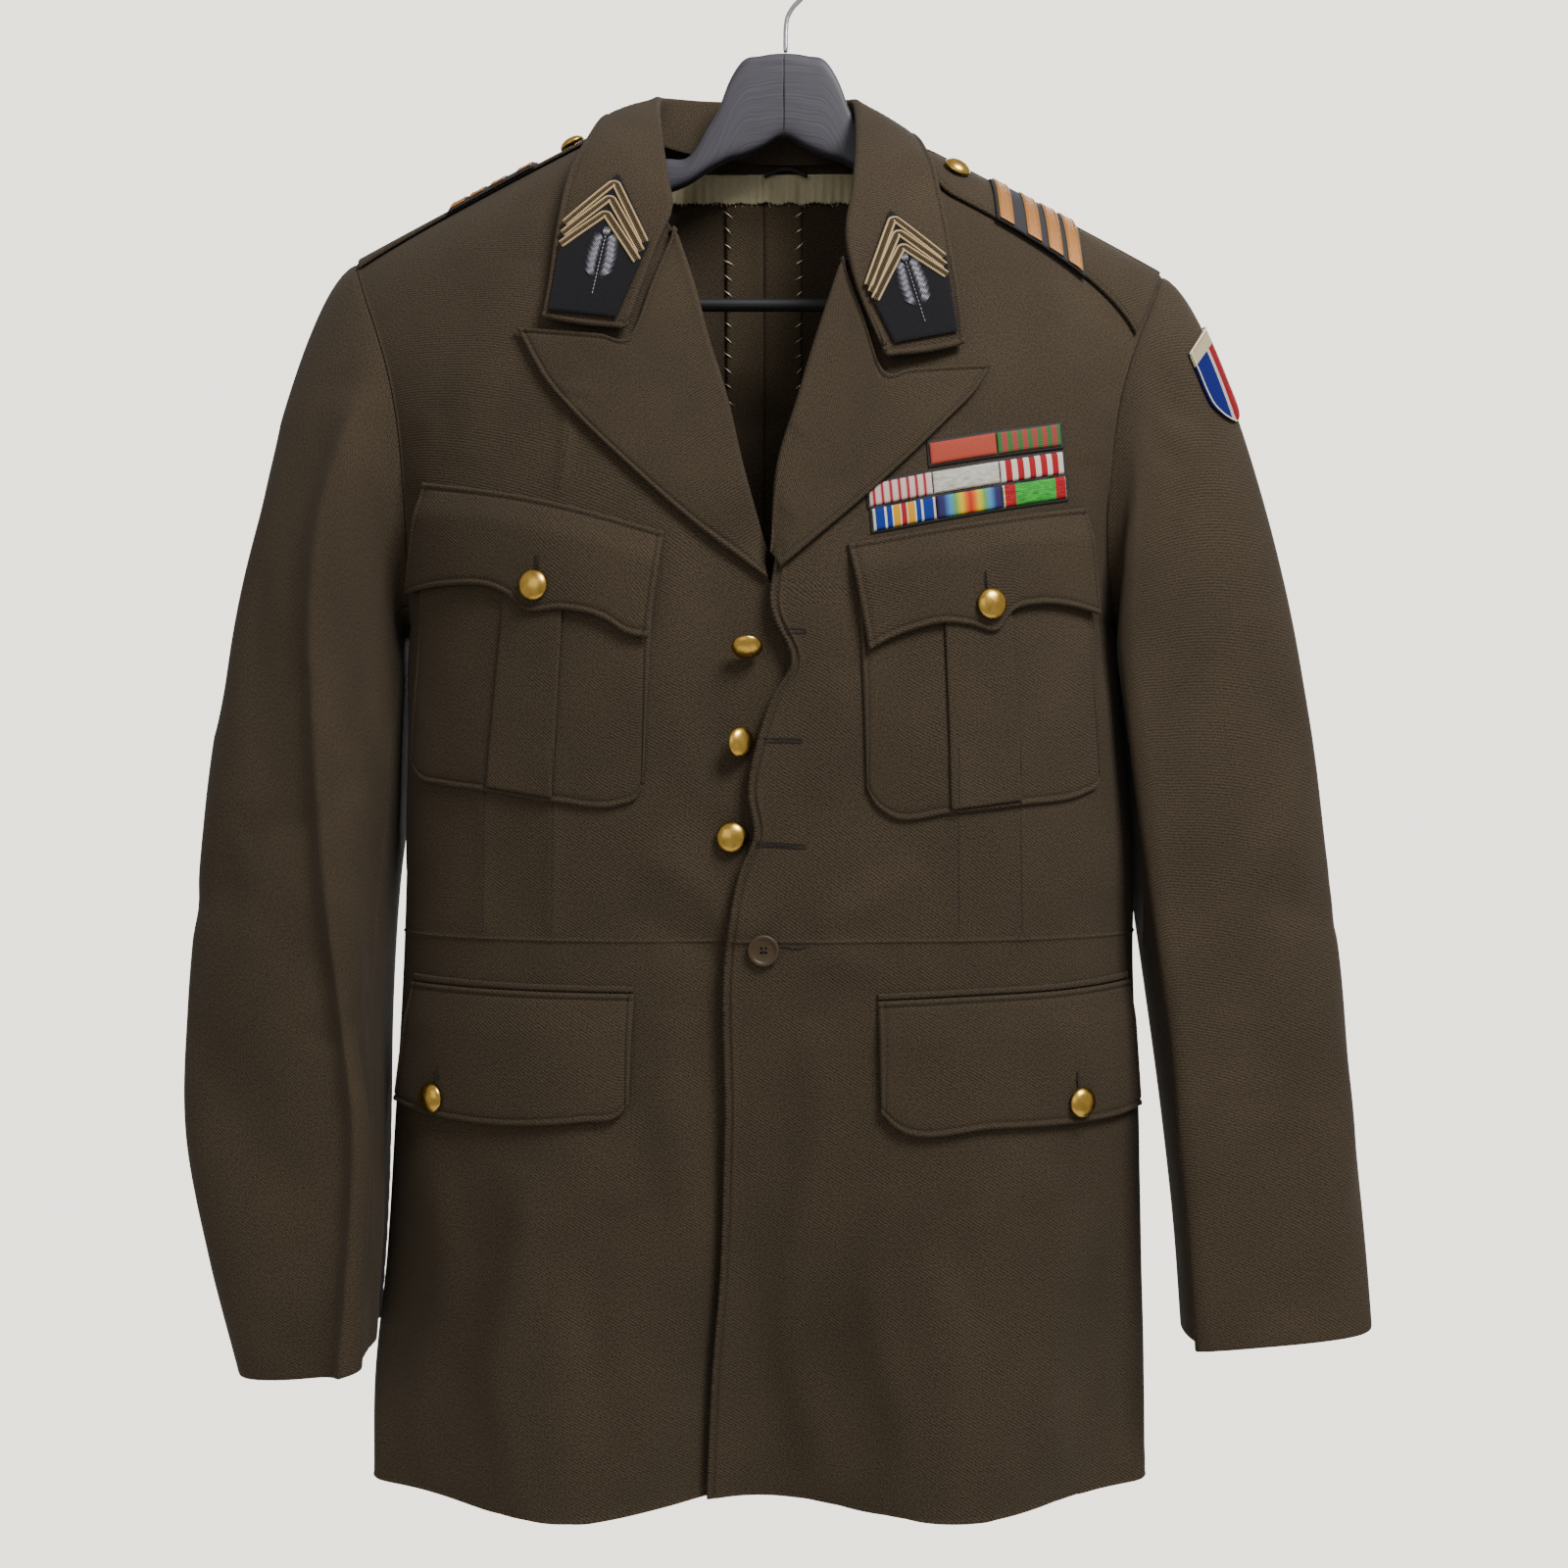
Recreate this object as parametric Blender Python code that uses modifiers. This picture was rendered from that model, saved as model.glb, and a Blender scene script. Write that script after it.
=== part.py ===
"""A four-pocket police tunic with peaked lapels, hung on a wooden hanger.

Metres, +Z up. The front faces -Y, and +X is the wearer's left. The origin is the
inside top of the hanger's hook, where a rail carries it.
"""
from collections import namedtuple
from math import cos, pi, radians, sin, tan

import bpy
import numpy as np
from mathutils import Vector
from mathutils.bvhtree import BVHTree

# ---------------------------------------------------------------- driving sizes
RIGHT = -1  # the wearer's right side, at -X
LEFT = 1
SIDE_NAMES = {RIGHT: "right", LEFT: "left"}

CLOTH = 0.0020  # wool twill with its facing
OVERLAY = 0.0013  # pocket and flap cloth
FELT = 0.0012
RIBBON = 0.0010
SEAM = 0.0004  # between two pieces of cloth at a seam
LIFT = 0.0007  # under a piece that lies on another

HEM_Z = -0.912
WAIST_Z = -0.596
UNDERARM_Z = -0.420
BREAK_Z = -0.392  # where the lapels start to turn
NECK_HALF = 0.085
SHOULDER_SLOPE = 0.52
SHOULDER_TOP = -0.117
SHOULDER_LEAN = 0.005  # how much higher the right shoulder hangs, and lower the left
YOKE_HALF = 0.300
SHOULDER_SEAM_Y = 0.008
SQUARENESS = 2.5  # of the body's sections, where 2 is an ellipse
BACK_ARCH = 3  # of the back's rise over the shoulder, where 2 is an ellipse
BACK_NECK = 0.975  # the share of the yoke's height at which the back's neckline starts

ROLL_RADIUS = 0.0038  # of the lapel's turned edge
EDGE_LIFT = 0.0042  # of the lapel's face over the front, at its outer edge
COLLAR_RADIUS = 0.0032
END_ROWS = 4  # the collar's rows at each end that lie on the front, past the neckline
FALL_FULLNESS = 0.0020  # how far the collar's fall bulges
LAP = 0.0042  # the left front lies this far out over the right one
UNDERLAP = 0.0034  # and the right one this far in

GILT_RADIUS = 0.0086
STRAP_BUTTON_RADIUS = 0.0080
WAIST_BUTTON_RADIUS = 0.0088

WIRE_RADIUS = 0.0015
HOOK_RADIUS = 0.0195
WOOD_HALF = 0.006
WOOD_Y = 0.003
TOP_ROUND = 0.0042
LOW_ROUND = 0.0025
UNDER_RIDGE = 0.0036  # from the top of the shoulder's cloth down to the wood
ARM_DEPTH = 0.024
BAR_RADIUS = 0.004

# ------------------------------------------------------------------- the tables
# Sections of the body, from hem to underarm: the right and left outlines, and the
# depth of the centre front, the fullest part of each front, the side and the back.
Level = namedtuple("Level", "z right left middle full side back")
LEVELS = [
    Level(-0.912, -0.2385, 0.2100, -0.060, -0.108, -0.036, 0.052),
    Level(-0.860, -0.2392, 0.2106, -0.066, -0.107, -0.031, 0.050),
    Level(-0.785, -0.2337, 0.2105, -0.077, -0.104, -0.022, 0.046),
    Level(-0.702, -0.2300, 0.2102, -0.088, -0.102, -0.013, 0.043),
    Level(-0.608, -0.2259, 0.2076, -0.098, -0.102, -0.005, 0.040),
    Level(-0.560, -0.2252, 0.2090, -0.101, -0.104, 0.000, 0.042),
    Level(-0.500, -0.2240, 0.2050, -0.104, -0.108, 0.000, 0.047),
    Level(-0.420, -0.2215, 0.1960, -0.106, -0.110, 0.000, 0.055),
]

# The armhole, by the angle round it from the shoulder (0) to the underarm (180):
# how far round the body it lies, where 0 is the centre and 1 the side.
Armhole = namedtuple("Armhole", "angle right left back")
ARMHOLES = [
    Armhole(0, 0.562, 0.546, 0.551),
    Armhole(45, 0.582, 0.560, 0.582),
    Armhole(90, 0.632, 0.593, 0.650),
    Armhole(135, 0.795, 0.725, 0.800),
    Armhole(180, 1.000, 1.000, 1.000),
]

# The edge of each front below the break, and its neckline under the collar. Between
# them it runs beside the fold of the lapel. The right front runs on under the left.
FrontEdge = namedtuple("FrontEdge", "z x")
CLOSING = {
    RIGHT: [
        FrontEdge(-0.912, 0.004),
        FrontEdge(-0.779, 0.008),
        FrontEdge(-0.591, 0.012),
        FrontEdge(-0.430, 0.011),
        FrontEdge(-0.408, -0.002),
        FrontEdge(-0.388, -0.0150),
    ],
    LEFT: [
        FrontEdge(-0.912, -0.042),
        FrontEdge(-0.845, -0.039),
        FrontEdge(-0.779, -0.034),
        FrontEdge(-0.699, -0.031),
        FrontEdge(-0.591, -0.029),
        FrontEdge(-0.557, -0.022),
        FrontEdge(-0.540, -0.015),
        FrontEdge(-0.513, -0.018),
        FrontEdge(-0.484, -0.012),
        FrontEdge(-0.462, -0.004),
        FrontEdge(-0.447, 0.005),
        FrontEdge(-0.413, -0.006),
    ],
}
NECKLINE = {
    RIGHT: [FrontEdge(-0.187, -0.0735), FrontEdge(-0.166, -0.0785), FrontEdge(-0.141, -0.0855),
            FrontEdge(-0.117, -0.0870)],
    LEFT: [FrontEdge(-0.203, 0.0475), FrontEdge(-0.176, 0.0550), FrontEdge(-0.146, 0.0600),
           FrontEdge(-0.117, 0.0620)],
}
NECK_MIDDLE = -0.015

# Rings of the sleeves: the outer and inner outline, the front and back depth, the
# place of the front crease and how far the inner side rises over the outer one.
Ring = namedtuple("Ring", "z outer inner front back crease rise")
SLEEVES = {
    RIGHT: [
        Ring(-0.440, -0.3300, -0.2215, -0.066, 0.055, -0.275, 0.000),
        Ring(-0.500, -0.3384, -0.2245, -0.069, 0.050, -0.276, 0.000),
        Ring(-0.570, -0.3444, -0.2320, -0.072, 0.044, -0.272, 0.000),
        Ring(-0.640, -0.3491, -0.2345, -0.076, 0.035, -0.262, 0.002),
        Ring(-0.710, -0.3469, -0.2335, -0.081, 0.024, -0.252, 0.005),
        Ring(-0.770, -0.3314, -0.2311, -0.087, 0.012, -0.250, 0.009),
        Ring(-0.836, -0.3110, -0.2325, -0.092, 0.002, -0.249, 0.009),
    ],
    LEFT: [
        Ring(-0.440, 0.3065, 0.1880, -0.066, 0.055, 0.206, 0.000),
        Ring(-0.500, 0.3153, 0.1968, -0.068, 0.050, 0.214, 0.000),
        Ring(-0.570, 0.3232, 0.2081, -0.070, 0.044, 0.222, 0.000),
        Ring(-0.640, 0.3300, 0.2171, -0.073, 0.035, 0.230, 0.000),
        Ring(-0.710, 0.3353, 0.2249, -0.076, 0.024, 0.236, -0.001),
        Ring(-0.770, 0.3365, 0.2298, -0.080, 0.013, 0.240, -0.002),
        Ring(-0.825, 0.3385, 0.2325, -0.083, 0.004, 0.243, -0.004),
    ],
}

# Each lapel by its fold, the line from the notch and its outer edge, as x and z
# from the top (0) to the break (1).
Lapel = namedtuple("Lapel", "along fold_x fold_z notch_x notch_z edge_x edge_z")
LAPELS = {
    RIGHT: [
        Lapel(0.00, -0.0610, -0.198, -0.0850, -0.264, -0.1490, -0.256),
        Lapel(0.16, -0.0500, -0.232, -0.0800, -0.283, -0.1340, -0.284),
        Lapel(0.34, -0.0410, -0.266, -0.0710, -0.307, -0.1160, -0.306),
        Lapel(0.52, -0.0320, -0.295, -0.0590, -0.329, -0.0920, -0.330),
        Lapel(0.76, -0.0220, -0.338, -0.0370, -0.362, -0.0500, -0.368),
        Lapel(1.00, -0.0125, -0.373, -0.0145, -0.383, -0.0175, -0.391),
    ],
    LEFT: [
        Lapel(0.00, 0.0325, -0.2165, 0.0545, -0.2835, 0.1150, -0.2775),
        Lapel(0.16, 0.0250, -0.240, 0.0515, -0.296, 0.1060, -0.293),
        Lapel(0.34, 0.0150, -0.272, 0.0440, -0.313, 0.0900, -0.310),
        Lapel(0.52, 0.0070, -0.300, 0.0360, -0.331, 0.0700, -0.330),
        Lapel(0.76, -0.0040, -0.338, 0.0170, -0.357, 0.0360, -0.361),
        Lapel(1.00, -0.0070, -0.385, -0.0045, -0.389, -0.0020, -0.393),
    ],
}

# The collar by the seam of its stand, its fold and its outer edge, from the centre
# back (0) round to its front end (1).
Station = namedtuple("Station", "along seam fold edge")
COLLARS = {
    RIGHT: [
        Station(0.00, (-0.017, 0.0218, -0.1275), (-0.017, 0.036, -0.084), (-0.017, 0.056, -0.134)),
        Station(0.18, (-0.053, 0.0197, -0.123), (-0.053, 0.032, -0.084), (-0.064, 0.051, -0.130)),
        Station(0.32, (-0.077, 0.0142, -0.118), (-0.073, 0.018, -0.088), (-0.093, 0.034, -0.116)),
        Station(0.44, (-0.082, 0.002, -0.115), (-0.0755, 0.000, -0.096), (-0.106, 0.003, -0.105)),
        Station(0.58, (-0.082, -0.030, -0.138), (-0.0710, -0.038, -0.131), (-0.116, -0.044, -0.138)),
        Station(0.72, (-0.075, -0.052, -0.168), (-0.0660, -0.063, -0.164), (-0.124, -0.064, -0.168)),
        Station(0.84, (-0.071, -0.064, -0.190), (-0.0630, -0.078, -0.190), (-0.129, -0.076, -0.205)),
        Station(0.92, (-0.074, -0.070, -0.204), (-0.0700, -0.085, -0.209), (-0.131, -0.084, -0.230)),
        Station(1.00, (-0.089, -0.090, -0.250), (-0.0870, -0.098, -0.260), (-0.134, -0.091, -0.252)),
    ],
    LEFT: [
        Station(0.00, (-0.017, 0.0218, -0.1275), (-0.017, 0.036, -0.084), (-0.017, 0.056, -0.134)),
        Station(0.18, (0.019, 0.0203, -0.128), (0.016, 0.032, -0.085), (0.028, 0.051, -0.134)),
        Station(0.32, (0.047, 0.0155, -0.126), (0.038, 0.018, -0.089), (0.060, 0.034, -0.126)),
        Station(0.44, (0.058, 0.002, -0.123), (0.0425, 0.000, -0.098), (0.076, 0.003, -0.117)),
        Station(0.58, (0.055, -0.030, -0.148), (0.0415, -0.040, -0.138), (0.085, -0.044, -0.146)),
        Station(0.72, (0.052, -0.052, -0.178), (0.0385, -0.064, -0.172), (0.090, -0.062, -0.176)),
        Station(0.84, (0.045, -0.068, -0.204), (0.0345, -0.084, -0.208), (0.095, -0.078, -0.215)),
        Station(0.92, (0.046, -0.076, -0.222), (0.0400, -0.092, -0.236), (0.098, -0.086, -0.240)),
        Station(1.00, (0.058, -0.094, -0.262), (0.0555, -0.102, -0.276), (0.100, -0.092, -0.267)),
    ],
}

# The hanger's wood, by distance from its middle. Past the last row an arm runs
# straight on to its end, where it carries the shoulder.
WoodRow = namedtuple("WoodRow", "out top bottom")
HANGER_HEAD = [
    WoodRow(0.000, -0.068, -0.118),
    WoodRow(0.014, -0.0695, -0.125),
    WoodRow(0.026, -0.0735, -0.130),
    WoodRow(0.034, -0.087, -0.132),
    WoodRow(0.039, -0.1005, -0.1345),
    WoodRow(0.047, -0.1145, -0.139),
    WoodRow(0.056, -0.1290, -0.145),
    WoodRow(0.072, -0.1320, -0.152),
]
ARM_END = 0.205
LEG_INSIDE = 0.166
LEG_BOTTOM = -0.231
BAR_Z = -0.2196


# ------------------------------------------------------------------ the scene
def clear_scene():
    for old in list(bpy.data.objects):
        bpy.data.objects.remove(old, do_unlink=True)


def material(name, colour, roughness, metallic=0.0):
    made = bpy.data.materials.new(name)
    made.use_nodes = True
    shader = made.node_tree.nodes["Principled BSDF"]
    shader.inputs["Base Color"].default_value = (*colour, 1.0)
    shader.inputs["Roughness"].default_value = roughness
    shader.inputs["Metallic"].default_value = metallic
    return made


def add(name, mesh, finish):
    mesh.materials.append(finish)
    thing = bpy.data.objects.new(name, mesh)
    tunic.objects.link(thing)
    return thing


# --------------------------------------------------------- curves and surfaces
def through(keys, values, at):
    """The smooth curve through a table's values, read at other places."""
    keys = np.asarray(keys, dtype=float)
    values = np.asarray(values, dtype=float)
    at = np.asarray(at, dtype=float)
    slopes = np.gradient(values, keys, axis=0)
    row = np.clip(np.searchsorted(keys, at) - 1, 0, len(keys) - 2)
    span = keys[row + 1] - keys[row]
    t = np.clip((at - keys[row]) / span, 0, 1)
    if values.ndim > 1:
        t, span = t[..., None], span[..., None]
    start = (2 * t**3 - 3 * t**2 + 1) * values[row] + (t**3 - 2 * t**2 + t) * span * slopes[row]
    end = (3 * t**2 - 2 * t**3) * values[row + 1] + (t**3 - t**2) * span * slopes[row + 1]
    return start + end


def read(table, key, value, at):
    return through([getattr(row, key) for row in table], [getattr(row, value) for row in table], at)


def ease(t):
    t = np.clip(t, 0, 1)
    return t * t * (3 - 2 * t)


def yoke_share(level):
    """0 at the underarm and below, 1 at the shoulder seam."""
    return np.clip((level - UNDERARM_Z) / (SHOULDER_TOP - UNDERARM_Z), 0, 1)


def body_line(level):
    """The middle and half width of the body's section at a level."""
    right = read(LEVELS, "z", "right", level)
    left = read(LEVELS, "z", "left", level)
    half = (left - right) / 2
    return (left + right) / 2, half + (YOKE_HALF - half) * yoke_share(level) ** 1.5


def round_at(side, level, x):
    """How far round the body a front point at x lies."""
    middle, half = body_line(level)
    share = np.clip((x - middle) * side / half, -1, 1)
    return np.sign(share) * np.arcsin(np.abs(share) ** (SQUARENESS / 2)) * 2 / pi


def body(side, turn, level):
    """A point of the body's outside: turn is 0 at the front, 1 at the side, 2 behind."""
    turn, level = np.broadcast_arrays(np.asarray(turn, float), np.asarray(level, float))
    middle, half = body_line(level)
    yoke = yoke_share(level)
    arch = np.where(turn < 1, (1 - yoke**2) ** (1 / 2), (1 - yoke**BACK_ARCH) ** (1 / BACK_ARCH))
    across = np.sign(np.sin(turn * pi / 2)) * np.abs(np.sin(turn * pi / 2)) ** (2 / SQUARENESS)
    inward = np.abs(np.cos(turn * pi / 2)) ** (2 / SQUARENESS)
    centre_y = read(LEVELS, "z", "middle", level)
    full_y = read(LEVELS, "z", "full", level)
    front_y = centre_y + (full_y - centre_y) * np.sin(pi * np.clip(np.abs(across), 0, 1)) ** 2
    back_y = read(LEVELS, "z", "back", level)
    side_y = read(LEVELS, "z", "side", level)
    line_y = SHOULDER_SEAM_Y + (np.where(turn < 1, front_y, back_y) - SHOULDER_SEAM_Y) * arch
    side_y = side_y + (SHOULDER_SEAM_Y - side_y) * yoke
    x = middle + side * half * across
    y = side_y + (line_y - side_y) * inward
    out = np.abs(x - middle)
    z = level - SHOULDER_SLOPE * yoke * np.maximum(out - NECK_HALF, 0)
    z = z - side * SHOULDER_LEAN * yoke * np.minimum(out / NECK_HALF, 1)
    return np.stack([x, y, z], axis=-1)


def normals(grid):
    """The unit normals of a grid of points."""
    along = np.gradient(grid, axis=0)
    across = np.gradient(grid, axis=1)
    straight = np.cross(across, along)
    return straight / np.maximum(np.linalg.norm(straight, axis=-1, keepdims=True), 1e-12)


def tree_of(grids):
    """A tree of grids that later pieces are laid on."""
    points, faces = [], []
    for grid in grids:
        rows, columns = grid.shape[:2]
        first = len(points)
        points += [Vector(p) for p in grid.reshape(-1, 3)]
        for i in range(rows - 1):
            for j in range(columns - 1):
                a = first + i * columns + j
                faces.append((a, a + 1, a + columns + 1, a + columns))
    return BVHTree.FromPolygons(points, faces)


def seen_from(tree, x, z, start_y=-1.0):
    """The points of a surface met when looking along +Y at x and z."""
    points = np.empty(x.shape + (3,))
    for place in np.ndindex(x.shape):
        hit = tree.ray_cast(Vector((x[place], start_y, z[place])), Vector((0, 1, 0)))[0]
        if hit is None:
            raise ValueError(f"nothing lies behind {x[place]:.4f}, {z[place]:.4f}")
        points[place] = hit
    return points


def sheet(name, grid, finish, thickness=CLOTH):
    """A loft through a grid of points on the outer side, given its thickness inwards."""
    rows, columns = grid.shape[:2]
    mesh = bpy.data.meshes.new(name)
    faces = []
    for i in range(rows - 1):
        for j in range(columns - 1):
            a = i * columns + j
            faces.append((a, a + 1, a + columns + 1, a + columns))
    mesh.from_pydata([tuple(p) for p in grid.reshape(-1, 3)], [], faces)
    mesh.shade_smooth()
    thing = add(name, mesh, finish)
    wall = thing.modifiers.new("wall", "SOLIDIFY")
    wall.thickness = thickness
    wall.offset = -1
    wall.use_even_offset = False
    return thing


# ------------------------------------------------------------------- the body
# The levels of the rows over the shoulders, close together where the cloth turns over.
YOKE_SHARES = np.array(
    [0.02, 0.08, 0.18, 0.31, 0.46, 0.61, 0.74, 0.85, 0.92, 0.955, 0.975, 0.987, 0.9994, 0.99999]
)
SEAM_TURN = 0.0017  # a seam's half width, as a share of the way round the body
CENTRE_SEAM_TURN = 0.00008
EDGE_STEP = 0.035  # the share of a panel's width that its narrow end columns take


def spread(count):
    """Even places from 0 to 1 with a narrow one at each end, which keeps edges square."""
    return np.concatenate([[0], np.linspace(EDGE_STEP, 1 - EDGE_STEP, count - 2), [1]])


def panel_levels(low, count):
    yoke = UNDERARM_Z + YOKE_SHARES * (SHOULDER_TOP - UNDERARM_Z)
    return np.concatenate([low + spread(count)[:-1] * (UNDERARM_Z - low), yoke])


def armhole_turn(side, share, column):
    angle = np.degrees(np.arccos(np.clip(2 * share - 1, -1, 1)))
    return read(ARMHOLES, "angle", column, angle)


def lapped(side, grid):
    """Lays the left front over the right one along the closing."""
    below = 1 - ease((grid[..., 2] - BREAK_Z - 0.005) / 0.045)
    grid = grid.copy()
    if side == RIGHT:
        grid[..., 1] += UNDERLAP * below * ease((grid[..., 0] + 0.065) / 0.03)
    else:
        grid[..., 1] -= LAP * below * (1 - ease((grid[..., 0] - 0.016) / 0.05))
    return grid


def front_grid(side, levels, columns=12):
    """Rows of a front, from its inner edge to the side seam or the armhole."""
    beside_fold = side * (ROLL_RADIUS + SEAM)
    folded = [
        FrontEdge(*(float(read(LAPELS[side], "along", name, along)) for name in ("fold_z", "fold_x")))
        for along in np.linspace(1, 0, 13)
    ]
    folded = [FrontEdge(row.z, row.x + beside_fold) for row in folded]
    edges = CLOSING[side] + folded + NECKLINE[side]
    rows = []
    for level in levels:
        share = float(yoke_share(level))
        inner = float(read(edges, "z", "x", level))
        start = float(round_at(side, level, inner))
        end = float(armhole_turn(side, share, SIDE_NAMES[side])) if share > 0 else 1.0
        end -= SEAM_TURN
        rows.append(body(side, start + (end - start) * spread(columns) ** 1.2, level))
    return lapped(side, np.array(rows))


def back_grid(side, levels, columns=8):
    rows = []
    for level in levels:
        share = float(yoke_share(level))
        end = float(armhole_turn(side, share, "back")) if share > 0 else 1.0
        start = 2 - CENTRE_SEAM_TURN
        if share > BACK_NECK:
            wide = abs(NECKLINE[side][-1].x - NECK_MIDDLE)
            out = wide * ((share - BACK_NECK) / (1 - BACK_NECK)) ** 0.5
            start = 2 - max(float(round_at(side, level, NECK_MIDDLE + side * out)), CENTRE_SEAM_TURN)
        end = 2 - end + SEAM_TURN
        rows.append(body(side, start + (end - start) * spread(columns), level))
    return np.array(rows)


def make_fronts():
    """The upper fronts and the skirts, and the whole surface that pockets are laid on."""
    uppers, laid_on = [], []
    for side in (RIGHT, LEFT):
        upper = front_grid(side, panel_levels(WAIST_Z, 8))
        lower = front_grid(side, HEM_Z + spread(8) * (WAIST_Z - SEAM - HEM_Z))
        order = slice(None, None, side)
        sheet(f"front_{SIDE_NAMES[side]}", upper[:, order], cloth)
        sheet(f"skirt_{SIDE_NAMES[side]}", lower[:, order], cloth)
        levels = HEM_Z + (SHOULDER_TOP - HEM_Z) * np.linspace(0, 1, 90)[:, None]
        laid_on += [upper, lower, lapped(side, body(side, np.linspace(0, 1, 40), levels))]
        uppers.append(upper)
    return tree_of(laid_on), uppers


def make_backs():
    grids = []
    for side in (RIGHT, LEFT):
        grid = back_grid(side, panel_levels(HEM_Z, 12))
        sheet(f"back_{SIDE_NAMES[side]}", grid[:, ::-side], cloth)
        grids.append(grid)
    return grids


# ----------------------------------------------------------------- the sleeves
CAP_SHARES = np.array([0.0, 0.05, 0.16, 0.32, 0.50, 0.70, 0.88])
BODY_CLEARANCE = 0.0050
CAP_FULLNESS = 0.35  # how far the sleeve head stands out before it falls
UNDERARM_FULLNESS = 0.8
SLEEVE_SQUARE = 0.8  # the power that makes the rings boxier than ellipses
FRONT_SEAM = 152  # degrees round the sleeve from its outer side, by the front
BACK_SEAM = 292


def armhole_point(side, angle):
    """A point of the armhole's edge, by the angle round it from the shoulder."""
    by_front = angle <= 180
    fold = np.where(by_front, angle, 360 - angle)
    share = (1 + np.cos(np.radians(fold))) / 2
    level = UNDERARM_Z + share * (SHOULDER_TOP - UNDERARM_Z)
    front = read(ARMHOLES, "angle", SIDE_NAMES[side], fold)
    back = 2 - read(ARMHOLES, "angle", "back", fold)
    return body(side, np.where(by_front, front, back), level)


def ring_point(side, angle, share):
    """A point of the sleeve below the armhole: share runs from the first ring to the cuff."""
    rings = SLEEVES[side]
    z = rings[0].z + share * (rings[-1].z - rings[0].z)
    downward = list(reversed(rings))
    outer, inner, front, back, crease, rise = (
        read(downward, "z", name, z) for name in ("outer", "inner", "front", "back", "crease", "rise")
    )
    turn = np.radians(angle)
    middle = (outer + inner) / 2
    out = np.sign(np.cos(turn)) * np.abs(np.cos(turn)) ** SLEEVE_SQUARE
    forward = np.sign(np.sin(turn)) * np.abs(np.sin(turn)) ** SLEEVE_SQUARE
    x = middle + (outer - inner) / 2 * out
    x = x + np.where(forward > 0, (crease - middle) * np.sin(turn) ** 4, 0)
    y = (front + back) / 2 - (back - front) / 2 * forward
    return np.stack(np.broadcast_arrays(x, y, z - rise * np.cos(turn)), axis=-1)


def clear_of_body(side, points):
    """Moves what would lie in the body out to its side."""
    x, y, z = points[..., 0], points[..., 1], points[..., 2]
    middle, half = body_line(z)
    side_y = read(LEVELS, "z", "side", z)
    depth = np.where(y < side_y, read(LEVELS, "z", "full", z), read(LEVELS, "z", "back", z))
    reach = 1 - np.clip((y - side_y) / (depth - side_y), 0, 1) ** SQUARENESS
    clearance = SEAM + BODY_CLEARANCE * ease(np.arange(len(points)) / 3)[:, None]
    least = half * reach ** (1 / SQUARENESS) + clearance
    below = ease((UNDERARM_Z + 0.030 - z) / 0.012)
    out = (x - middle) * side
    pushed = out + np.maximum(least - out, 0) * below
    moved = points.copy()
    moved[..., 0] = middle + side * pushed
    return moved


def cap_row(side, angles, t):
    """A row over the sleeve's cap: t is 0 at the armhole and 1 at the first ring."""
    start = armhole_point(side, angles)
    turn = np.radians(angles)
    leaving = np.stack([0.9 * side + 0 * turn, -0.35 * np.sin(turn), -0.1 - 0.1 * np.cos(turn)], axis=-1)
    start = start + leaving * SEAM
    fullness = (CAP_FULLNESS + UNDERARM_FULLNESS * ((1 - np.cos(turn)) / 2) ** 2)[:, None]
    end = ring_point(side, angles, 0.0)
    step = ring_point(side, angles, 0.03) - end
    reach = np.linalg.norm(end - start, axis=-1, keepdims=True)
    arriving = step / np.linalg.norm(step, axis=-1, keepdims=True)
    leave = (t**3 - 2 * t**2 + t) * leaving * reach * fullness
    arrive = (t**3 - t**2) * arriving * reach
    return (2 * t**3 - 3 * t**2 + 1) * start + leave + (3 * t**2 - 2 * t**3) * end + arrive


def sleeve_grid(side, angles, shares_below):
    """Rows from the armhole to the cuff, over the cap and then down the rings."""
    rows = [cap_row(side, angles, t) for t in CAP_SHARES]
    rows += [ring_point(side, angles, share) for share in shares_below]
    return clear_of_body(side, np.array(rows))


def make_sleeves():
    below = np.concatenate([[0.0], np.linspace(0.09, 0.985, 8), [1.0]])
    split = 0.9
    for side in (RIGHT, LEFT):
        over = BACK_SEAM - 360 + split + spread(13) * (FRONT_SEAM + 360 - BACK_SEAM - 2 * split)
        top = sleeve_grid(side, over % 360, below)
        within = FRONT_SEAM + split + spread(10) * (BACK_SEAM - FRONT_SEAM - 2 * split)
        under = sleeve_grid(side, within, below)
        sheet(f"sleeve_top_{SIDE_NAMES[side]}", top[:, ::side], cloth)
        sheet(f"sleeve_under_{SIDE_NAMES[side]}", under[:, ::side], cloth)


# ------------------------------------------------------- the collar and lapels
def unit(vectors):
    return vectors / np.maximum(np.linalg.norm(vectors, axis=-1, keepdims=True), 1e-12)


def facing(grid, towards):
    """The grid with its columns turned, if need be, so that its normals point one way."""
    return grid if (normals(grid) * np.asarray(towards)).sum(axis=-1).mean() > 0 else grid[:, ::-1]


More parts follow.
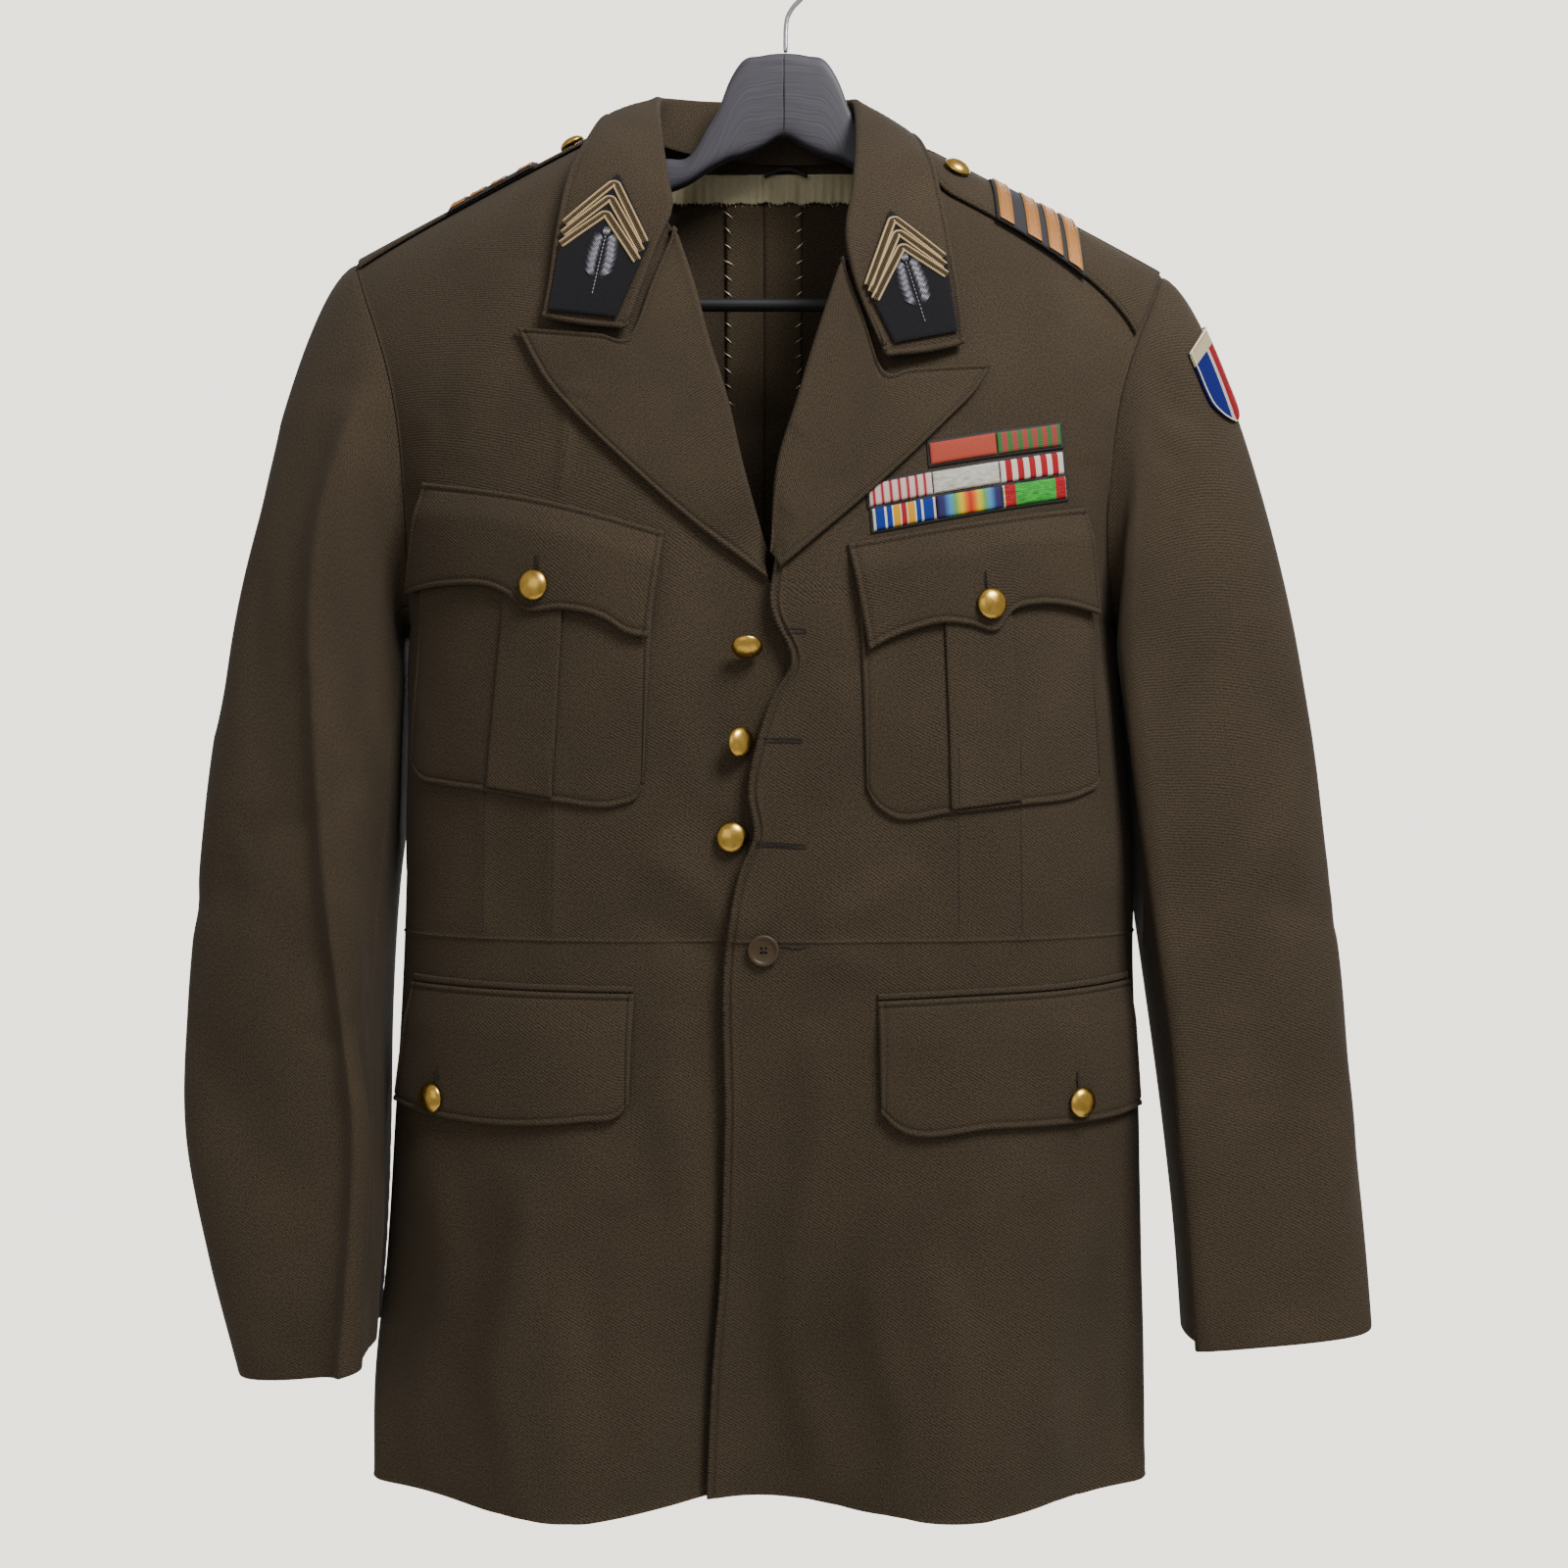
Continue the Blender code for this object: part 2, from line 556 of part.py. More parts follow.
def collar_grid(side, along):
    """Rows round the neck: up the stand, over the fold and down the fall."""
    seam, fold, edge = (
        through([row.along for row in COLLARS[side]], [getattr(row, name) for row in COLLARS[side]], along)
        for name in ("seam", "fold", "edge")
    )
    up = -unit(unit(seam - fold) + unit(edge - fold))
    out = unit(edge - seam)
    out = unit(out - up * (out * up).sum(axis=-1, keepdims=True))
    middle = fold - up * COLLAR_RADIUS
    inside = middle - out * COLLAR_RADIUS
    outside = middle + out * COLLAR_RADIUS
    lean = COLLAR_RADIUS * sin(pi / 4)
    columns = [
        seam,
        (seam + inside) / 2,
        inside,
        middle + (up - out) * lean,
        fold,
        middle + (up + out) * lean,
        outside,
    ]
    columns += [outside + (edge - outside) * t + out * FALL_FULLNESS * sin(pi * t) for t in (0.35, 0.7, 1.0)]
    return np.stack(columns, axis=1)


def laid_over(grid, surface, lifts):
    """Brings what would lie in a surface, or behind it, out in front of it."""
    moved = grid.copy()
    for place in np.ndindex(grid.shape[:2]):
        x, y, z = grid[place]
        hit = surface.ray_cast(Vector((x, -1, z)), Vector((0, 1, 0)))[0]
        if hit is not None:
            moved[place][1] = min(y, hit.y - lifts[place[1]])
    return moved


def make_collar(front):
    """One collar, whose fall the patches are laid on."""
    along = spread(13)
    right = collar_grid(RIGHT, along[::-1])
    left = collar_grid(LEFT, along[1:])
    grid = np.concatenate([right, left])
    ends = slice(None, END_ROWS), slice(-END_ROWS, None)
    lies = np.array([0.0, 0.0, 0.0, 0.3, 0.5, 0.8, 1.0, 1.0, 0.9, 0.75]) * 2 * COLLAR_RADIUS + LIFT
    for rows in ends:
        grid[rows] = laid_over(grid[rows], front, lies)
    sheet("collar", grid[:, ::-1] if (normals(grid)[:, 7:, 1].mean() > 0) else grid, cloth)
    return tree_of([grid[:, 4:]])


def lapel_grid(side, front, along):
    """Rows from the notch to the break, each from the front's edge over the fold."""
    table = LAPELS[side]
    place = {name: read(table, "along", name, along) for name in Lapel._fields[1:]}
    shares = [0.12, 0.5, 1.0]
    xs, zs, lifts = [], [], []
    for share in shares:
        xs.append(place["fold_x"] + (place["notch_x"] - place["fold_x"]) * share)
        zs.append(place["fold_z"] + (place["notch_z"] - place["fold_z"]) * share)
        lifts.append(2 * ROLL_RADIUS - CLOTH + (EDGE_LIFT - 2 * ROLL_RADIUS + CLOTH) * share * 0.5)
    for share in (0.25, 0.5, 0.75, 0.96, 1.0):
        xs.append(place["notch_x"] + (place["edge_x"] - place["notch_x"]) * share)
        zs.append(place["notch_z"] + (place["edge_z"] - place["notch_z"]) * share)
        lifts.append((2 * ROLL_RADIUS - CLOTH + EDGE_LIFT) / 2 * (1 - share) + EDGE_LIFT * share)
    xs, zs = np.stack(xs, axis=1), np.stack(zs, axis=1)
    flat = seen_from(front, xs, zs)
    laid = flat - np.array([0, 1, 0]) * np.array(lifts)[None, :, None]
    edge_x = place["fold_x"] + side * (ROLL_RADIUS - SEAM)
    behind = seen_from(front, edge_x + side * 0.004, place["fold_z"])
    middle = np.stack([edge_x, behind[..., 1] + CLOTH - ROLL_RADIUS, place["fold_z"]], axis=-1)
    turned = []
    for angle in (0, 8, 60, 100, 140):
        turn = radians(angle)
        turned.append(middle + ROLL_RADIUS * np.array([-side * sin(turn), cos(turn), 0]))
    return np.concatenate([np.stack(turned, axis=1), laid], axis=1)


def make_lapels(front):
    for side in (RIGHT, LEFT):
        grid = lapel_grid(side, front, spread(10))
        towards = np.zeros_like(grid)
        towards[:, 6:] = (0, -1, 0)
        order = slice(None, None, 1 if (normals(grid) * towards).sum() > 0 else -1)
        sheet(f"lapel_{SIDE_NAMES[side]}", grid[:, order], cloth)


# ------------------------------------------------------ what lies on the fronts
# Each piece by its upper and lower edges as x and z, how far its face stands out
# at the top and below, and its thickness.
Overlay = namedtuple("Overlay", "name finish upper lower rise fall thick columns rows")
FLAT_RISE = LIFT + OVERLAY
OVERLAYS = [
    Overlay(
        "breast_pocket_right", "cloth",
        [(-0.204, -0.356), (-0.136, -0.370), (-0.070, -0.388)],
        [(-0.214, -0.497), (-0.207, -0.507), (-0.190, -0.511), (-0.166, -0.514), (-0.126, -0.520),
         (-0.090, -0.522), (-0.080, -0.518), (-0.0765, -0.508)],
        FLAT_RISE, FLAT_RISE, OVERLAY, 12, 6,
    ),
    Overlay(
        "breast_pocket_left", "cloth",
        [(0.040, -0.395), (0.106, -0.385), (0.172, -0.370)],
        [(0.0445, -0.512), (0.049, -0.521), (0.058, -0.528), (0.092, -0.526), (0.130, -0.522),
         (0.168, -0.516), (0.176, -0.512), (0.1775, -0.503)],
        FLAT_RISE, FLAT_RISE, OVERLAY, 12, 6,
    ),
    Overlay(
        "box_pleat_right", "cloth",
        [(-0.152, -0.398), (-0.119, -0.403)], [(-0.164, -0.5115), (-0.126, -0.5175)],
        FLAT_RISE + 0.0022, FLAT_RISE + 0.0022, 0.0010, 4, 6,
    ),
    Overlay(
        "box_pleat_left", "cloth",
        [(0.086, -0.408), (0.123, -0.403)], [(0.091, -0.524), (0.130, -0.519)],
        FLAT_RISE + 0.0022, FLAT_RISE + 0.0022, 0.0010, 4, 6,
    ),
    Overlay(
        "breast_flap_right", "cloth",
        [(-0.204, -0.339), (-0.132, -0.354), (-0.065, -0.373)],
        [(-0.214, -0.400), (-0.184, -0.399), (-0.159, -0.402), (-0.149, -0.407), (-0.141, -0.415),
         (-0.119, -0.4155), (-0.097, -0.421), (-0.083, -0.4295), (-0.073, -0.431)],
        FLAT_RISE, FLAT_RISE + 0.0042, OVERLAY, 13, 6,
    ),
    Overlay(
        "breast_flap_left", "cloth",
        [(0.034, -0.380), (0.102, -0.367), (0.170, -0.354)],
        [(0.045, -0.438), (0.056, -0.432), (0.069, -0.427), (0.086, -0.423), (0.100, -0.424),
         (0.114, -0.427), (0.124, -0.415), (0.138, -0.411), (0.157, -0.411), (0.176, -0.414)],
        FLAT_RISE, FLAT_RISE + 0.0042, OVERLAY, 13, 6,
    ),
    Overlay(
        "hip_welt_right", "cloth",
        [(-0.212, -0.6185), (-0.145, -0.620), (-0.082, -0.6205)],
        [(-0.212, -0.6225), (-0.145, -0.6235), (-0.082, -0.624)],
        FLAT_RISE, FLAT_RISE, OVERLAY, 13, 2,
    ),
    Overlay(
        "hip_welt_left", "cloth",
        [(0.051, -0.6245), (0.103, -0.6225), (0.158, -0.621), (0.198, -0.618)],
        [(0.051, -0.628), (0.103, -0.626), (0.158, -0.6245), (0.198, -0.622)],
        FLAT_RISE, FLAT_RISE, OVERLAY, 13, 2,
    ),
    Overlay(
        "hip_flap_right", "cloth",
        [(-0.213, -0.6232), (-0.145, -0.6242), (-0.082, -0.6247)],
        [(-0.2235, -0.6935), (-0.207, -0.6965), (-0.191, -0.698), (-0.159, -0.699), (-0.110, -0.695),
         (-0.091, -0.692), (-0.085, -0.685)],
        FLAT_RISE, FLAT_RISE + 0.0022, OVERLAY, 12, 5,
    ),
    Overlay(
        "hip_flap_left", "cloth",
        [(0.051, -0.6287), (0.103, -0.6267), (0.158, -0.6252), (0.199, -0.6227)],
        [(0.053, -0.690), (0.061, -0.698), (0.115, -0.6995), (0.168, -0.700), (0.190, -0.699),
         (0.2045, -0.6965)],
        FLAT_RISE, FLAT_RISE + 0.0022, OVERLAY, 12, 5,
    ),
]


def even(points, count):
    """Places along a line of points, evenly by their distance."""
    points = np.array(points, dtype=float)
    reached = np.concatenate([[0], np.cumsum(np.linalg.norm(np.diff(points, axis=0), axis=1))])
    at = spread(count) * reached[-1]
    return np.stack([np.interp(at, reached, points[:, k]) for k in range(points.shape[1])], axis=-1)


def overlay_grid(row, surface):
    """Points between two edges, on the surface below and moved out from it."""
    upper = even(row.upper, row.columns)
    lower = even(row.lower, row.columns)
    down = spread(row.rows)[:, None, None] if row.rows > 3 else np.linspace(0, 1, row.rows)[:, None, None]
    places = upper + (lower - upper) * down
    flat = seen_from(surface, places[..., 0], places[..., 1])
    straight = normals(flat)
    straight = np.where(straight[..., 1:2] > 0, -straight, straight)
    lift = row.rise + (row.fall - row.rise) * ease(down / 0.35)
    return flat + straight * lift


def make_overlay(row, surface):
    grid = facing(overlay_grid(row, surface), (0, -1, 0))
    sheet(row.name, grid, finishes[row.finish], row.thick)
    return grid


# The ribbons of each bar, from the upper edge: its left end, its splits and its
# right end, as x and z.
RIBBON_BARS = [
    [(0.079, -0.3240), (0.1165, -0.3165), (0.154, -0.3090)],
    [(0.0455, -0.3475), (0.0805, -0.3400), (0.118, -0.3325), (0.1555, -0.3245)],
    [(0.0475, -0.3610), (0.0825, -0.3535), (0.1195, -0.3460), (0.157, -0.3380)],
]
RIBBON_HEIGHT = 0.0122
RIBBON_LEAN = 0.001
RIBBON_FINISHES = [["coral", "green_red"], ["pale_red", "white", "white_red"], ["many", "rainbow", "green"]]


def make_ribbons(front):
    for bar, (ends, names) in enumerate(zip(RIBBON_BARS, RIBBON_FINISHES), start=1):
        for place, name in enumerate(names, start=1):
            (x0, z0), (x1, z1) = ends[place - 1], ends[place]
            x1 -= SEAM
            upper = [(x0, z0), (x1, z1)]
            lower = [(x + RIBBON_LEAN, z - RIBBON_HEIGHT) for x, z in upper]
            rise = 1.3 * LIFT + RIBBON
            row = Overlay(f"ribbon_{bar}_{place}", name, upper, lower, rise, rise, RIBBON, 3, 2)
            make_overlay(row, front)


PATCHES = [
    Overlay(
        "collar_patch_right", "felt",
        [(-0.1225, -0.194), (-0.0935, -0.166), (-0.0745, -0.2105)],
        [(-0.1290, -0.2495), (-0.0915, -0.2550)],
        0.0025, 0.0025, FELT, 7, 6,
    ),
    Overlay(
        "collar_patch_left", "felt",
        [(0.0445, -0.2355), (0.0590, -0.1895), (0.0900, -0.2165)],
        [(0.0600, -0.2700), (0.0950, -0.2615)],
        0.0025, 0.0025, FELT, 7, 6,
    ),
]


# ------------------------------------------------- straps and rank slides
STRAP_HALF = 0.020
STRAP_COLUMNS = np.array([-1, -0.92, -0.62, -0.31, 0, 0.31, 0.62, 0.92, 1])
STRAP_THICK = 0.0017
STRAP_TIP = 0.0920  # from the middle of the body
STRAP_GAP = 0.0015  # before the armhole's seam
TIP_LENGTH = 0.018
STRAP_Y = {RIGHT: 0.001, LEFT: -0.028}
SLIDE_ENDS = (0.1340, 0.1850)
SLIDE_THICK = 0.0012
SLIDE_WIDTH = 1.06  # of the strap's
BAR_RISE = 0.0006
# The raised bars of a slide, as shares of its length from the neck.
SLIDE_BARS = [(0.03, 0.19), (0.34, 0.50), (0.58, 0.74), (0.80, 0.96)]


def seen_from_above(tree, x, y):
    points = np.empty(x.shape + (3,))
    for place in np.ndindex(x.shape):
        hit = tree.ray_cast(Vector((x[place], y[place], 0)), Vector((0, 0, -1)))[0]
        if hit is None:
            raise ValueError(f"nothing lies under {x[place]:.4f}, {y[place]:.4f}")
        points[place] = hit
    return points


def upward(grid):
    straight = normals(grid)
    return np.where(straight[..., 2:3] < 0, -straight, straight)


def shoulder_tree(panels):
    """The tops of the shoulders, from the fronts over the seam to the backs."""
    grids = list(panels)
    for side in (RIGHT, LEFT):
        share = np.concatenate([np.linspace(0.2, 0.98, 34), np.linspace(0.985, 1, 12)])[:, None]
        level = UNDERARM_Z + share * (SHOULDER_TOP - UNDERARM_Z)
        grids += [body(side, np.linspace(0.1, 0.9, 40), level), body(side, np.linspace(1.1, 1.9, 40), level)]
    return tree_of(grids)


def strap_grid(side, shoulders, out, width, rise):
    """Rows along a shoulder, each across it: out is the distance from its middle."""
    x = body_line(SHOULDER_TOP)[0] + side * out
    flat = seen_from_above(shoulders, x, STRAP_Y[side] + width * STRAP_COLUMNS + 0 * x)
    return facing(flat + upward(flat) * rise, (0, 0, 1))


def arm_ends(side):
    """How far out the strap's columns run before the armhole's seam stops them."""
    edge = armhole_point(side, np.arange(-110, 111, 5) % 360)
    order = np.argsort(edge[:, 1])
    y = STRAP_Y[side] + STRAP_HALF * STRAP_COLUMNS
    out = np.abs(edge[:, 0] - body_line(SHOULDER_TOP)[0])
    return np.interp(y, edge[order, 1], out[order]) - STRAP_GAP


def make_straps(shoulders):
    for side in (RIGHT, LEFT):
        share = np.concatenate([[0, 0.05, 0.12], np.linspace(0.25, 1, 7)])[:, None]
        out = STRAP_TIP + (arm_ends(side) - STRAP_TIP) * share
        width = STRAP_HALF * np.clip((out - STRAP_TIP) / TIP_LENGTH, 0.10, 1) ** 0.8
        grid = strap_grid(side, shoulders, out, width, LIFT + STRAP_THICK)
        sheet(f"shoulder_strap_{SIDE_NAMES[side]}", grid, cloth, STRAP_THICK)
        edges = [edge + step for bar in SLIDE_BARS for edge in bar for step in (-0.008, 0.008)]
        share = np.array([0.0] + edges + [1.0])[:, None]
        out = SLIDE_ENDS[0] + (SLIDE_ENDS[1] - SLIDE_ENDS[0]) * share
        raised = np.array([any(low < t < high for low, high in SLIDE_BARS) for t in share])[:, None, None]
        rise = LIFT + STRAP_THICK + LIFT + SLIDE_THICK + BAR_RISE * raised
        grid = strap_grid(side, shoulders, out + 0 * STRAP_COLUMNS, STRAP_HALF * SLIDE_WIDTH, rise)
        sheet(f"rank_slide_{SIDE_NAMES[side]}", grid, finishes["slide"], SLIDE_THICK)


# --------------------------------------------------------- the sleeve shield
SHIELD_ROWS = [(0.270, 19), (0.285, 20), (0.340, 20), (0.400, 19), (0.440, 16), (0.470, 11), (0.490, 4)]
SHIELD_MIDDLE = 29  # degrees round the sleeve from its outer side, by the front


def make_shield():
    """The shield's rows round the left sleeve, by their place on the cap and half width."""
    rows = []
    for drop, half in SHIELD_ROWS:
        angles = SHIELD_MIDDLE + half * np.linspace(1, -1, 7)
        rows.append(cap_row(LEFT, angles, drop))
    grid = np.array(rows)
    straight = normals(grid)
    straight = np.where(straight[..., 0:1] < 0, -straight, straight)
    grid = grid + straight * (LIFT + FELT)
    sheet("sleeve_shield_left", facing(grid, (1, 0, 0)), finishes["shield"], FELT)


# ------------------------------------------------------ inside the back neck
LINING_LEVELS = (-0.1450, -0.1298)
ALLOWANCE = 0.024
ALLOWANCE_LEVELS = (-0.905, -0.146)
FACING = 0.0010
INSIDE_GAP = 0.0010  # between the back's inner face and what lies on it


def inside_back(x, level):
    """Points just inside the back's inner face, at a sheet's own depth."""
    points = []
    for row_x, z in zip(x, level):
        row = []
        for one in row_x:
            side = LEFT if one > body_line(z)[0] else RIGHT
            turn = 2 - round_at(side, z, one)
            row.append(body(side, turn, z))
        points.append(row)
    grid = np.array(points)
    straight = normals(grid)
    straight = np.where(straight[..., 1:2] > 0, -straight, straight)
    return grid + straight * (CLOTH + INSIDE_GAP + FACING)


def make_inside():
    lining = np.linspace(-0.080, 0.052, 13) + np.zeros((3, 1))
    levels = np.linspace(*LINING_LEVELS, 3)
    sheet("neck_lining", facing(inside_back(lining, levels), (0, -1, 0)), finishes["lining"], FACING)
    levels = ALLOWANCE_LEVELS[0] + (ALLOWANCE_LEVELS[1] - ALLOWANCE_LEVELS[0]) * np.linspace(0, 1, 11)
    middle = body_line(levels)[0][:, None]
    for side in (RIGHT, LEFT):
        x = middle + side * np.array([0.00015, ALLOWANCE / 2, ALLOWANCE])
        grid = inside_back(x, levels)
        sheet(f"seam_allowance_{SIDE_NAMES[side]}", facing(grid, (0, -1, 0)), cloth, FACING)


# ------------------------------------------------------------------- buttons
# Each turned profile from the middle of the face down to the back, in radii.
GILT_PROFILE = [(0.0, 0.62), (0.45, 0.57), (0.82, 0.37), (1.0, 0.16), (0.94, 0.02), (0.22, 0.02),
                (0.22, -0.10), (0.0, -0.10)]
FLAT_PROFILE = [(0.0, 0.16), (0.66, 0.16), (0.74, 0.27), (0.94, 0.27), (1.0, 0.15), (0.90, 0.0), (0.0, 0.0)]
Button = namedtuple("Button", "name x z radius lift tilt")
FLAP_FACE = FLAT_RISE + 0.0042
BUTTONS = [
    # The tilts are in degrees: how far the face hangs down, and turns to the right.
    Button("button_breast_right", -0.1340, -0.402, GILT_RADIUS, FLAP_FACE, (0, 0)),
    Button("button_breast_left", 0.1105, -0.412, GILT_RADIUS, FLAP_FACE, (0, 0)),
    Button("button_hip_right", -0.1960, -0.687, GILT_RADIUS, FLAT_RISE + 0.0022, (0, 0)),
    Button("button_hip_left", 0.1640, -0.688, GILT_RADIUS, FLAT_RISE + 0.0022, (0, 0)),
    Button("button_front_1", -0.0200, -0.435, GILT_RADIUS, 0.0, (50, 0)),
    Button("button_front_2", -0.0240, -0.487, GILT_RADIUS, 0.0, (0, -42)),
    Button("button_front_3", -0.0285, -0.539, GILT_RADIUS, 0.0, (0, 0)),
]
WAIST_BUTTON_PLACE = (-0.0112, -0.6005)  # x and z
STRAP_BUTTON_OUT = 0.113  # from the middle of the body


def turned(name, profile, radius, finish, place, axis, steps=12):
    """A profile turned about an axis that stands on a place."""
    mesh = bpy.data.meshes.new(name)
    points = [(r * radius, 0, h * radius) for r, h in profile]
    mesh.from_pydata(points, [(k, k + 1) for k in range(len(points) - 1)], [])
    thing = add(name, mesh, finish)
    screw = thing.modifiers.new("turn", "SCREW")
    screw.steps = screw.render_steps = steps
    screw.use_merge_vertices = True
    screw.merge_threshold = 0.00002
    screw.use_normal_calculate = False
    thing.location = place
    thing.rotation_mode = "QUATERNION"
    thing.rotation_quaternion = Vector(axis).to_track_quat("Z", "Y")
    return thing


def surface_frame(surface, x, z):
    hit, normal, _, _ = surface.ray_cast(Vector((x, -1, z)), Vector((0, 1, 0)))
    return hit, normal if normal.y < 0 else -normal


def make_buttons(front, shoulders):
    for row in BUTTONS:
        base, normal = surface_frame(front, row.x, row.z)
        down, across = (radians(t) for t in row.tilt)
        lean = abs(down + across)
        below = max(out * sin(lean) - height * cos(lean) for out, height in GILT_PROFILE)
        place = base + normal * (LIFT + row.lift + row.radius * below)
        axis = Vector((normal.x - tan(across), normal.y, normal.z - tan(down)))
        turned(row.name, GILT_PROFILE, row.radius, finishes["brass"], place, axis)
    for side in (RIGHT, LEFT):
        x = body_line(SHOULDER_TOP)[0] + side * STRAP_BUTTON_OUT
        hit, normal, _, _ = shoulders.ray_cast(Vector((x, STRAP_Y[side], 0)), Vector((0, 0, -1)))
        normal = normal if normal.z > 0 else -normal
        place = hit + normal * (LIFT + SEAM + STRAP_THICK + 0.1 * STRAP_BUTTON_RADIUS)
        name = f"button_strap_{SIDE_NAMES[side]}"
        turned(name, GILT_PROFILE, STRAP_BUTTON_RADIUS, finishes["brass"], place, normal)
    base, normal = surface_frame(front, *WAIST_BUTTON_PLACE)
    place = base + normal * LIFT
    turned("button_waist", FLAT_PROFILE, WAIST_BUTTON_RADIUS, finishes["horn"], place, normal)


# ------------------------------------------------------------------ the hanger
def hanger_sections():
    """Rows of the wood from one arm's end to the other: x, top and bottom."""
    last = HANGER_HEAD[-1]
    middle = body_line(SHOULDER_TOP)[0]
    sections = []
    for side in (RIGHT, LEFT):
        past_neck = abs(side * ARM_END - middle) - NECK_HALF
        end_top = SHOULDER_TOP - side * SHOULDER_LEAN - SHOULDER_SLOPE * past_neck - UNDER_RIDGE
        arm = [(row.out, row.top, row.bottom) for row in HANGER_HEAD[1:]]
        for out in (0.12, LEG_INSIDE - 0.0002, LEG_INSIDE, ARM_END - 0.004, ARM_END):
            top = last.top + (end_top - last.top) * (out - last.out) / (ARM_END - last.out)
            arm.append((out, top, top - ARM_DEPTH if out < LEG_INSIDE else LEG_BOTTOM))
        out, top, bottom = arm[-1]
        arm[-1] = (out, top - 0.003, bottom + 0.004)
        sections.append([(side * out, top, bottom) for out, top, bottom in arm])
    return sections[0][::-1] + [(0.0, HANGER_HEAD[0].top, HANGER_HEAD[0].bottom)] + sections[1]


def closed_loft(name, rings, finish):
    """A solid through closed rings of points, with a face at each end."""
    count = len(rings[0])
    mesh = bpy.data.meshes.new(name)
    faces = [tuple(reversed(range(count)))]
    for i in range(len(rings) - 1):
        for j in range(count):
            a, b = i * count + j, i * count + (j + 1) % count
            faces.append((a, b, b + count, a + count))
    faces.append(tuple(range((len(rings) - 1) * count, len(rings) * count)))
    mesh.from_pydata([tuple(p) for ring in rings for p in ring], [], faces)
    return add(name, mesh, finish)


def make_hanger():
    front, back = WOOD_Y - WOOD_HALF, WOOD_Y + WOOD_HALF
    rings = []
    for x, top, bottom in hanger_sections():
        rings.append([
            (x, front + TOP_ROUND, top), (x, front, top - TOP_ROUND),
            (x, front, bottom + LOW_ROUND), (x, front + LOW_ROUND, bottom),
            (x, back - LOW_ROUND, bottom), (x, back, bottom + LOW_ROUND),
            (x, back, top - TOP_ROUND), (x, back - TOP_ROUND, top),
        ])
    closed_loft("hanger_wood", rings, finishes["wood"])
    bar_half = LEG_INSIDE - 0.0002 - SEAM
    bar_ends = [(-bar_half, WOOD_Y, BAR_Z), (bar_half, WOOD_Y, BAR_Z)]
    tube("hanger_bar", bar_ends, BAR_RADIUS, finishes["wood"], 2)
    middle = (0.0, 0.0, WIRE_RADIUS - HOOK_RADIUS)
    stem = [(0.001, 0, HANGER_HEAD[0].top + 0.0004), (0.001, 0, -0.060), (0.0012, 0, -0.053),
            (0.0022, 0, -0.0465), (0.0055, 0, -0.0405), (0.0098, 0, -0.0360)]
    round_it = [
        (middle[0] + HOOK_RADIUS * cos(radians(a)), 0, middle[2] + HOOK_RADIUS * sin(radians(a)))
        for a in range(-46, 208, 18)
    ]
    tube("hanger_hook", stem + round_it, WIRE_RADIUS, finishes["chrome"], 2)


def tube(name, points, radius, finish, resolution):
    """A straight or bent rod through points, with capped ends."""
    curve = bpy.data.curves.new(name, "CURVE")
    curve.dimensions = "3D"
    curve.bevel_depth = radius
    curve.bevel_resolution = resolution
    curve.use_fill_caps = True
    line = curve.splines.new("POLY")
    line.points.add(len(points) - 1)
    for point, place in zip(line.points, points):
        point.co = (*place, 1)
    curve.materials.append(finish)
    thing = bpy.data.objects.new(name, curve)
    tunic.objects.link(thing)
    return thing


def main():
    front, uppers = make_fronts()
    backs = make_backs()
    make_sleeves()
    collar = make_collar(front)
    make_lapels(front)
    for row in OVERLAYS:
        make_overlay(row, front)
    make_ribbons(front)
    for row in PATCHES:
        make_overlay(row, collar)
    shoulders = shoulder_tree(uppers + backs)
    make_straps(shoulders)
    make_shield()
    make_inside()
    make_buttons(front, shoulders)
    make_hanger()


clear_scene()
tunic = bpy.data.collections.new("uniform_tunic")
bpy.context.scene.collection.children.link(tunic)
cloth = material("wool_twill", (0.068, 0.050, 0.032), 0.85)
finishes = {
    "cloth": cloth,
    "felt": material("black_felt", (0.010, 0.011, 0.014), 0.95),
    "coral": material("coral_ribbon", (0.69, 0.16, 0.11), 0.7),
    "green_red": material("green_and_red_ribbon", (0.20, 0.16, 0.08), 0.7),
    "pale_red": material("red_lined_ribbon", (0.62, 0.30, 0.28), 0.7),
    "white": material("white_moire_ribbon", (0.62, 0.60, 0.55), 0.6),
    "white_red": material("red_striped_ribbon", (0.66, 0.30, 0.26), 0.7),
    "many": material("many_striped_ribbon", (0.32, 0.30, 0.36), 0.7),
    "rainbow": material("rainbow_ribbon", (0.45, 0.40, 0.15), 0.7),
    "green": material("green_moire_ribbon", (0.12, 0.48, 0.12), 0.6),
    "slide": material("rank_slide", (0.35, 0.22, 0.06), 0.8),
    "shield": material("embroidered_shield", (0.10, 0.12, 0.45), 0.8),
    "lining": material("olive_satin", (0.15, 0.13, 0.07), 0.45),
    "brass": material("gilt_brass", (0.48, 0.31, 0.07), 0.3, 1.0),
    "horn": material("brown_plastic", (0.10, 0.06, 0.035), 0.4),
    "wood": material("charcoal_stained_beech", (0.045, 0.045, 0.055), 0.55),
    "chrome": material("chromed_wire", (0.62, 0.62, 0.62), 0.15, 1.0),
}
main()
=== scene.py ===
# %% [markdown]
# A police tunic on a wooden hanger.
#
# The imported solids are the tunic's pattern pieces as plain walls. Here each piece is
# laid out again on the same form with far more points, so that it can take creases,
# rolled edges, stitching and a weave. The solids stay below, hidden where redrawn. The
# solids stay below for collision.

from collections import namedtuple
from math import cos, pi, radians, sin, tan

import bpy
import numpy as np
from mathutils import Matrix, Vector
from mathutils.bvhtree import BVHTree


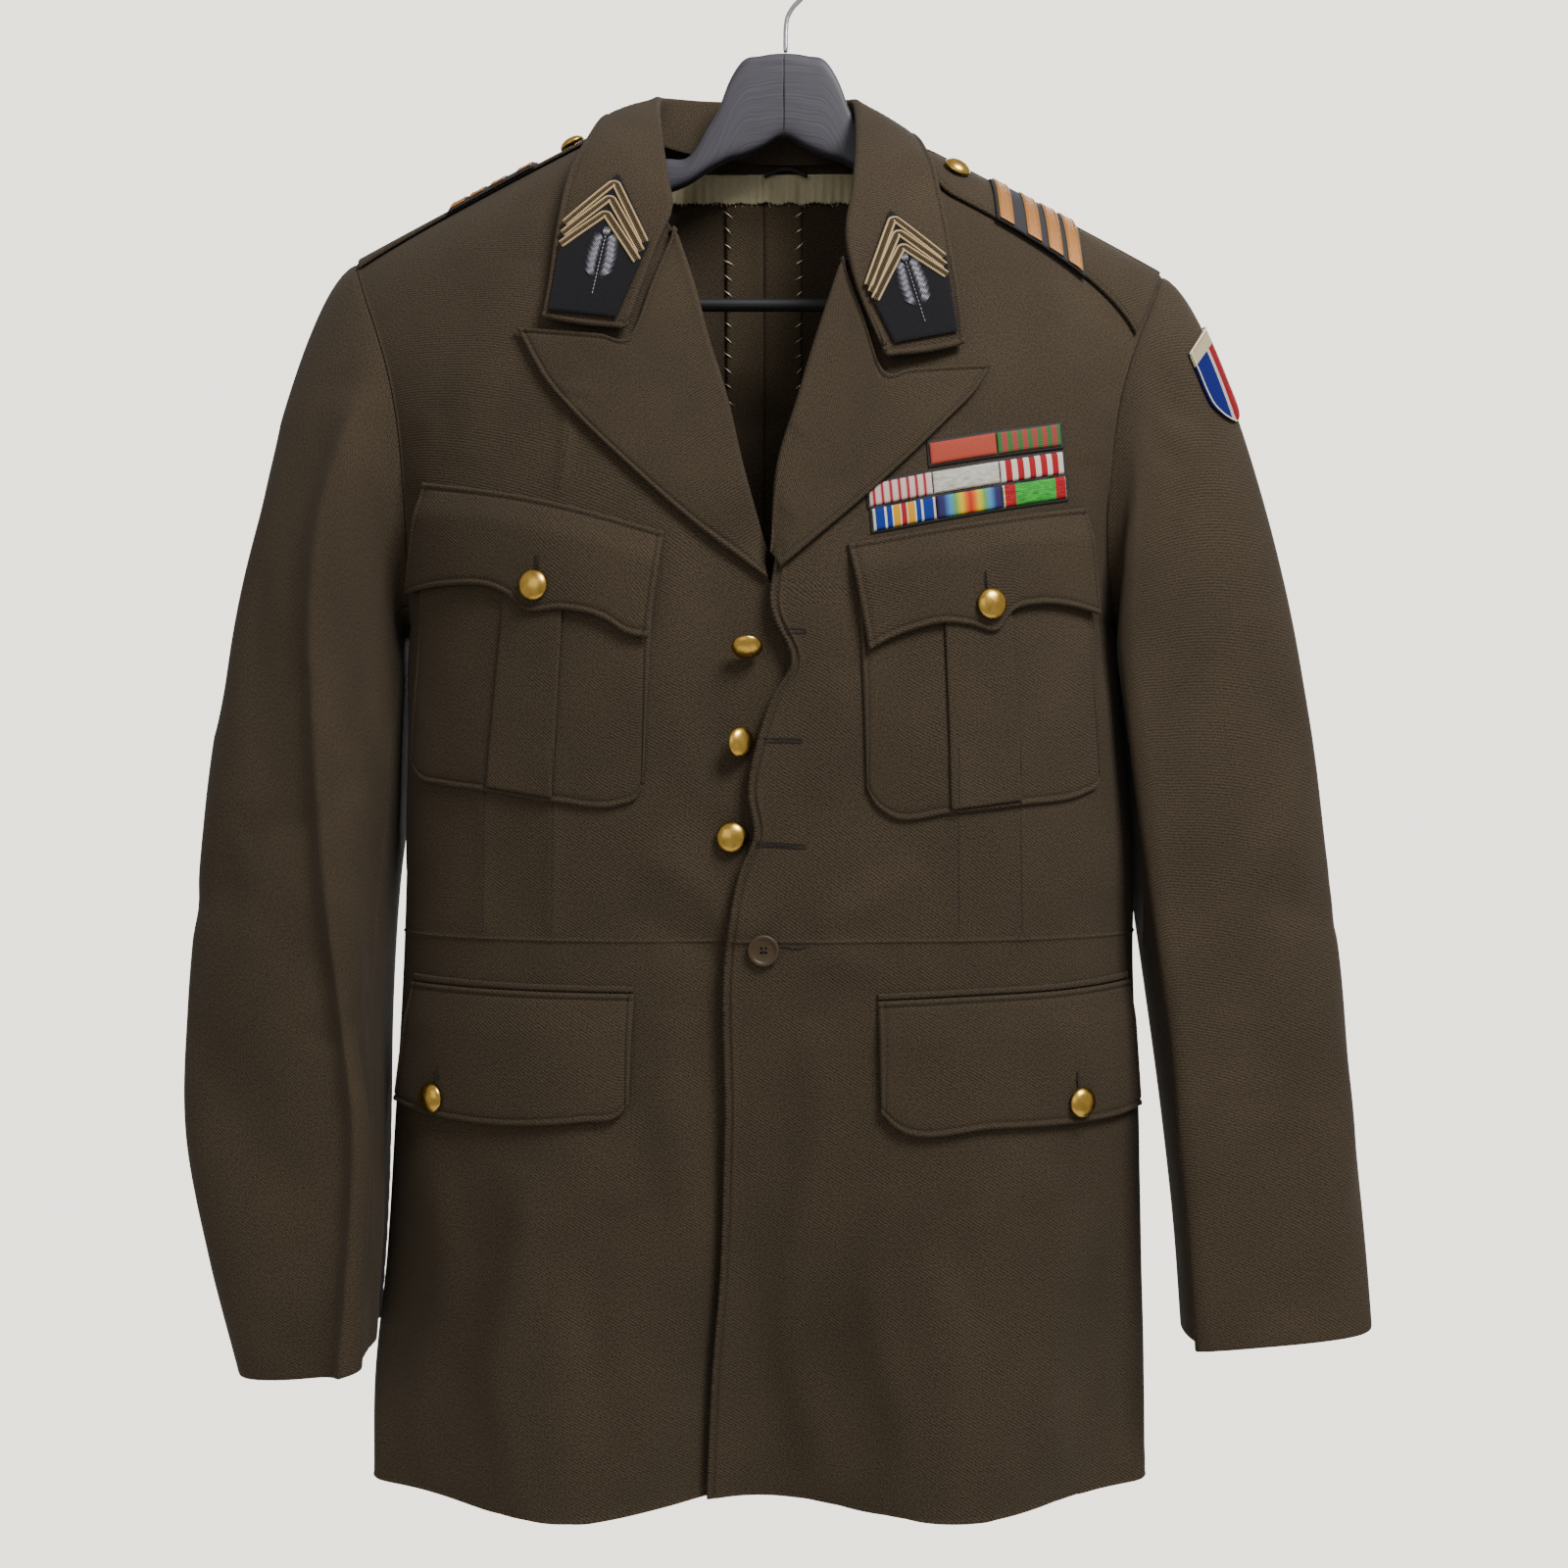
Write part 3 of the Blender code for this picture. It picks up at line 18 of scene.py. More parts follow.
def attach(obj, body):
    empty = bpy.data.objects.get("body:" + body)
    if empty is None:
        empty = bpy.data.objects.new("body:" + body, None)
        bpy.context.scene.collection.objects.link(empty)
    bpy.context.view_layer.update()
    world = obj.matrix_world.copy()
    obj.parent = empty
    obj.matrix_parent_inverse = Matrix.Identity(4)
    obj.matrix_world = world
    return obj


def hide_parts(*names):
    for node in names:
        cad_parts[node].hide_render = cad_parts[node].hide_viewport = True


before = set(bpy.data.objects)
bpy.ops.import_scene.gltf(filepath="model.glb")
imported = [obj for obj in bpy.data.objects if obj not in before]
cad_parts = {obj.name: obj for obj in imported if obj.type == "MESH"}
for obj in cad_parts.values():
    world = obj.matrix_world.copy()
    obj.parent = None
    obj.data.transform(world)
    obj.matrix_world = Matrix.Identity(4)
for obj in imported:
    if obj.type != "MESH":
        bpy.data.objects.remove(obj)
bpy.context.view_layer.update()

# %% [markdown]
# Colours are read off as sRGB hex values, as a paint card gives them. Blender's shaders
# work in linear light, so one function turns them. One more adds a node with its
# settings and links, which is all that a procedural material needs.


# %% Colours and nodes
def colour(code, strength=1.0):
    """An sRGB hex colour as linear red, green, blue and alpha."""
    parts = [int(code[k:k + 2], 16) / 255 for k in (1, 3, 5)]
    linear = [p / 12.92 if p <= 0.04045 else ((p + 0.055) / 1.055) ** 2.4 for p in parts]
    return tuple(p * strength for p in linear) + (1.0,)


def add_node(tree, kind, inputs=None, **settings):
    """A node with its settings, whose inputs are values or the sockets that feed them."""
    made = tree.nodes.new("ShaderNode" + kind)
    for name, value in settings.items():
        setattr(made, name, value)
    for socket, value in (inputs or {}).items():
        if isinstance(value, bpy.types.NodeSocket):
            tree.links.new(value, made.inputs[socket])
        else:
            made.inputs[socket].default_value = value
    return made


def finish_named(name, **surface):
    """A new material, its node tree and its shader, with the shader's plain values set."""
    made = bpy.data.materials.new(name)
    made.use_nodes = True
    shader = made.node_tree.nodes["Principled BSDF"]
    for socket, value in surface.items():
        shader.inputs[socket.replace("_", " ")].default_value = value
    return made, made.node_tree, shader


def surface_of(tree, shader, tone, height=None, strength=0.0, distance=0.0):
    """Links a tone to a shader's colour, and a pattern's height to its relief."""
    tree.links.new(tone, shader.inputs["Base Color"])
    if height is not None:
        bump = add_node(tree, "Bump", {"Height": height, "Strength": strength, "Distance": distance})
        tree.links.new(bump.outputs[0], shader.inputs["Normal"])


# %% [markdown]
# Many finishes follow one pattern of noise: it shares out a dark and a light tone, and may
# also set the gloss and the relief. The pattern lies on the piece's UVs, which are in
# metres, or on its Object coordinates, and may be stretched one way.


# %% A finish from one pattern
def patterned(name, on, noise, tones=None, stretch=None, spread=None, gloss=None, relief=None, **surface):
    """A finish whose tones, gloss and relief follow one noise on UV or Object coordinates."""
    made, tree, shader = finish_named(name, **surface)
    source = add_node(tree, "UVMap", uv_map="UVMap") if on == "UV" else add_node(tree, "TexCoord")
    place = source.outputs[on]
    if stretch:
        place = add_node(tree, "Mapping", {"Vector": place, "Scale": stretch}).outputs[0]
    pattern = add_node(tree, "TexNoise", {"Vector": place, **noise}).outputs[0]
    share = pattern
    if spread:
        low, high = spread
        share = add_node(tree, "MapRange", {"Value": pattern, "From Min": low, "From Max": high}).outputs[0]
    if tones:
        mixed = add_node(tree, "Mix", {0: share, 6: tones[0], 7: tones[1]}, data_type="RGBA").outputs[2]
        surface_of(tree, shader, mixed, pattern if relief else None, *(relief or ()))
    if gloss:
        low, high = gloss
        rough = add_node(tree, "MapRange", {"Value": pattern, "To Min": low, "To Max": high}).outputs[0]
        tree.links.new(rough, shader.inputs["Roughness"])
    return made


# %% [markdown]
# The tunic is cut from wool twill: worsted threads a little lighter and darker than each
# other, woven so that fine ribs climb across the cloth. A wave gives the ribs; noise gives
# the mixed fibres and the worn places. Real ribs are about 0.8 mm apart. They are drawn
# 1.5 mm apart, so that they show.

# %% Wool twill
RIB_PITCH = 0.0015  # metres
WAVE_PERIOD = 2 * pi / 20  # of a wave texture at scale 1
TWILL_ANGLE = radians(-58)
RIB_SHARE = 0.42  # how much of the light tone the ribs bring, beside the fibres


def wool_twill(name, shade, light):
    """Wool twill: a matt, fibrous cloth with diagonal ribs and a faint sheen."""
    made, tree, shader = finish_named(
        name, Roughness=0.88, Sheen_Weight=0.03, Sheen_Roughness=0.45, Specular_IOR_Level=0.15
    )
    cloth_uv = add_node(tree, "UVMap", uv_map="UVMap").outputs["UV"]
    turned = add_node(tree, "Mapping", {"Vector": cloth_uv, "Rotation": (0, 0, TWILL_ANGLE)}).outputs[0]
    rib = add_node(tree, "TexWave", {
        "Vector": turned, "Scale": WAVE_PERIOD / RIB_PITCH, "Distortion": 1.6, "Detail": 2.0,
        "Detail Scale": 1.5,
    }, bands_direction="X").outputs["Fac"]
    fibres = add_node(tree, "TexNoise", {"Vector": cloth_uv, "Scale": 900.0, "Detail": 3.0}).outputs[0]
    worn = add_node(tree, "TexNoise", {"Vector": cloth_uv, "Scale": 14.0, "Detail": 4.0}).outputs[0]
    woven = add_node(tree, "Math", {0: rib, 1: RIB_SHARE}, operation="MULTIPLY").outputs[0]
    speckle = add_node(tree, "MapRange", {
        "Value": fibres, "From Min": 0.35, "From Max": 0.65, "To Min": 0.0, "To Max": 0.55,
    }).outputs[0]
    share = add_node(tree, "Math", {0: woven, 1: speckle}, operation="ADD").outputs[0]
    tones = {0: share, 6: colour(shade), 7: colour(light)}
    threads = add_node(tree, "Mix", tones, data_type="RGBA").outputs[2]
    patchy = add_node(tree, "MapRange", {
        "Value": worn, "From Min": 0.3, "From Max": 0.7, "To Min": 0.86, "To Max": 1.12,
    }).outputs[0]
    mixed = add_node(tree, "Mix", {0: 1.0, 6: threads, 7: patchy}, data_type="RGBA", blend_type="MULTIPLY")
    relief = add_node(tree, "Math", {0: rib, 1: fibres}, operation="ADD").outputs[0]
    surface_of(tree, shader, mixed.outputs[2], relief, 0.30, 0.0004)
    return made


TWILL = wool_twill("wool_twill", "#19150E", "#43382A")
TWILL_INSIDE = wool_twill("wool_twill_wrong_side", "#251F16", "#4C4131")
print("twill ribs every", RIB_PITCH * 1000, "mm")

# %% [markdown]
# The sewing thread is a dark brown polyester, a touch glossier than the wool. The catch
# stitches inside and the frayed threads are undyed cotton. Fine noise breaks both as a
# thread's twist does.
#
# The collar patches are black wool felt: fibres pressed together with no weave, so a
# short, directionless nap over a nearly black ground, and a little blue in the highlights.
#
# The neck is lined with olive satin. Its long floats of thread lie one way, so it has a
# soft, streaked gloss where the wool beside it is matt.


# %% Threads, felt and satin
def thread(name, tone, gloss):
    """Sewing thread, a little darker and lighter by turns along its twist."""
    tones = (colour(tone, 0.65), colour(tone, 1.30))
    twist = {"Scale": 2600.0, "Detail": 1.0}
    return patterned(name, "Object", twist, tones, Roughness=gloss, Specular_IOR_Level=0.35)


BROWN_THREAD = thread("brown_polyester_thread", "#1B1610", 0.6)
COTTON_THREAD = thread("undyed_cotton_thread", "#DDD2B8", 0.8)
FELT_BLACK = patterned(
    "black_wool_felt", "UV", {"Scale": 700.0, "Detail": 5.0}, (colour("#060607"), colour("#17171B")),
    relief=(0.5, 0.0006), Roughness=0.95, Sheen_Weight=0.05, Sheen_Roughness=0.5, Specular_IOR_Level=0.15,
)
SATIN = patterned(
    "olive_satin", "UV", {"Scale": 4.0, "Detail": 3.0}, (colour("#7C7458"), colour("#A69C78")),
    stretch=(300, 60, 1), Roughness=0.42, Sheen_Weight=0.1,
)
print("sewing and lining:", [finish.name for finish in (BROWN_THREAD, COTTON_THREAD, FELT_BLACK, SATIN)])

# %% [markdown]
# Lace, braid and wire embroidery are metal thread: a thin strip of gilt or silvered metal
# wound round a core, so half a metal and half a yarn. The wave shows the rows of thread.


# %% Metal thread
def metal_thread(name, tone, shade, metallic, gloss, pitch):
    """Lace or braid of wound metal thread, with its rows a pitch apart."""
    made, tree, shader = finish_named(name, Roughness=gloss, Metallic=metallic)
    place = add_node(tree, "UVMap", uv_map="UVMap").outputs["UV"]
    rows = add_node(tree, "TexWave", {
        "Vector": place, "Scale": WAVE_PERIOD / pitch, "Distortion": 0.6,
    }, bands_direction="X").outputs["Fac"]
    picks = add_node(tree, "TexNoise", {"Vector": place, "Scale": 1500.0, "Detail": 2.0}).outputs[0]
    share = add_node(tree, "Math", {0: rows, 1: picks}, operation="MULTIPLY").outputs[0]
    lit = add_node(tree, "MapRange", {"Value": share, "From Max": 0.6}).outputs[0]
    mixed = add_node(tree, "Mix", {0: lit, 6: colour(shade), 7: colour(tone)}, data_type="RGBA")
    surface_of(tree, shader, mixed.outputs[2], share, 0.6, 0.0003)
    return made


GOLD_LACE = metal_thread("gold_lace", "#C07C26", "#5C3810", 0.25, 0.5, 0.0011)
CREAM_BRAID = metal_thread("pale_gold_braid", "#BDA477", "#5C4A30", 0.15, 0.55, 0.0011)
SILVER_WIRE = metal_thread("silver_wire_embroidery", "#E0DEE4", "#807E88", 0.35, 0.42, 0.0008)
BLACK_TAPE = metal_thread("black_petersham", "#1B1A20", "#0B0A0E", 0.0, 0.8, 0.0008)
print("metal thread:", [lace.name for lace in (GOLD_LACE, CREAM_BRAID, SILVER_WIRE, BLACK_TAPE)])

# %% [markdown]
# The medal ribbons are silk, each with its own stripes across its width. A colour ramp
# with hard steps holds the stripes, and the ribbon's UV runs from 0 to 1 across them. Fine
# cross ribs give the silk its grosgrain, and moire ribbons get a watered pattern.

# %% Ribbon stripes
Silk = namedtuple("Silk", "name stripes watered edges", defaults=(0.0, "CONSTANT"))
WHITE, BLUE, YELLOW, RED = "#D0CABB", "#0E2F84", "#CC9420", "#A01A22"
PALE_RED, PALE_GREEN = "#C98684", "#BFC79A"
LINED_RED = ((0.0, PALE_RED), (0.014, "#9C2430"), (0.048, PALE_RED), (0.062, "#C8B9B2"))
RAINBOW = [(0.00, "#2A2148"), (0.11, "#2E2C60"), (0.20, "#4C86B4"), (0.28, "#5A9A50"), (0.37, "#D8B820"),
           (0.44, "#D2641C"), (0.50, "#B8241C")]
RIBBON_SILKS = {
    "ribbon_1_1": Silk("coral_silk", [(0.0, "#A84636")]),
    "ribbon_1_2": Silk("green_and_red_silk", [(k / 13, ("#3F6A36", "#9A3E3E")[k % 2]) for k in range(13)]),
    "ribbon_2_1": Silk("red_lined_silk", [(0.0, "#C8B9B2")] + [
        (0.05 + k * 0.132 + step, tone) for k in range(7) for step, tone in LINED_RED
    ]),
    "ribbon_2_2": Silk("white_watered_silk", [(0.0, "#BEBBAE")], 0.6),
    "ribbon_2_3": Silk("red_striped_silk", [(0.0, WHITE)] + [
        (0.08 + k * 0.18 + step, tone) for k in range(5) for step, tone in ((0.0, RED), (0.095, WHITE))
    ]),
    "ribbon_3_1": Silk("many_striped_silk", [
        (0.0, WHITE), (0.05, BLUE), (0.19, WHITE), (0.225, BLUE), (0.305, WHITE), (0.325, YELLOW),
        (0.43, WHITE), (0.45, RED), (0.53, WHITE), (0.55, YELLOW), (0.66, WHITE), (0.68, BLUE),
        (0.755, WHITE), (0.79, BLUE), (0.95, "#CFB8A8"),
    ]),
    "ribbon_3_2": Silk("rainbow_silk", RAINBOW + [(1 - place, tone) for place, tone in RAINBOW[-2::-1]],
                       0.0, "LINEAR"),
    "ribbon_3_3": Silk("green_watered_silk", [
        (0.0, PALE_GREEN), (0.03, RED), (0.19, "#369A36"), (0.81, RED), (0.98, PALE_GREEN),
    ], 0.8),
}
print("ribbons:", len(RIBBON_SILKS))


# %% Ribbon silk
def striped(ramp, stripes, edges):
    """Sets a colour ramp's stripes, as places from 0 to 1 and their colours."""
    ramp.interpolation = edges
    for place, tone in stripes[1:]:
        ramp.elements.new(place)
    while len(ramp.elements) > len(stripes):
        ramp.elements.remove(ramp.elements[-1])
    for element, (place, tone) in zip(ramp.elements, stripes):
        element.position = place
        element.color = colour(tone)


def ribbon_silk(row):
    """Striped ribbon: stripes by the share of its width, over fine cross ribs."""
    made, tree, shader = finish_named(row.name, Roughness=0.70, Specular_IOR_Level=0.12)
    width = add_node(tree, "UVMap", uv_map="width").outputs["UV"]
    metric = add_node(tree, "UVMap", uv_map="UVMap").outputs["UV"]
    across = add_node(tree, "SeparateXYZ", {"Vector": width}).outputs["X"]
    stripes = add_node(tree, "ValToRGB", {"Fac": across})
    striped(stripes.color_ramp, row.stripes, row.edges)
    ribs = add_node(tree, "TexWave", {
        "Vector": metric, "Scale": WAVE_PERIOD / 0.0010, "Distortion": 0.4,
    }, bands_direction="Y").outputs["Fac"]
    wide = add_node(tree, "Mapping", {"Vector": metric, "Scale": (60, 260, 1)}).outputs[0]
    waves = {"Vector": wide, "Scale": 3.0, "Detail": 5.0, "Distortion": 1.2}
    water = add_node(tree, "TexNoise", waves).outputs[0]
    low = 1 - 0.45 * row.watered
    watered = add_node(tree, "MapRange", {
        "Value": water, "From Min": 0.35, "From Max": 0.65, "To Min": low, "To Max": 2 - low,
    }).outputs[0]
    silk = add_node(tree, "MapRange", {"Value": ribs, "To Min": 0.55, "To Max": 0.82}).outputs[0]
    value = add_node(tree, "Math", {0: watered, 1: silk}, operation="MULTIPLY").outputs[0]
    both = {0: 1.0, 6: stripes.outputs[0], 7: value}
    mixed = add_node(tree, "Mix", both, data_type="RGBA", blend_type="MULTIPLY")
    surface_of(tree, shader, mixed.outputs[2], ribs, 0.4, 0.0002)
    return made


# %% [markdown]
# The sleeve shield is dense satin-stitch embroidery on a cloth ground: a bare cream band
# across the top, then upright bands of blue, white and red. Its second UV map runs from 0
# to 1 across and down the shield, so the bands stay put on the curve of the sleeve.

# %% Embroidered shield
BAND_FOOT = 0.80  # the share of the shield's height below its plain top band
SHIELD_BANDS = [(0.0, "#0A1868"), (0.35, "#B8B4AE"), (0.43, "#8E0E1A")]


def satin_stitch():
    """The shield's embroidery: three bands below a plain one, over close rows of stitches."""
    made, tree, shader = finish_named("satin_stitch_embroidery", Roughness=0.80, Specular_IOR_Level=0.12)
    share = add_node(tree, "UVMap", uv_map="width").outputs["UV"]
    metric = add_node(tree, "UVMap", uv_map="UVMap").outputs["UV"]
    place = add_node(tree, "SeparateXYZ", {"Vector": share})
    bands = add_node(tree, "ValToRGB", {"Fac": place.outputs["X"]})
    striped(bands.color_ramp, SHIELD_BANDS, "CONSTANT")
    top = add_node(tree, "Math", {0: place.outputs["Y"], 1: BAND_FOOT}, operation="GREATER_THAN").outputs[0]
    tone = add_node(tree, "Mix", {0: top, 6: bands.outputs[0], 7: colour("#B9AC8C")}, data_type="RGBA")
    rows = add_node(tree, "TexWave", {
        "Vector": metric, "Scale": WAVE_PERIOD / 0.0009, "Distortion": 1.2, "Detail": 2.0,
    }, bands_direction="Y").outputs["Fac"]
    value = add_node(tree, "MapRange", {"Value": rows, "To Min": 0.52, "To Max": 0.84}).outputs[0]
    both = {0: 1.0, 6: tone.outputs[2], 7: value}
    mixed = add_node(tree, "Mix", both, data_type="RGBA", blend_type="MULTIPLY")
    surface_of(tree, shader, mixed.outputs[2], rows, 0.5, 0.0004)
    return made


SHIELD_CLOTH = satin_stitch()
print("shield:", SHIELD_CLOTH.name)

# %% [markdown]
# The hard pieces. The gilt buttons are stamped brass with a thin gold wash, worn and a
# little tarnished in the hollows. The waist button is moulded plastic that imitates horn.
# The hanger is beech under a charcoal stain that lets its long grain show. The hook is
# chromed steel wire.

# %% Hard finishes
GILT = patterned(
    "worn_gilt_brass", "Object", {"Scale": 260.0, "Detail": 5.0}, (colour("#8C6A26"), colour("#D0AC58")),
    gloss=(0.16, 0.40), relief=(0.08, 0.0003), Metallic=1.0, Roughness=0.24,
)
HORN = patterned(
    "imitation_horn_plastic", "Object", {"Scale": 3.0, "Detail": 4.0}, (colour("#1E160C"), colour("#43331D")),
    stretch=(60, 60, 260), Roughness=0.5, Specular_IOR_Level=0.3,
)
CHROME = patterned(
    "chromed_steel_wire", "Object", {"Scale": 400.0},
    gloss=(0.10, 0.30), Metallic=1.0, Roughness=0.18, Base_Color=colour("#B9B9BC"),
)


def stained_wood(name, shade, light, run):
    """Stained beech: long, fine grain along the wood's own run, matt and slightly open."""
    return patterned(
        name, "UV", {"Scale": 1.0, "Detail": 6.0, "Distortion": 0.6}, (colour(shade), colour(light)),
        stretch=run, spread=(0.36, 0.64), relief=(0.25, 0.0004), Roughness=0.55, Specular_IOR_Level=0.35,
    )


WOOD = stained_wood("charcoal_stained_beech", "#2A282F", "#39373F", (22, 800, 1))
BLACK_WOOD = stained_wood("black_painted_beech", "#0A090B", "#19181C", (14, 1100, 1))
print("materials:", len(bpy.data.materials))

# %% [markdown]
# The tunic's form. Its sizes and tables are those of the pattern: levels of the body,
# rings of the sleeves, lines of the lapels and stations of the collar. A smooth curve
# through each table gives any place between the rows.

# %% Sizes
RIGHT = -1  # the wearer's right side, at -X
LEFT = 1
SIDE_NAMES = {RIGHT: "right", LEFT: "left"}
CLOTH = 0.0020  # wool twill with its facing
OVERLAY = 0.0013  # pocket and flap cloth
FELT = 0.0012
RIBBON = 0.0010
SEAM = 0.0004  # between two pieces of cloth at a seam
LIFT = 0.0007  # under a piece that lies on another

HEM_Z = -0.912
WAIST_Z = -0.596
UNDERARM_Z = -0.420
BREAK_Z = -0.392  # where the lapels start to turn
NECK_HALF = 0.085
SHOULDER_SLOPE = 0.52
SHOULDER_TOP = -0.117
SHOULDER_LEAN = 0.005  # how much higher the right shoulder hangs, and lower the left
YOKE_HALF = 0.300
SHOULDER_SEAM_Y = 0.008
SQUARENESS = 2.5  # of the body's sections, where 2 is an ellipse
BACK_ARCH = 3  # of the back's rise over the shoulder, where 2 is an ellipse
BACK_NECK = 0.975  # the share of the yoke's height at which the back's neckline starts

ROLL_RADIUS = 0.0038  # of the lapel's turned edge
EDGE_LIFT = 0.0042  # of the lapel's face over the front, at its outer edge
COLLAR_RADIUS = 0.0032
FALL_FULLNESS = 0.0020  # how far the collar's fall bulges
LAP = 0.0042  # the left front lies this far out over the right one
UNDERLAP = 0.0034  # and the right one this far in

GILT_RADIUS = 0.0086
STRAP_BUTTON_RADIUS = 0.0080
WAIST_BUTTON_RADIUS = 0.0088

WIRE_RADIUS = 0.0015
HOOK_RADIUS = 0.0195
WOOD_HALF = 0.006
WOOD_Y = 0.003
UNDER_RIDGE = 0.0036  # from the top of the shoulder's cloth down to the wood
ARM_DEPTH = 0.024
BAR_RADIUS = 0.004

# %% Tables
# Sections of the body, from hem to underarm: the right and left outlines, and the
# depth of the centre front, the fullest part of each front, the side and the back.
Level = namedtuple("Level", "z right left middle full side back")
LEVELS = [Level(*row) for row in (
    (-0.912, -0.2385, 0.2100, -0.060, -0.108, -0.036, 0.052),
    (-0.860, -0.2392, 0.2106, -0.066, -0.107, -0.031, 0.050),
    (-0.785, -0.2337, 0.2105, -0.077, -0.104, -0.022, 0.046),
    (-0.702, -0.2300, 0.2102, -0.088, -0.102, -0.013, 0.043),
    (-0.608, -0.2259, 0.2076, -0.098, -0.102, -0.005, 0.040),
    (-0.560, -0.2252, 0.2090, -0.101, -0.104, 0.000, 0.042),
    (-0.500, -0.2240, 0.2050, -0.104, -0.108, 0.000, 0.047),
    (-0.420, -0.2215, 0.1960, -0.106, -0.110, 0.000, 0.055),
)]

# The armhole, by the angle round it from the shoulder (0) to the underarm (180):
# how far round the body it lies, where 0 is the centre and 1 the side.
Armhole = namedtuple("Armhole", "angle right left back")
ARMHOLES = [Armhole(*row) for row in (
    (0, 0.562, 0.546, 0.551),
    (45, 0.582, 0.560, 0.582),
    (90, 0.632, 0.593, 0.650),
    (135, 0.795, 0.725, 0.800),
    (180, 1.000, 1.000, 1.000),
)]

# The edge of each front below the break, and its neckline under the collar. Between
# them it runs beside the fold of the lapel. The right front runs on under the left.
FrontEdge = namedtuple("FrontEdge", "z x")
CLOSING = {
    RIGHT: [FrontEdge(*row) for row in (
        (-0.912, 0.004), (-0.779, 0.008), (-0.591, 0.012), (-0.430, 0.011), (-0.408, -0.002),
        (-0.388, -0.0150),
    )],
    LEFT: [FrontEdge(*row) for row in (
        (-0.912, -0.042), (-0.845, -0.039), (-0.779, -0.034), (-0.699, -0.031), (-0.591, -0.029),
        (-0.557, -0.022), (-0.540, -0.015), (-0.513, -0.018), (-0.484, -0.012), (-0.462, -0.004),
        (-0.447, 0.005), (-0.413, -0.006),
    )],
}
NECKLINE = {
    RIGHT: [FrontEdge(*row) for row in (
        (-0.187, -0.0735), (-0.166, -0.0785), (-0.141, -0.0855), (-0.117, -0.0870),
    )],
    LEFT: [FrontEdge(*row) for row in (
        (-0.203, 0.0475), (-0.176, 0.0550), (-0.146, 0.0600), (-0.117, 0.0620),
    )],
}
NECK_MIDDLE = -0.015

# Rings of the sleeves: the outer and inner outline, the front and back depth, the
# place of the front crease and how far the inner side rises over the outer one.
Ring = namedtuple("Ring", "z outer inner front back crease rise")
SLEEVES = {
    RIGHT: [Ring(*row) for row in (
        (-0.440, -0.3300, -0.2215, -0.066, 0.055, -0.275, 0.000),
        (-0.500, -0.3384, -0.2245, -0.069, 0.050, -0.276, 0.000),
        (-0.570, -0.3444, -0.2320, -0.072, 0.044, -0.272, 0.000),
        (-0.640, -0.3491, -0.2345, -0.076, 0.035, -0.262, 0.002),
        (-0.710, -0.3469, -0.2335, -0.081, 0.024, -0.252, 0.005),
        (-0.770, -0.3314, -0.2311, -0.087, 0.012, -0.250, 0.009),
        (-0.836, -0.3110, -0.2325, -0.092, 0.002, -0.249, 0.009),
    )],
    LEFT: [Ring(*row) for row in (
        (-0.440, 0.3065, 0.1880, -0.066, 0.055, 0.206, 0.000),
        (-0.500, 0.3153, 0.1968, -0.068, 0.050, 0.214, 0.000),
        (-0.570, 0.3232, 0.2081, -0.070, 0.044, 0.222, 0.000),
        (-0.640, 0.3300, 0.2171, -0.073, 0.035, 0.230, 0.000),
        (-0.710, 0.3353, 0.2249, -0.076, 0.024, 0.236, -0.001),
        (-0.770, 0.3365, 0.2298, -0.080, 0.013, 0.240, -0.002),
        (-0.825, 0.3385, 0.2325, -0.083, 0.004, 0.243, -0.004),
    )],
}

# Each lapel by its fold, the line from the notch and its outer edge, as x and z
# from the top (0) to the break (1). The right one's point dies out over the left front, a
# little below its solid.
Lapel = namedtuple("Lapel", "along fold_x fold_z notch_x notch_z edge_x edge_z")
LAPELS = {
    RIGHT: [Lapel(*row) for row in (
        (0.00, -0.0610, -0.198, -0.0850, -0.264, -0.1490, -0.256),
        (0.16, -0.0500, -0.232, -0.0800, -0.283, -0.1340, -0.284),
        (0.34, -0.0410, -0.266, -0.0710, -0.307, -0.1160, -0.306),
        (0.52, -0.0320, -0.295, -0.0590, -0.329, -0.0920, -0.330),
        (0.76, -0.0220, -0.338, -0.0370, -0.362, -0.0500, -0.368),
        (1.00, -0.0095, -0.3830, -0.0098, -0.3905, -0.0085, -0.3985),
    )],
    LEFT: [Lapel(*row) for row in (
        (0.00, 0.0325, -0.2165, 0.0545, -0.2835, 0.1150, -0.2775),
        (0.16, 0.0250, -0.240, 0.0515, -0.296, 0.1060, -0.293),
        (0.34, 0.0150, -0.272, 0.0440, -0.313, 0.0900, -0.310),
        (0.52, 0.0070, -0.300, 0.0360, -0.331, 0.0700, -0.330),
        (0.76, -0.0040, -0.338, 0.0170, -0.357, 0.0360, -0.361),
        (1.00, -0.0070, -0.385, -0.0045, -0.389, -0.0020, -0.393),
    )],
}

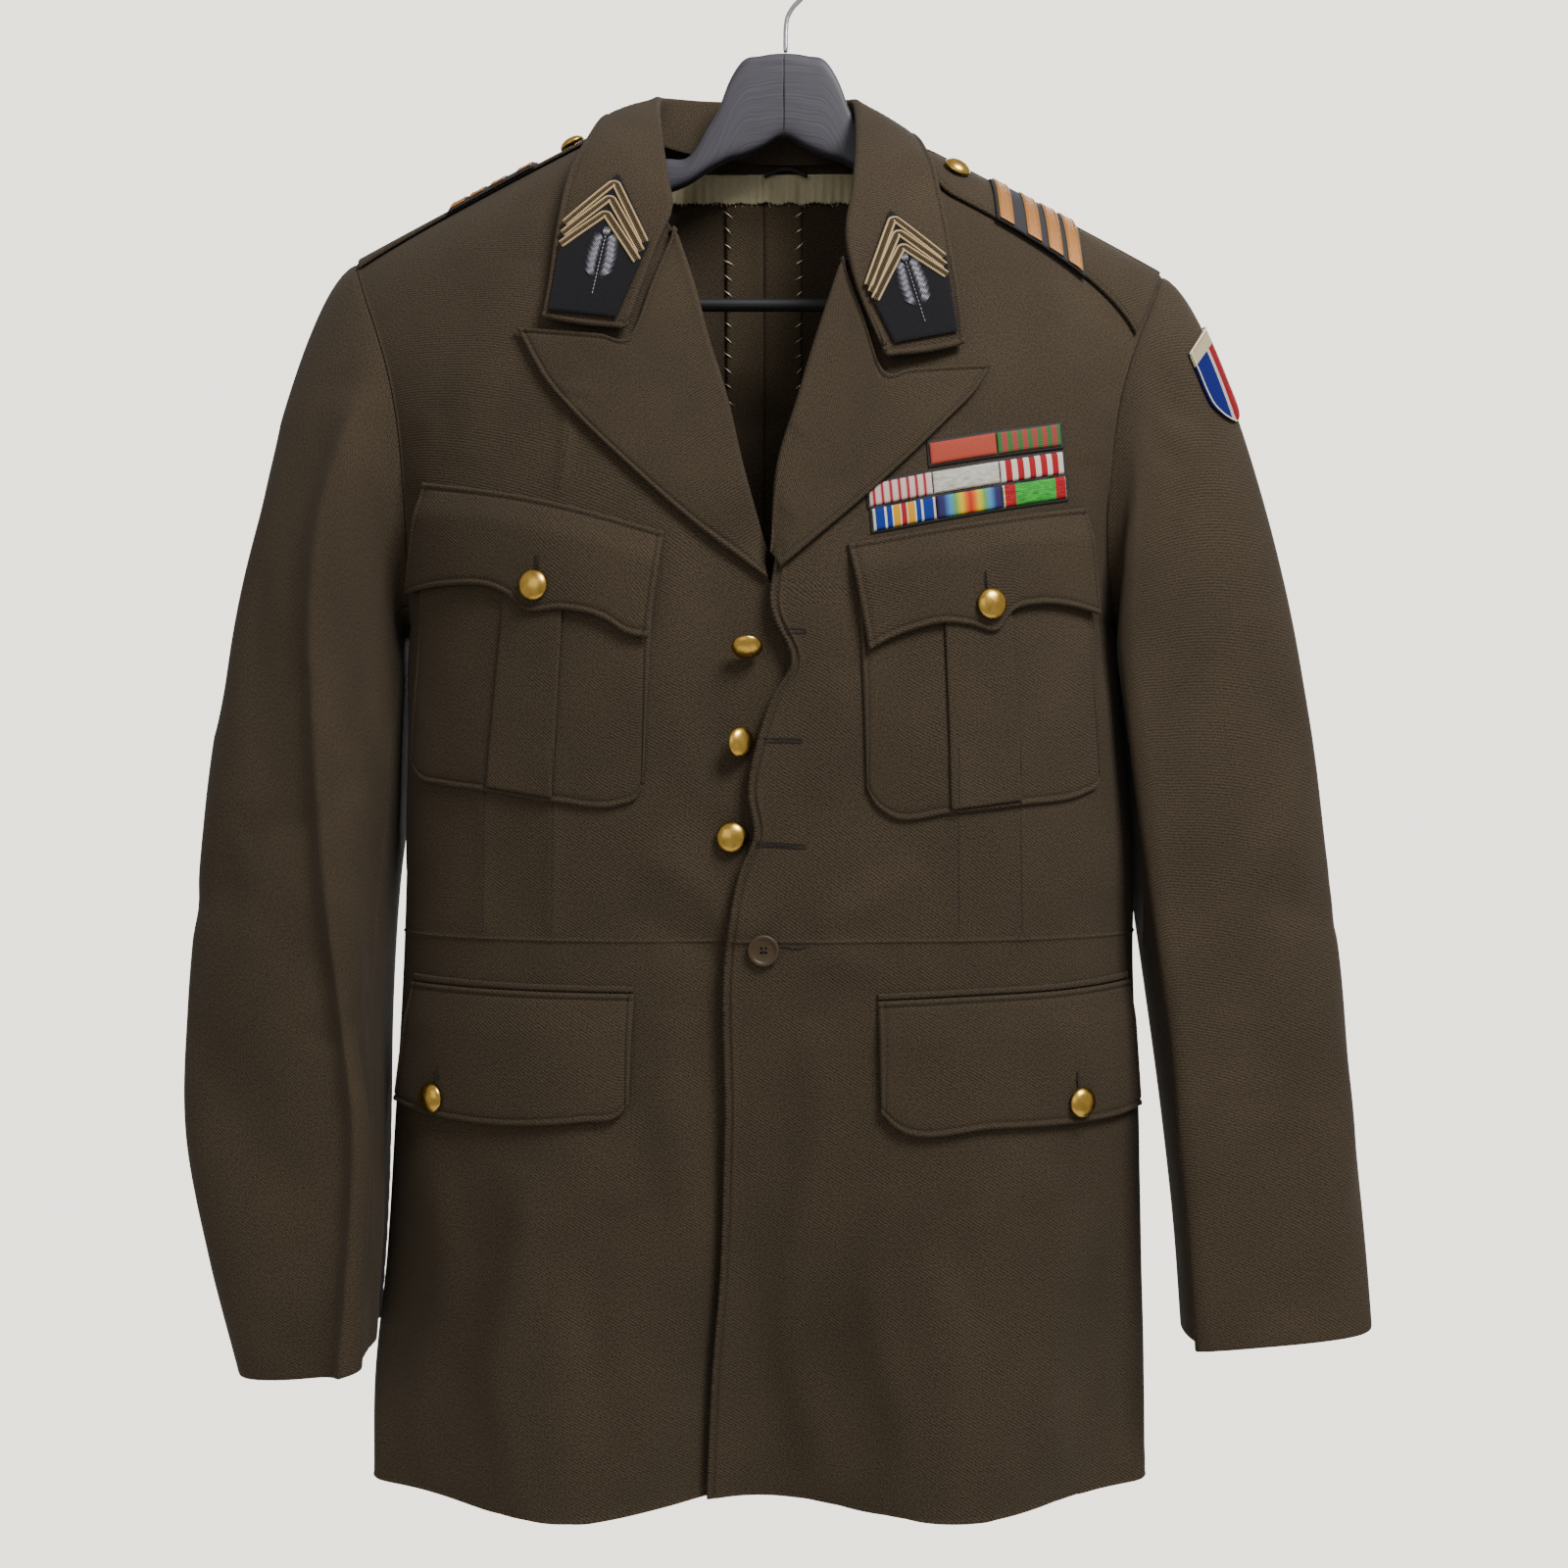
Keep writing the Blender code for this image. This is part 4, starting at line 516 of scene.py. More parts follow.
# The collar by the seam of its stand, its fold and its outer edge, from the centre
# back (0) round to its front end (1).
Station = namedtuple("Station", "along seam fold edge")
COLLARS = {
    RIGHT: [Station(*row) for row in (
        (0.00, (-0.017, 0.0218, -0.1275), (-0.017, 0.036, -0.084), (-0.017, 0.056, -0.134)),
        (0.18, (-0.053, 0.0197, -0.123), (-0.053, 0.032, -0.084), (-0.064, 0.051, -0.130)),
        (0.32, (-0.077, 0.0142, -0.118), (-0.073, 0.018, -0.088), (-0.093, 0.034, -0.116)),
        (0.44, (-0.082, 0.002, -0.115), (-0.0755, 0.000, -0.096), (-0.106, 0.003, -0.105)),
        (0.58, (-0.082, -0.030, -0.138), (-0.0710, -0.038, -0.131), (-0.116, -0.044, -0.138)),
        (0.72, (-0.075, -0.052, -0.168), (-0.0660, -0.063, -0.164), (-0.124, -0.064, -0.168)),
        (0.84, (-0.071, -0.064, -0.190), (-0.0630, -0.078, -0.190), (-0.129, -0.076, -0.205)),
        (0.92, (-0.074, -0.070, -0.204), (-0.0700, -0.085, -0.209), (-0.131, -0.084, -0.230)),
        (1.00, (-0.089, -0.090, -0.250), (-0.0870, -0.098, -0.260), (-0.134, -0.091, -0.252)),
    )],
    LEFT: [Station(*row) for row in (
        (0.00, (-0.017, 0.0218, -0.1275), (-0.017, 0.036, -0.084), (-0.017, 0.056, -0.134)),
        (0.18, (0.019, 0.0203, -0.128), (0.016, 0.032, -0.085), (0.028, 0.051, -0.134)),
        (0.32, (0.047, 0.0155, -0.126), (0.038, 0.018, -0.089), (0.060, 0.034, -0.126)),
        (0.44, (0.058, 0.002, -0.123), (0.0425, 0.000, -0.098), (0.076, 0.003, -0.117)),
        (0.58, (0.055, -0.030, -0.148), (0.0415, -0.040, -0.138), (0.085, -0.044, -0.146)),
        (0.72, (0.052, -0.052, -0.178), (0.0385, -0.064, -0.172), (0.090, -0.062, -0.176)),
        (0.84, (0.045, -0.068, -0.204), (0.0345, -0.084, -0.208), (0.095, -0.078, -0.215)),
        (0.92, (0.046, -0.076, -0.222), (0.0400, -0.092, -0.236), (0.098, -0.086, -0.240)),
        (1.00, (0.058, -0.094, -0.262), (0.0555, -0.102, -0.276), (0.100, -0.092, -0.267)),
    )],
}

# The hanger's wood, by distance from its middle. Past the last row an arm runs
# straight on to its end, where it carries the shoulder.
WoodRow = namedtuple("WoodRow", "out top bottom")
HANGER_HEAD = [WoodRow(*row) for row in (
    (0.000, -0.068, -0.118),
    (0.014, -0.0695, -0.125),
    (0.026, -0.0735, -0.130),
    (0.034, -0.087, -0.132),
    (0.039, -0.1005, -0.1345),
    (0.047, -0.1145, -0.139),
    (0.056, -0.1290, -0.145),
    (0.072, -0.1320, -0.152),
)]
ARM_END = 0.205
LEG_INSIDE = 0.166
LEG_BOTTOM = -0.231
BAR_Z = -0.2196
BAR_END = LEG_INSIDE - 0.0002 - SEAM


# %% Curves through the tables
def through(keys, values, at):
    """The smooth curve through a table's values, read at other places."""
    keys = np.asarray(keys, dtype=float)
    values = np.asarray(values, dtype=float)
    at = np.asarray(at, dtype=float)
    slopes = np.gradient(values, keys, axis=0)
    row = np.clip(np.searchsorted(keys, at) - 1, 0, len(keys) - 2)
    span = keys[row + 1] - keys[row]
    t = np.clip((at - keys[row]) / span, 0, 1)
    if values.ndim > 1:
        t, span = t[..., None], span[..., None]
    start = (2 * t**3 - 3 * t**2 + 1) * values[row] + (t**3 - 2 * t**2 + t) * span * slopes[row]
    end = (3 * t**2 - 2 * t**3) * values[row + 1] + (t**3 - t**2) * span * slopes[row + 1]
    return start + end


def read(table, key, value, at):
    """One column of a table, read at other places of another."""
    return through([getattr(row, key) for row in table], [getattr(row, value) for row in table], at)


def ease(t):
    """A smooth step from 0 to 1."""
    t = np.clip(t, 0, 1)
    return t * t * (3 - 2 * t)


def yoke_share(level):
    """0 at the underarm and below, 1 at the shoulder seam."""
    return np.clip((level - UNDERARM_Z) / (SHOULDER_TOP - UNDERARM_Z), 0, 1)


def body_line(level):
    """The middle and half width of the body's section at a level."""
    right = read(LEVELS, "z", "right", level)
    left = read(LEVELS, "z", "left", level)
    half = (left - right) / 2
    return (left + right) / 2, half + (YOKE_HALF - half) * yoke_share(level) ** 1.5


def round_at(side, level, x):
    """How far round the body a front point at x lies."""
    middle, half = body_line(level)
    share = np.clip((x - middle) * side / half, -1, 1)
    return np.sign(share) * np.arcsin(np.abs(share) ** (SQUARENESS / 2)) * 2 / pi


# %% [markdown]
# A section of the body is a rounded box rather than an ellipse, deeper in front where
# the chest and the pocket's padding push it out. Towards the shoulder the front and
# back arch in and meet, and the whole section slopes down from the neck.


# %% The body's surface
def body(side, turn, level):
    """A point of the body's outside: turn is 0 at the front, 1 at the side, 2 behind."""
    turn, level = np.broadcast_arrays(np.asarray(turn, float), np.asarray(level, float))
    middle, half = body_line(level)
    yoke = yoke_share(level)
    arch = np.where(turn < 1, (1 - yoke**2) ** (1 / 2), (1 - yoke**BACK_ARCH) ** (1 / BACK_ARCH))
    across = np.sign(np.sin(turn * pi / 2)) * np.abs(np.sin(turn * pi / 2)) ** (2 / SQUARENESS)
    inward = np.abs(np.cos(turn * pi / 2)) ** (2 / SQUARENESS)
    centre_y = read(LEVELS, "z", "middle", level)
    full_y = read(LEVELS, "z", "full", level)
    front_y = centre_y + (full_y - centre_y) * np.sin(pi * np.clip(np.abs(across), 0, 1)) ** 2
    back_y = read(LEVELS, "z", "back", level)
    side_y = read(LEVELS, "z", "side", level)
    line_y = SHOULDER_SEAM_Y + (np.where(turn < 1, front_y, back_y) - SHOULDER_SEAM_Y) * arch
    side_y = side_y + (SHOULDER_SEAM_Y - side_y) * yoke
    x = middle + side * half * across
    y = side_y + (line_y - side_y) * inward
    out = np.abs(x - middle)
    z = level - SHOULDER_SLOPE * yoke * np.maximum(out - NECK_HALF, 0)
    z = z - side * SHOULDER_LEAN * yoke * np.minimum(out / NECK_HALF, 1)
    return np.stack([x, y, z], axis=-1)


def unit(vectors):
    """Vectors drawn to a length of 1."""
    return vectors / np.maximum(np.linalg.norm(vectors, axis=-1, keepdims=True), 1e-12)


def normals(grid):
    """The unit normals of a grid of points."""
    along = np.gradient(grid, axis=0)
    across = np.gradient(grid, axis=1)
    straight = np.cross(across, along)
    return unit(straight)


def pointing(grid, towards):
    """A grid's normals, turned to point one way."""
    straight = normals(grid)
    return np.where((straight * np.asarray(towards)).sum(-1, keepdims=True) < 0, -straight, straight)


def tree_of(grids):
    """A tree of grids that later pieces are laid on."""
    points, faces = [], []
    for grid in grids:
        rows, columns = grid.shape[:2]
        first = len(points)
        points += [Vector(p) for p in grid.reshape(-1, 3)]
        for i in range(rows - 1):
            for j in range(columns - 1):
                a = first + i * columns + j
                faces.append((a, a + 1, a + columns + 1, a + columns))
    return BVHTree.FromPolygons(points, faces)


def met(tree, starts, way):
    """The points of a surface met when looking one way from an array of starts."""
    points = np.empty(starts.shape)
    for place in np.ndindex(starts.shape[:-1]):
        hit = tree.ray_cast(Vector(starts[place]), Vector(way))[0]
        if hit is None:
            raise ValueError(f"nothing is met from {starts[place].round(4)}")
        points[place] = hit
    return points


def seen_from(tree, x, z):
    """The points of a surface seen from the front at x and z."""
    return met(tree, np.stack([x, np.full(x.shape, -1.0), z], axis=-1), (0, 1, 0))


def on_surface(tree, x, z):
    """The point of a surface seen from the front at x and z, and the way out of it."""
    hit, straight, _, _ = tree.ray_cast(Vector((x, -1, z)), Vector((0, 1, 0)))
    if hit is None:
        raise ValueError(f"nothing lies behind {x:.4f}, {z:.4f}")
    return hit, straight if straight.y < 0 else -straight


def run_of(points):
    """The distances of a line's points along it."""
    return np.concatenate([[0], np.cumsum(np.linalg.norm(np.diff(points, axis=0), axis=1))])


def at_run(at, run, values):
    """A line's values at other distances along it."""
    return np.stack([np.interp(at, run, column) for column in values.T], axis=-1)


# %% [markdown]
# Cloth is laid out as a grid of points on the outside of a piece. Its rows and columns are
# set close together near the edges, where the cloth rolls under, and the edge's points are
# sunk by a small profile: a pressed seam only rounds off, and a stitched edge stands up as
# a roll, dips where the thread pulls it down and runs out flat.

# %% Edges
EDGE_PLACES = np.array([0, 0.0004, 0.0011, 0.0020, 0.0029, 0.0036, 0.0043, 0.0056])
SEAM_EDGE = ([0, 0.0004, 0.0011, 0.0020], [-0.0007, -0.00025, -0.00005, 0])
STITCHED_EDGE = (EDGE_PLACES, [-0.0009, -0.0001, 0.00045, 0.00050, -0.00005, -0.00070, -0.00028, 0])
EDGE_LIMITS = (-0.0011, 0.0006)  # how far an edge's points may sink and rise
STITCH_LINE = 0.0036
EDGE_NAMES = ("first_row", "last_row", "first_column", "last_column")


def from_edge(grid, edge):
    """The grid turned so that one of its edges is the first row."""
    return {
        "first_row": grid,
        "last_row": grid[::-1],
        "first_column": grid.swapaxes(0, 1),
        "last_column": grid[:, ::-1].swapaxes(0, 1),
    }[edge]


def reached(grid):
    """How far each point lies from the first row, along its column."""
    steps = np.linalg.norm(np.diff(grid, axis=0), axis=-1)
    return np.concatenate([np.zeros((1, grid.shape[1])), np.cumsum(steps, axis=0)])


def places_along(length, count):
    """Places from 0 to a length, close together at both ends."""
    ends = EDGE_PLACES * min(1.0, length / (3 * EDGE_PLACES[-1]))
    inner = np.linspace(ends[-1], length - ends[-1], max(count - 2 * len(ends) + 2, 3))
    return np.concatenate([ends[:-1], inner, (length - ends[:-1])[::-1]])


def spaced(grid, rows=None, columns=None):
    """The same surface with its rows, and its columns, set by distance from the edges."""
    if rows is not None:
        along = reached(grid)
        fitted = [
            at_run(places_along(run[-1], rows), run, grid[:, column]) for column, run in enumerate(along.T)
        ]
        grid = np.stack(fitted, axis=1)
    if columns is not None:
        grid = spaced(grid.swapaxes(0, 1), rows=columns).swapaxes(0, 1)
    return grid


def finer(grid, rows, columns):
    """A smooth surface through the points of a coarse grid."""
    for count in (rows, columns):
        lines = len(grid)
        fitted = through(np.arange(lines), grid.reshape(lines, -1), np.linspace(0, lines - 1, count))
        grid = fitted.reshape(count, -1, 3).swapaxes(0, 1)
    return grid


def edged(grid, straight=None, **styles):
    """Rounds or rolls the edges. A style for an edge is a pair of distances and heights."""
    straight = normals(grid) if straight is None else straight
    height = np.zeros(grid.shape[:2])
    for edge in EDGE_NAMES:
        distances, heights = styles.get(edge, SEAM_EDGE)
        near = np.interp(reached(from_edge(grid, edge)), distances, heights)
        height += from_edge_back(near, edge)
    return grid + straight * np.clip(height, *EDGE_LIMITS)[..., None]


def from_edge_back(values, edge):
    """Undoes from_edge for an array of values."""
    return {
        "first_row": values,
        "last_row": values[::-1],
        "first_column": values.swapaxes(0, 1),
        "last_column": values.swapaxes(0, 1)[:, ::-1],
    }[edge]


# %% [markdown]
# Creases are soft: a hanger and years of wear leave troughs and ridges, not knife folds.
# Each is a line with a width and a depth, and its ends fade out. Their places, lengths and
# depths are uneven, as they are on the real cloth.

# %% Creases
# A negative depth is a ridge. A pressed crease runs straight, with flat cloth up to a sharp edge. Its
# last numbers are the width of its steeper side, as a share of the other, and how far it bows.
Crease = namedtuple("Crease", "x0 z0 x1 z1 width depth pressed bow", defaults=(0, 0))
PRESSED_ROUND = 0.0005
PRESSED_END = 0.07  # the share of a pressed crease over which each end fades out
WANDER = 0.035  # how far a soft crease strays to the sides, as a share of its length


def creased(grid, creases, seen=None, straight=None):
    """Moves points in along troughs and out along ridges, given in a flat view of the piece."""
    seen = grid[..., [0, 2]] if seen is None else seen
    straight = normals(grid) if straight is None else straight
    amount = np.zeros(grid.shape[:2])
    for row in creases:
        start = np.array([row.x0, row.z0])
        run = np.array([row.x1, row.z1]) - start
        length = np.linalg.norm(run)
        t = (seen - start) @ run / length**2
        off = (seen - start) @ np.array([-run[1], run[0]]) / length
        if row.pressed:
            off -= row.bow * np.sin(pi * t)
            near = np.sqrt(off**2 + PRESSED_ROUND**2) / row.width / np.where(off < 0, row.pressed, 1)
            amount += row.depth * np.exp(-near) * np.clip(np.minimum(t, 1 - t) / PRESSED_END, 0, 1)
            continue
        off -= WANDER * length * np.sin(2.3 * pi * t + 40 * row.x0)
        fade = np.sqrt(np.clip(4 * t * (1 - t), 0, 1))
        amount += row.depth * np.exp(-((off / row.width) ** 2)) * fade
    return grid - straight * amount[..., None]


# %% [markdown]
# A piece of cloth is that grid with a Solidify modifier for its thickness. Its UVs are
# distances over the cloth in metres, so that every weave keeps its real scale. The
# widest row of its cut is measured too.

# %% A piece of cloth
collection = bpy.context.scene.collection
pieces_made = []
SUFFIXES = {"felt": "felt", "ribbon": "silk", "slide": "lace", "shield": "stitched", "lining": "satin"}


def uv_of(grid):
    """Distances in metres along the rows and columns, from the piece's middle."""
    across = reached(grid.swapaxes(0, 1)).swapaxes(0, 1)
    along = reached(grid)
    across = across - across[:, grid.shape[1] // 2][:, None]
    return np.stack([across, along.mean(axis=1)[:, None] + 0 * across], axis=-1)


def area_of(grid):
    """The area of a grid of quads."""
    one, two = grid[1:, 1:] - grid[:-1, :-1], grid[1:, :-1] - grid[:-1, 1:]
    return float(np.linalg.norm(np.cross(one, two), axis=-1).sum() / 2)


def grid_faces(rows, columns):
    """The corners of each quad of a grid of points."""
    corner = (np.arange(rows - 1)[:, None] * columns + np.arange(columns - 1)).reshape(-1)
    return np.stack([corner, corner + 1, corner + columns + 1, corner + columns], axis=1)


def facing(grid, towards):
    """The grid with its columns turned, if need be, so that its normals point one way."""
    return grid if (normals(grid) * np.asarray(towards)).sum() > 0 else grid[:, ::-1]


def mesh_of(name, points, faces, finish):
    """A smooth mesh object made from points and faces."""
    mesh = bpy.data.meshes.new(name)
    mesh.from_pydata(points.reshape(-1, 3).tolist(), [], faces)
    mesh.materials.append(finish)
    mesh.shade_smooth()
    thing = bpy.data.objects.new(name, mesh)
    collection.objects.link(thing)
    return thing


def add_uv(mesh, name, values):
    """A UV map from a value for each of the mesh's points."""
    layer = mesh.uv_layers.new(name=name)
    corners = np.empty(len(mesh.loops), dtype=np.int32)
    mesh.loops.foreach_get("vertex_index", corners)
    layer.data.foreach_set("uv", values.reshape(-1, 2)[corners].astype(np.float32).reshape(-1))


def choose(thing):
    """Selects one object alone."""
    bpy.ops.object.select_all(action="DESELECT")
    bpy.context.view_layer.objects.active = thing
    thing.select_set(True)


def apply_all(thing):
    """Applies an object's modifiers in their order."""
    choose(thing)
    for modifier in list(thing.modifiers):
        bpy.ops.object.modifier_apply(modifier=modifier.name)


def on_tunic(piece, replaced=None):
    """Says what a finished piece rides on and stands for, and lists it."""
    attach(piece, "root")
    if replaced:
        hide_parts(*replaced)
    pieces_made.append(piece)
    return piece


def cloth_piece(name, grid, finish=TWILL, thick=CLOTH, slot="cloth", replaced=None, cut=None,
                shares=None):
    """A sheet of cloth through a grid of points on its outer side."""
    rows, columns = grid.shape[:2]
    piece = mesh_of(f"{name}_{SUFFIXES.get(slot, 'cloth')}", grid, grid_faces(rows, columns).tolist(), finish)
    add_uv(piece.data, "UVMap", uv_of(grid))
    if shares is not None:
        add_uv(piece.data, "width", shares)
    wall = piece.modifiers.new("wall", "SOLIDIFY")
    wall.thickness = thick
    wall.offset = -1
    wall.use_even_offset = False
    apply_all(piece)
    on_tunic(piece, replaced if replaced is not None else (name,))
    plain = grid if cut is None else cut
    width = max(reached(plain.swapaxes(0, 1))[-1])
    return piece


# %% [markdown]
# The fronts. Each upper front runs from the waist seam over the chest to the shoulder, and
# its inner edge follows the fold of the lapel. The skirts are cut on from the waist seam to
# the hem. The left front laps over the right one below the break, and its free edge waves
# where the buttons have pulled it.

# %% Fronts and skirts
SEAM_TURN = 0.0017  # a seam's half width, as a share of the way round the body
CENTRE_SEAM_TURN = 0.00008


def armhole_turn(share, column):
    """How far round the body the armhole lies, by the share of the yoke's height."""
    angle = np.degrees(np.arccos(np.clip(2 * share - 1, -1, 1)))
    return read(ARMHOLES, "angle", column, angle)


def lapped(side, grid):
    """Lays the left front over the right one along the closing."""
    # The lap fades out over 45 mm above the break, and on each front towards the side.
    below = 1 - ease((grid[..., 2] - BREAK_Z - 0.005) / 0.045)
    grid = grid.copy()
    if side == RIGHT:
        grid[..., 1] += UNDERLAP * below * ease((grid[..., 0] + 0.065) / 0.03)
    else:
        grid[..., 1] -= LAP * below * (1 - ease((grid[..., 0] - 0.016) / 0.05))
    return grid


def front_grid(side, levels, columns=90):
    """Rows of a front, from its inner edge to the side seam or the armhole."""
    beside_fold = side * (ROLL_RADIUS + SEAM)
    upward = np.linspace(1, 0, 13)
    fold_z, fold_x = (read(LAPELS[side], "along", name, upward) for name in ("fold_z", "fold_x"))
    folded = [FrontEdge(z, x + beside_fold) for z, x in zip(fold_z, fold_x)]
    edges = CLOSING[side] + folded + NECKLINE[side]
    share = yoke_share(levels)
    inner = read(edges, "z", "x", levels)
    start = round_at(side, levels, inner)
    end = np.where(share > 0, armhole_turn(share, SIDE_NAMES[side]), 1.0) - SEAM_TURN
    across = np.linspace(0, 1, columns)
    return lapped(side, body(side, start[:, None] + (end - start)[:, None] * across, levels[:, None]))


def over_shoulder(count):
    """Levels from the underarm to the shoulder seam, closer together where the cloth turns."""
    share = 1 - (1 - np.linspace(0, 1, count)) ** 2.4
    return UNDERARM_Z + np.minimum(share, 0.99999) * (SHOULDER_TOP - UNDERARM_Z)


FRONT_CREASES = [Crease(*row) for row in (
    # The chest: a long soft hollow beside each lapel and drags towards the underarm.
    (-0.150, -0.215, -0.185, -0.330, 0.016, 0.0022),
    (-0.196, -0.300, -0.206, -0.345, 0.010, 0.0016),
    (-0.222, -0.385, -0.208, -0.560, 0.012, 0.0022),
    (-0.114, -0.285, -0.124, -0.347, 0.004, 0.0008),
    (0.150, -0.225, 0.166, -0.330, 0.014, 0.0020),
    (0.176, -0.290, 0.188, -0.350, 0.008, 0.0014),
    (0.190, -0.400, 0.186, -0.575, 0.011, 0.0020),
    # The waist: ridges and hollows that fan out from the fastened button.
    (-0.012, -0.592, -0.078, -0.548, 0.010, 0.0022),
    (-0.020, -0.604, -0.095, -0.580, 0.008, -0.0012),
    (0.016, -0.590, 0.074, -0.556, 0.009, 0.0020),
    (0.012, -0.606, 0.080, -0.612, 0.010, 0.0014),
    (-0.030, -0.530, -0.064, -0.470, 0.011, 0.0016),
    (0.022, -0.520, 0.036, -0.450, 0.010, 0.0014),
    # The skirts: slack that hangs in long, uneven waves.
    (-0.052, -0.635, -0.064, -0.905, 0.015, 0.0046),
    (-0.098, -0.740, -0.107, -0.912, 0.012, -0.0030),
    (-0.148, -0.720, -0.152, -0.912, 0.013, 0.0036),
    (-0.192, -0.710, -0.204, -0.905, 0.014, 0.0030),
    (0.010, -0.640, 0.014, -0.912, 0.014, 0.0036),
    (0.056, -0.730, 0.060, -0.912, 0.012, 0.0028),
    (0.098, -0.735, 0.110, -0.912, 0.013, -0.0028),
    (0.150, -0.722, 0.156, -0.912, 0.012, 0.0036),
    (0.188, -0.715, 0.196, -0.900, 0.010, -0.0018),
)]
# Darts below the breast pockets, and the one over the right pocket: x and z of both ends.
DARTS = [
    (-0.166, -0.490, -0.168, -0.598), (-0.126, -0.490, -0.128, -0.598), (0.095, -0.490, 0.096, -0.599),
    (0.130, -0.490, 0.132, -0.599), (-0.113, -0.290, -0.124, -0.352),
]
FRONT_CREASES += [Crease(*ends, 0.0040, 0.0013, 1) for ends in DARTS]
front_grids, laid_on = {}, []
for side in (RIGHT, LEFT):
    upper_levels = np.concatenate([np.linspace(WAIST_Z, UNDERARM_Z, 60)[:-1], over_shoulder(110)])
    skirt_levels = np.linspace(HEM_Z, WAIST_Z - SEAM, 90)
    for part, levels, rows in (("front", upper_levels, 140), ("skirt", skirt_levels, 90)):
        name = f"{part}_{SIDE_NAMES[side]}"
        plain = spaced(front_grid(side, levels), rows, 110)
        straight = normals(plain) * -side
        shaped = creased(plain, FRONT_CREASES, straight=straight)
        own = STITCHED_EDGE if side == LEFT else SEAM_EDGE
        shaped = edged(shaped, normals(shaped) * -side, first_column=own)
        front_grids[name] = facing(shaped, (0, -1, 0))
        cloth_piece(name, front_grids[name], cut=plain)
        laid_on.append(front_grids[name])
    levels = HEM_Z + (SHOULDER_TOP - HEM_Z) * np.linspace(0, 1, 150)[:, None]
    whole = lapped(side, body(side, np.linspace(0, 1, 80), levels))
    sunk = creased(whole, FRONT_CREASES, straight=normals(whole) * -side)
    laid_on.append(sunk + np.array([0, 0.0002, 0]))
front_tree = tree_of(laid_on)
print("fronts and skirts:", [piece.name for piece in pieces_made])

# %% [markdown]
# The back is two panels with a centre seam. They carry the same kind of slack as the
# fronts: drags below the shoulder blades, a hollow at the waist and long waves in the
# skirt.

# %% Backs
BACK_CREASES = [Crease(*row) for row in (
    (-0.175, -0.260, -0.120, -0.420, 0.018, 0.0024),
    (-0.060, -0.200, -0.090, -0.330, 0.016, -0.0014),
    (0.150, -0.250, 0.090, -0.430, 0.018, 0.0026),
    (0.045, -0.190, 0.060, -0.350, 0.014, -0.0014),
    (-0.205, -0.440, -0.150, -0.610, 0.014, 0.0024),
    (0.176, -0.430, 0.128, -0.600, 0.013, 0.0024),
    (-0.090, -0.560, -0.030, -0.622, 0.013, 0.0018),
    (0.070, -0.575, 0.012, -0.618, 0.012, 0.0016),
    (-0.160, -0.640, -0.172, -0.912, 0.016, 0.0040),
    (-0.105, -0.660, -0.100, -0.912, 0.013, -0.0026),
    (-0.050, -0.640, -0.052, -0.912, 0.014, 0.0034),
    (0.030, -0.655, 0.026, -0.912, 0.013, 0.0032),
    (0.085, -0.650, 0.092, -0.912, 0.014, -0.0026),
    (0.140, -0.640, 0.152, -0.912, 0.015, 0.0040),
    (-0.015, -0.150, -0.015, -0.905, 0.0030, 0.0006),
)]


def back_grid(side, levels, columns=80):
    """Rows of a back panel, from the centre seam to the side seam or the armhole."""
    rows = []
    for level in levels:
        share = float(yoke_share(level))
        end = float(armhole_turn(share, "back")) if share > 0 else 1.0
        start = 2 - CENTRE_SEAM_TURN
        if share > BACK_NECK:
            wide = abs(NECKLINE[side][-1].x - NECK_MIDDLE)
            out = wide * ((share - BACK_NECK) / (1 - BACK_NECK)) ** 0.5
            start = 2 - max(float(round_at(side, level, NECK_MIDDLE + side * out)), CENTRE_SEAM_TURN)
        end = 2 - end + SEAM_TURN
        rows.append(body(side, start + (end - start) * np.linspace(0, 1, columns), level))
    return np.array(rows)


back_grids = {}
for side in (RIGHT, LEFT):
    levels = np.concatenate([np.linspace(HEM_Z, UNDERARM_Z, 100)[:-1], over_shoulder(110)])
    name = f"back_{SIDE_NAMES[side]}"
    plain = spaced(back_grid(side, levels), 170, 56)
    shaped = creased(plain, BACK_CREASES, straight=normals(plain) * side)
    shaped = edged(shaped, normals(shaped) * side)
    back_grids[name] = facing(shaped, (0, 1, 0))
    cloth_piece(name, back_grids[name], cut=plain)
print("backs:", [round(area_of(grid), 3) for grid in back_grids.values()], "square metres")

# %% [markdown]
# A two-piece sleeve: the wide top sleeve carries the front crease, and the under sleeve
# closes it behind. The cap is eased into the armhole. The rings that follow hang a little
# forward, and soft breaks cross the elbow and the front crease.

# %% Sleeves
BODY_CLEARANCE = 0.0050
CAP_FULLNESS = 0.35
UNDERARM_FULLNESS = 0.8
SLEEVE_SQUARE = 0.8
FRONT_SEAM = 152  # degrees round the sleeve from its outer side, by the front
BACK_SEAM = 292
SPLIT = 0.2  # the half width of both seams, in degrees
CLEAR_BY = 0.32  # the share of the cap over which the clearance of the body grows


def armhole_point(side, angle):
    """A point of the armhole's edge, by the angle round it from the shoulder."""
    by_front = angle <= 180
    fold = np.where(by_front, angle, 360 - angle)
    share = (1 + np.cos(np.radians(fold))) / 2
    level = UNDERARM_Z + share * (SHOULDER_TOP - UNDERARM_Z)
    front = read(ARMHOLES, "angle", SIDE_NAMES[side], fold)
    back = 2 - read(ARMHOLES, "angle", "back", fold)
    return body(side, np.where(by_front, front, back), level)


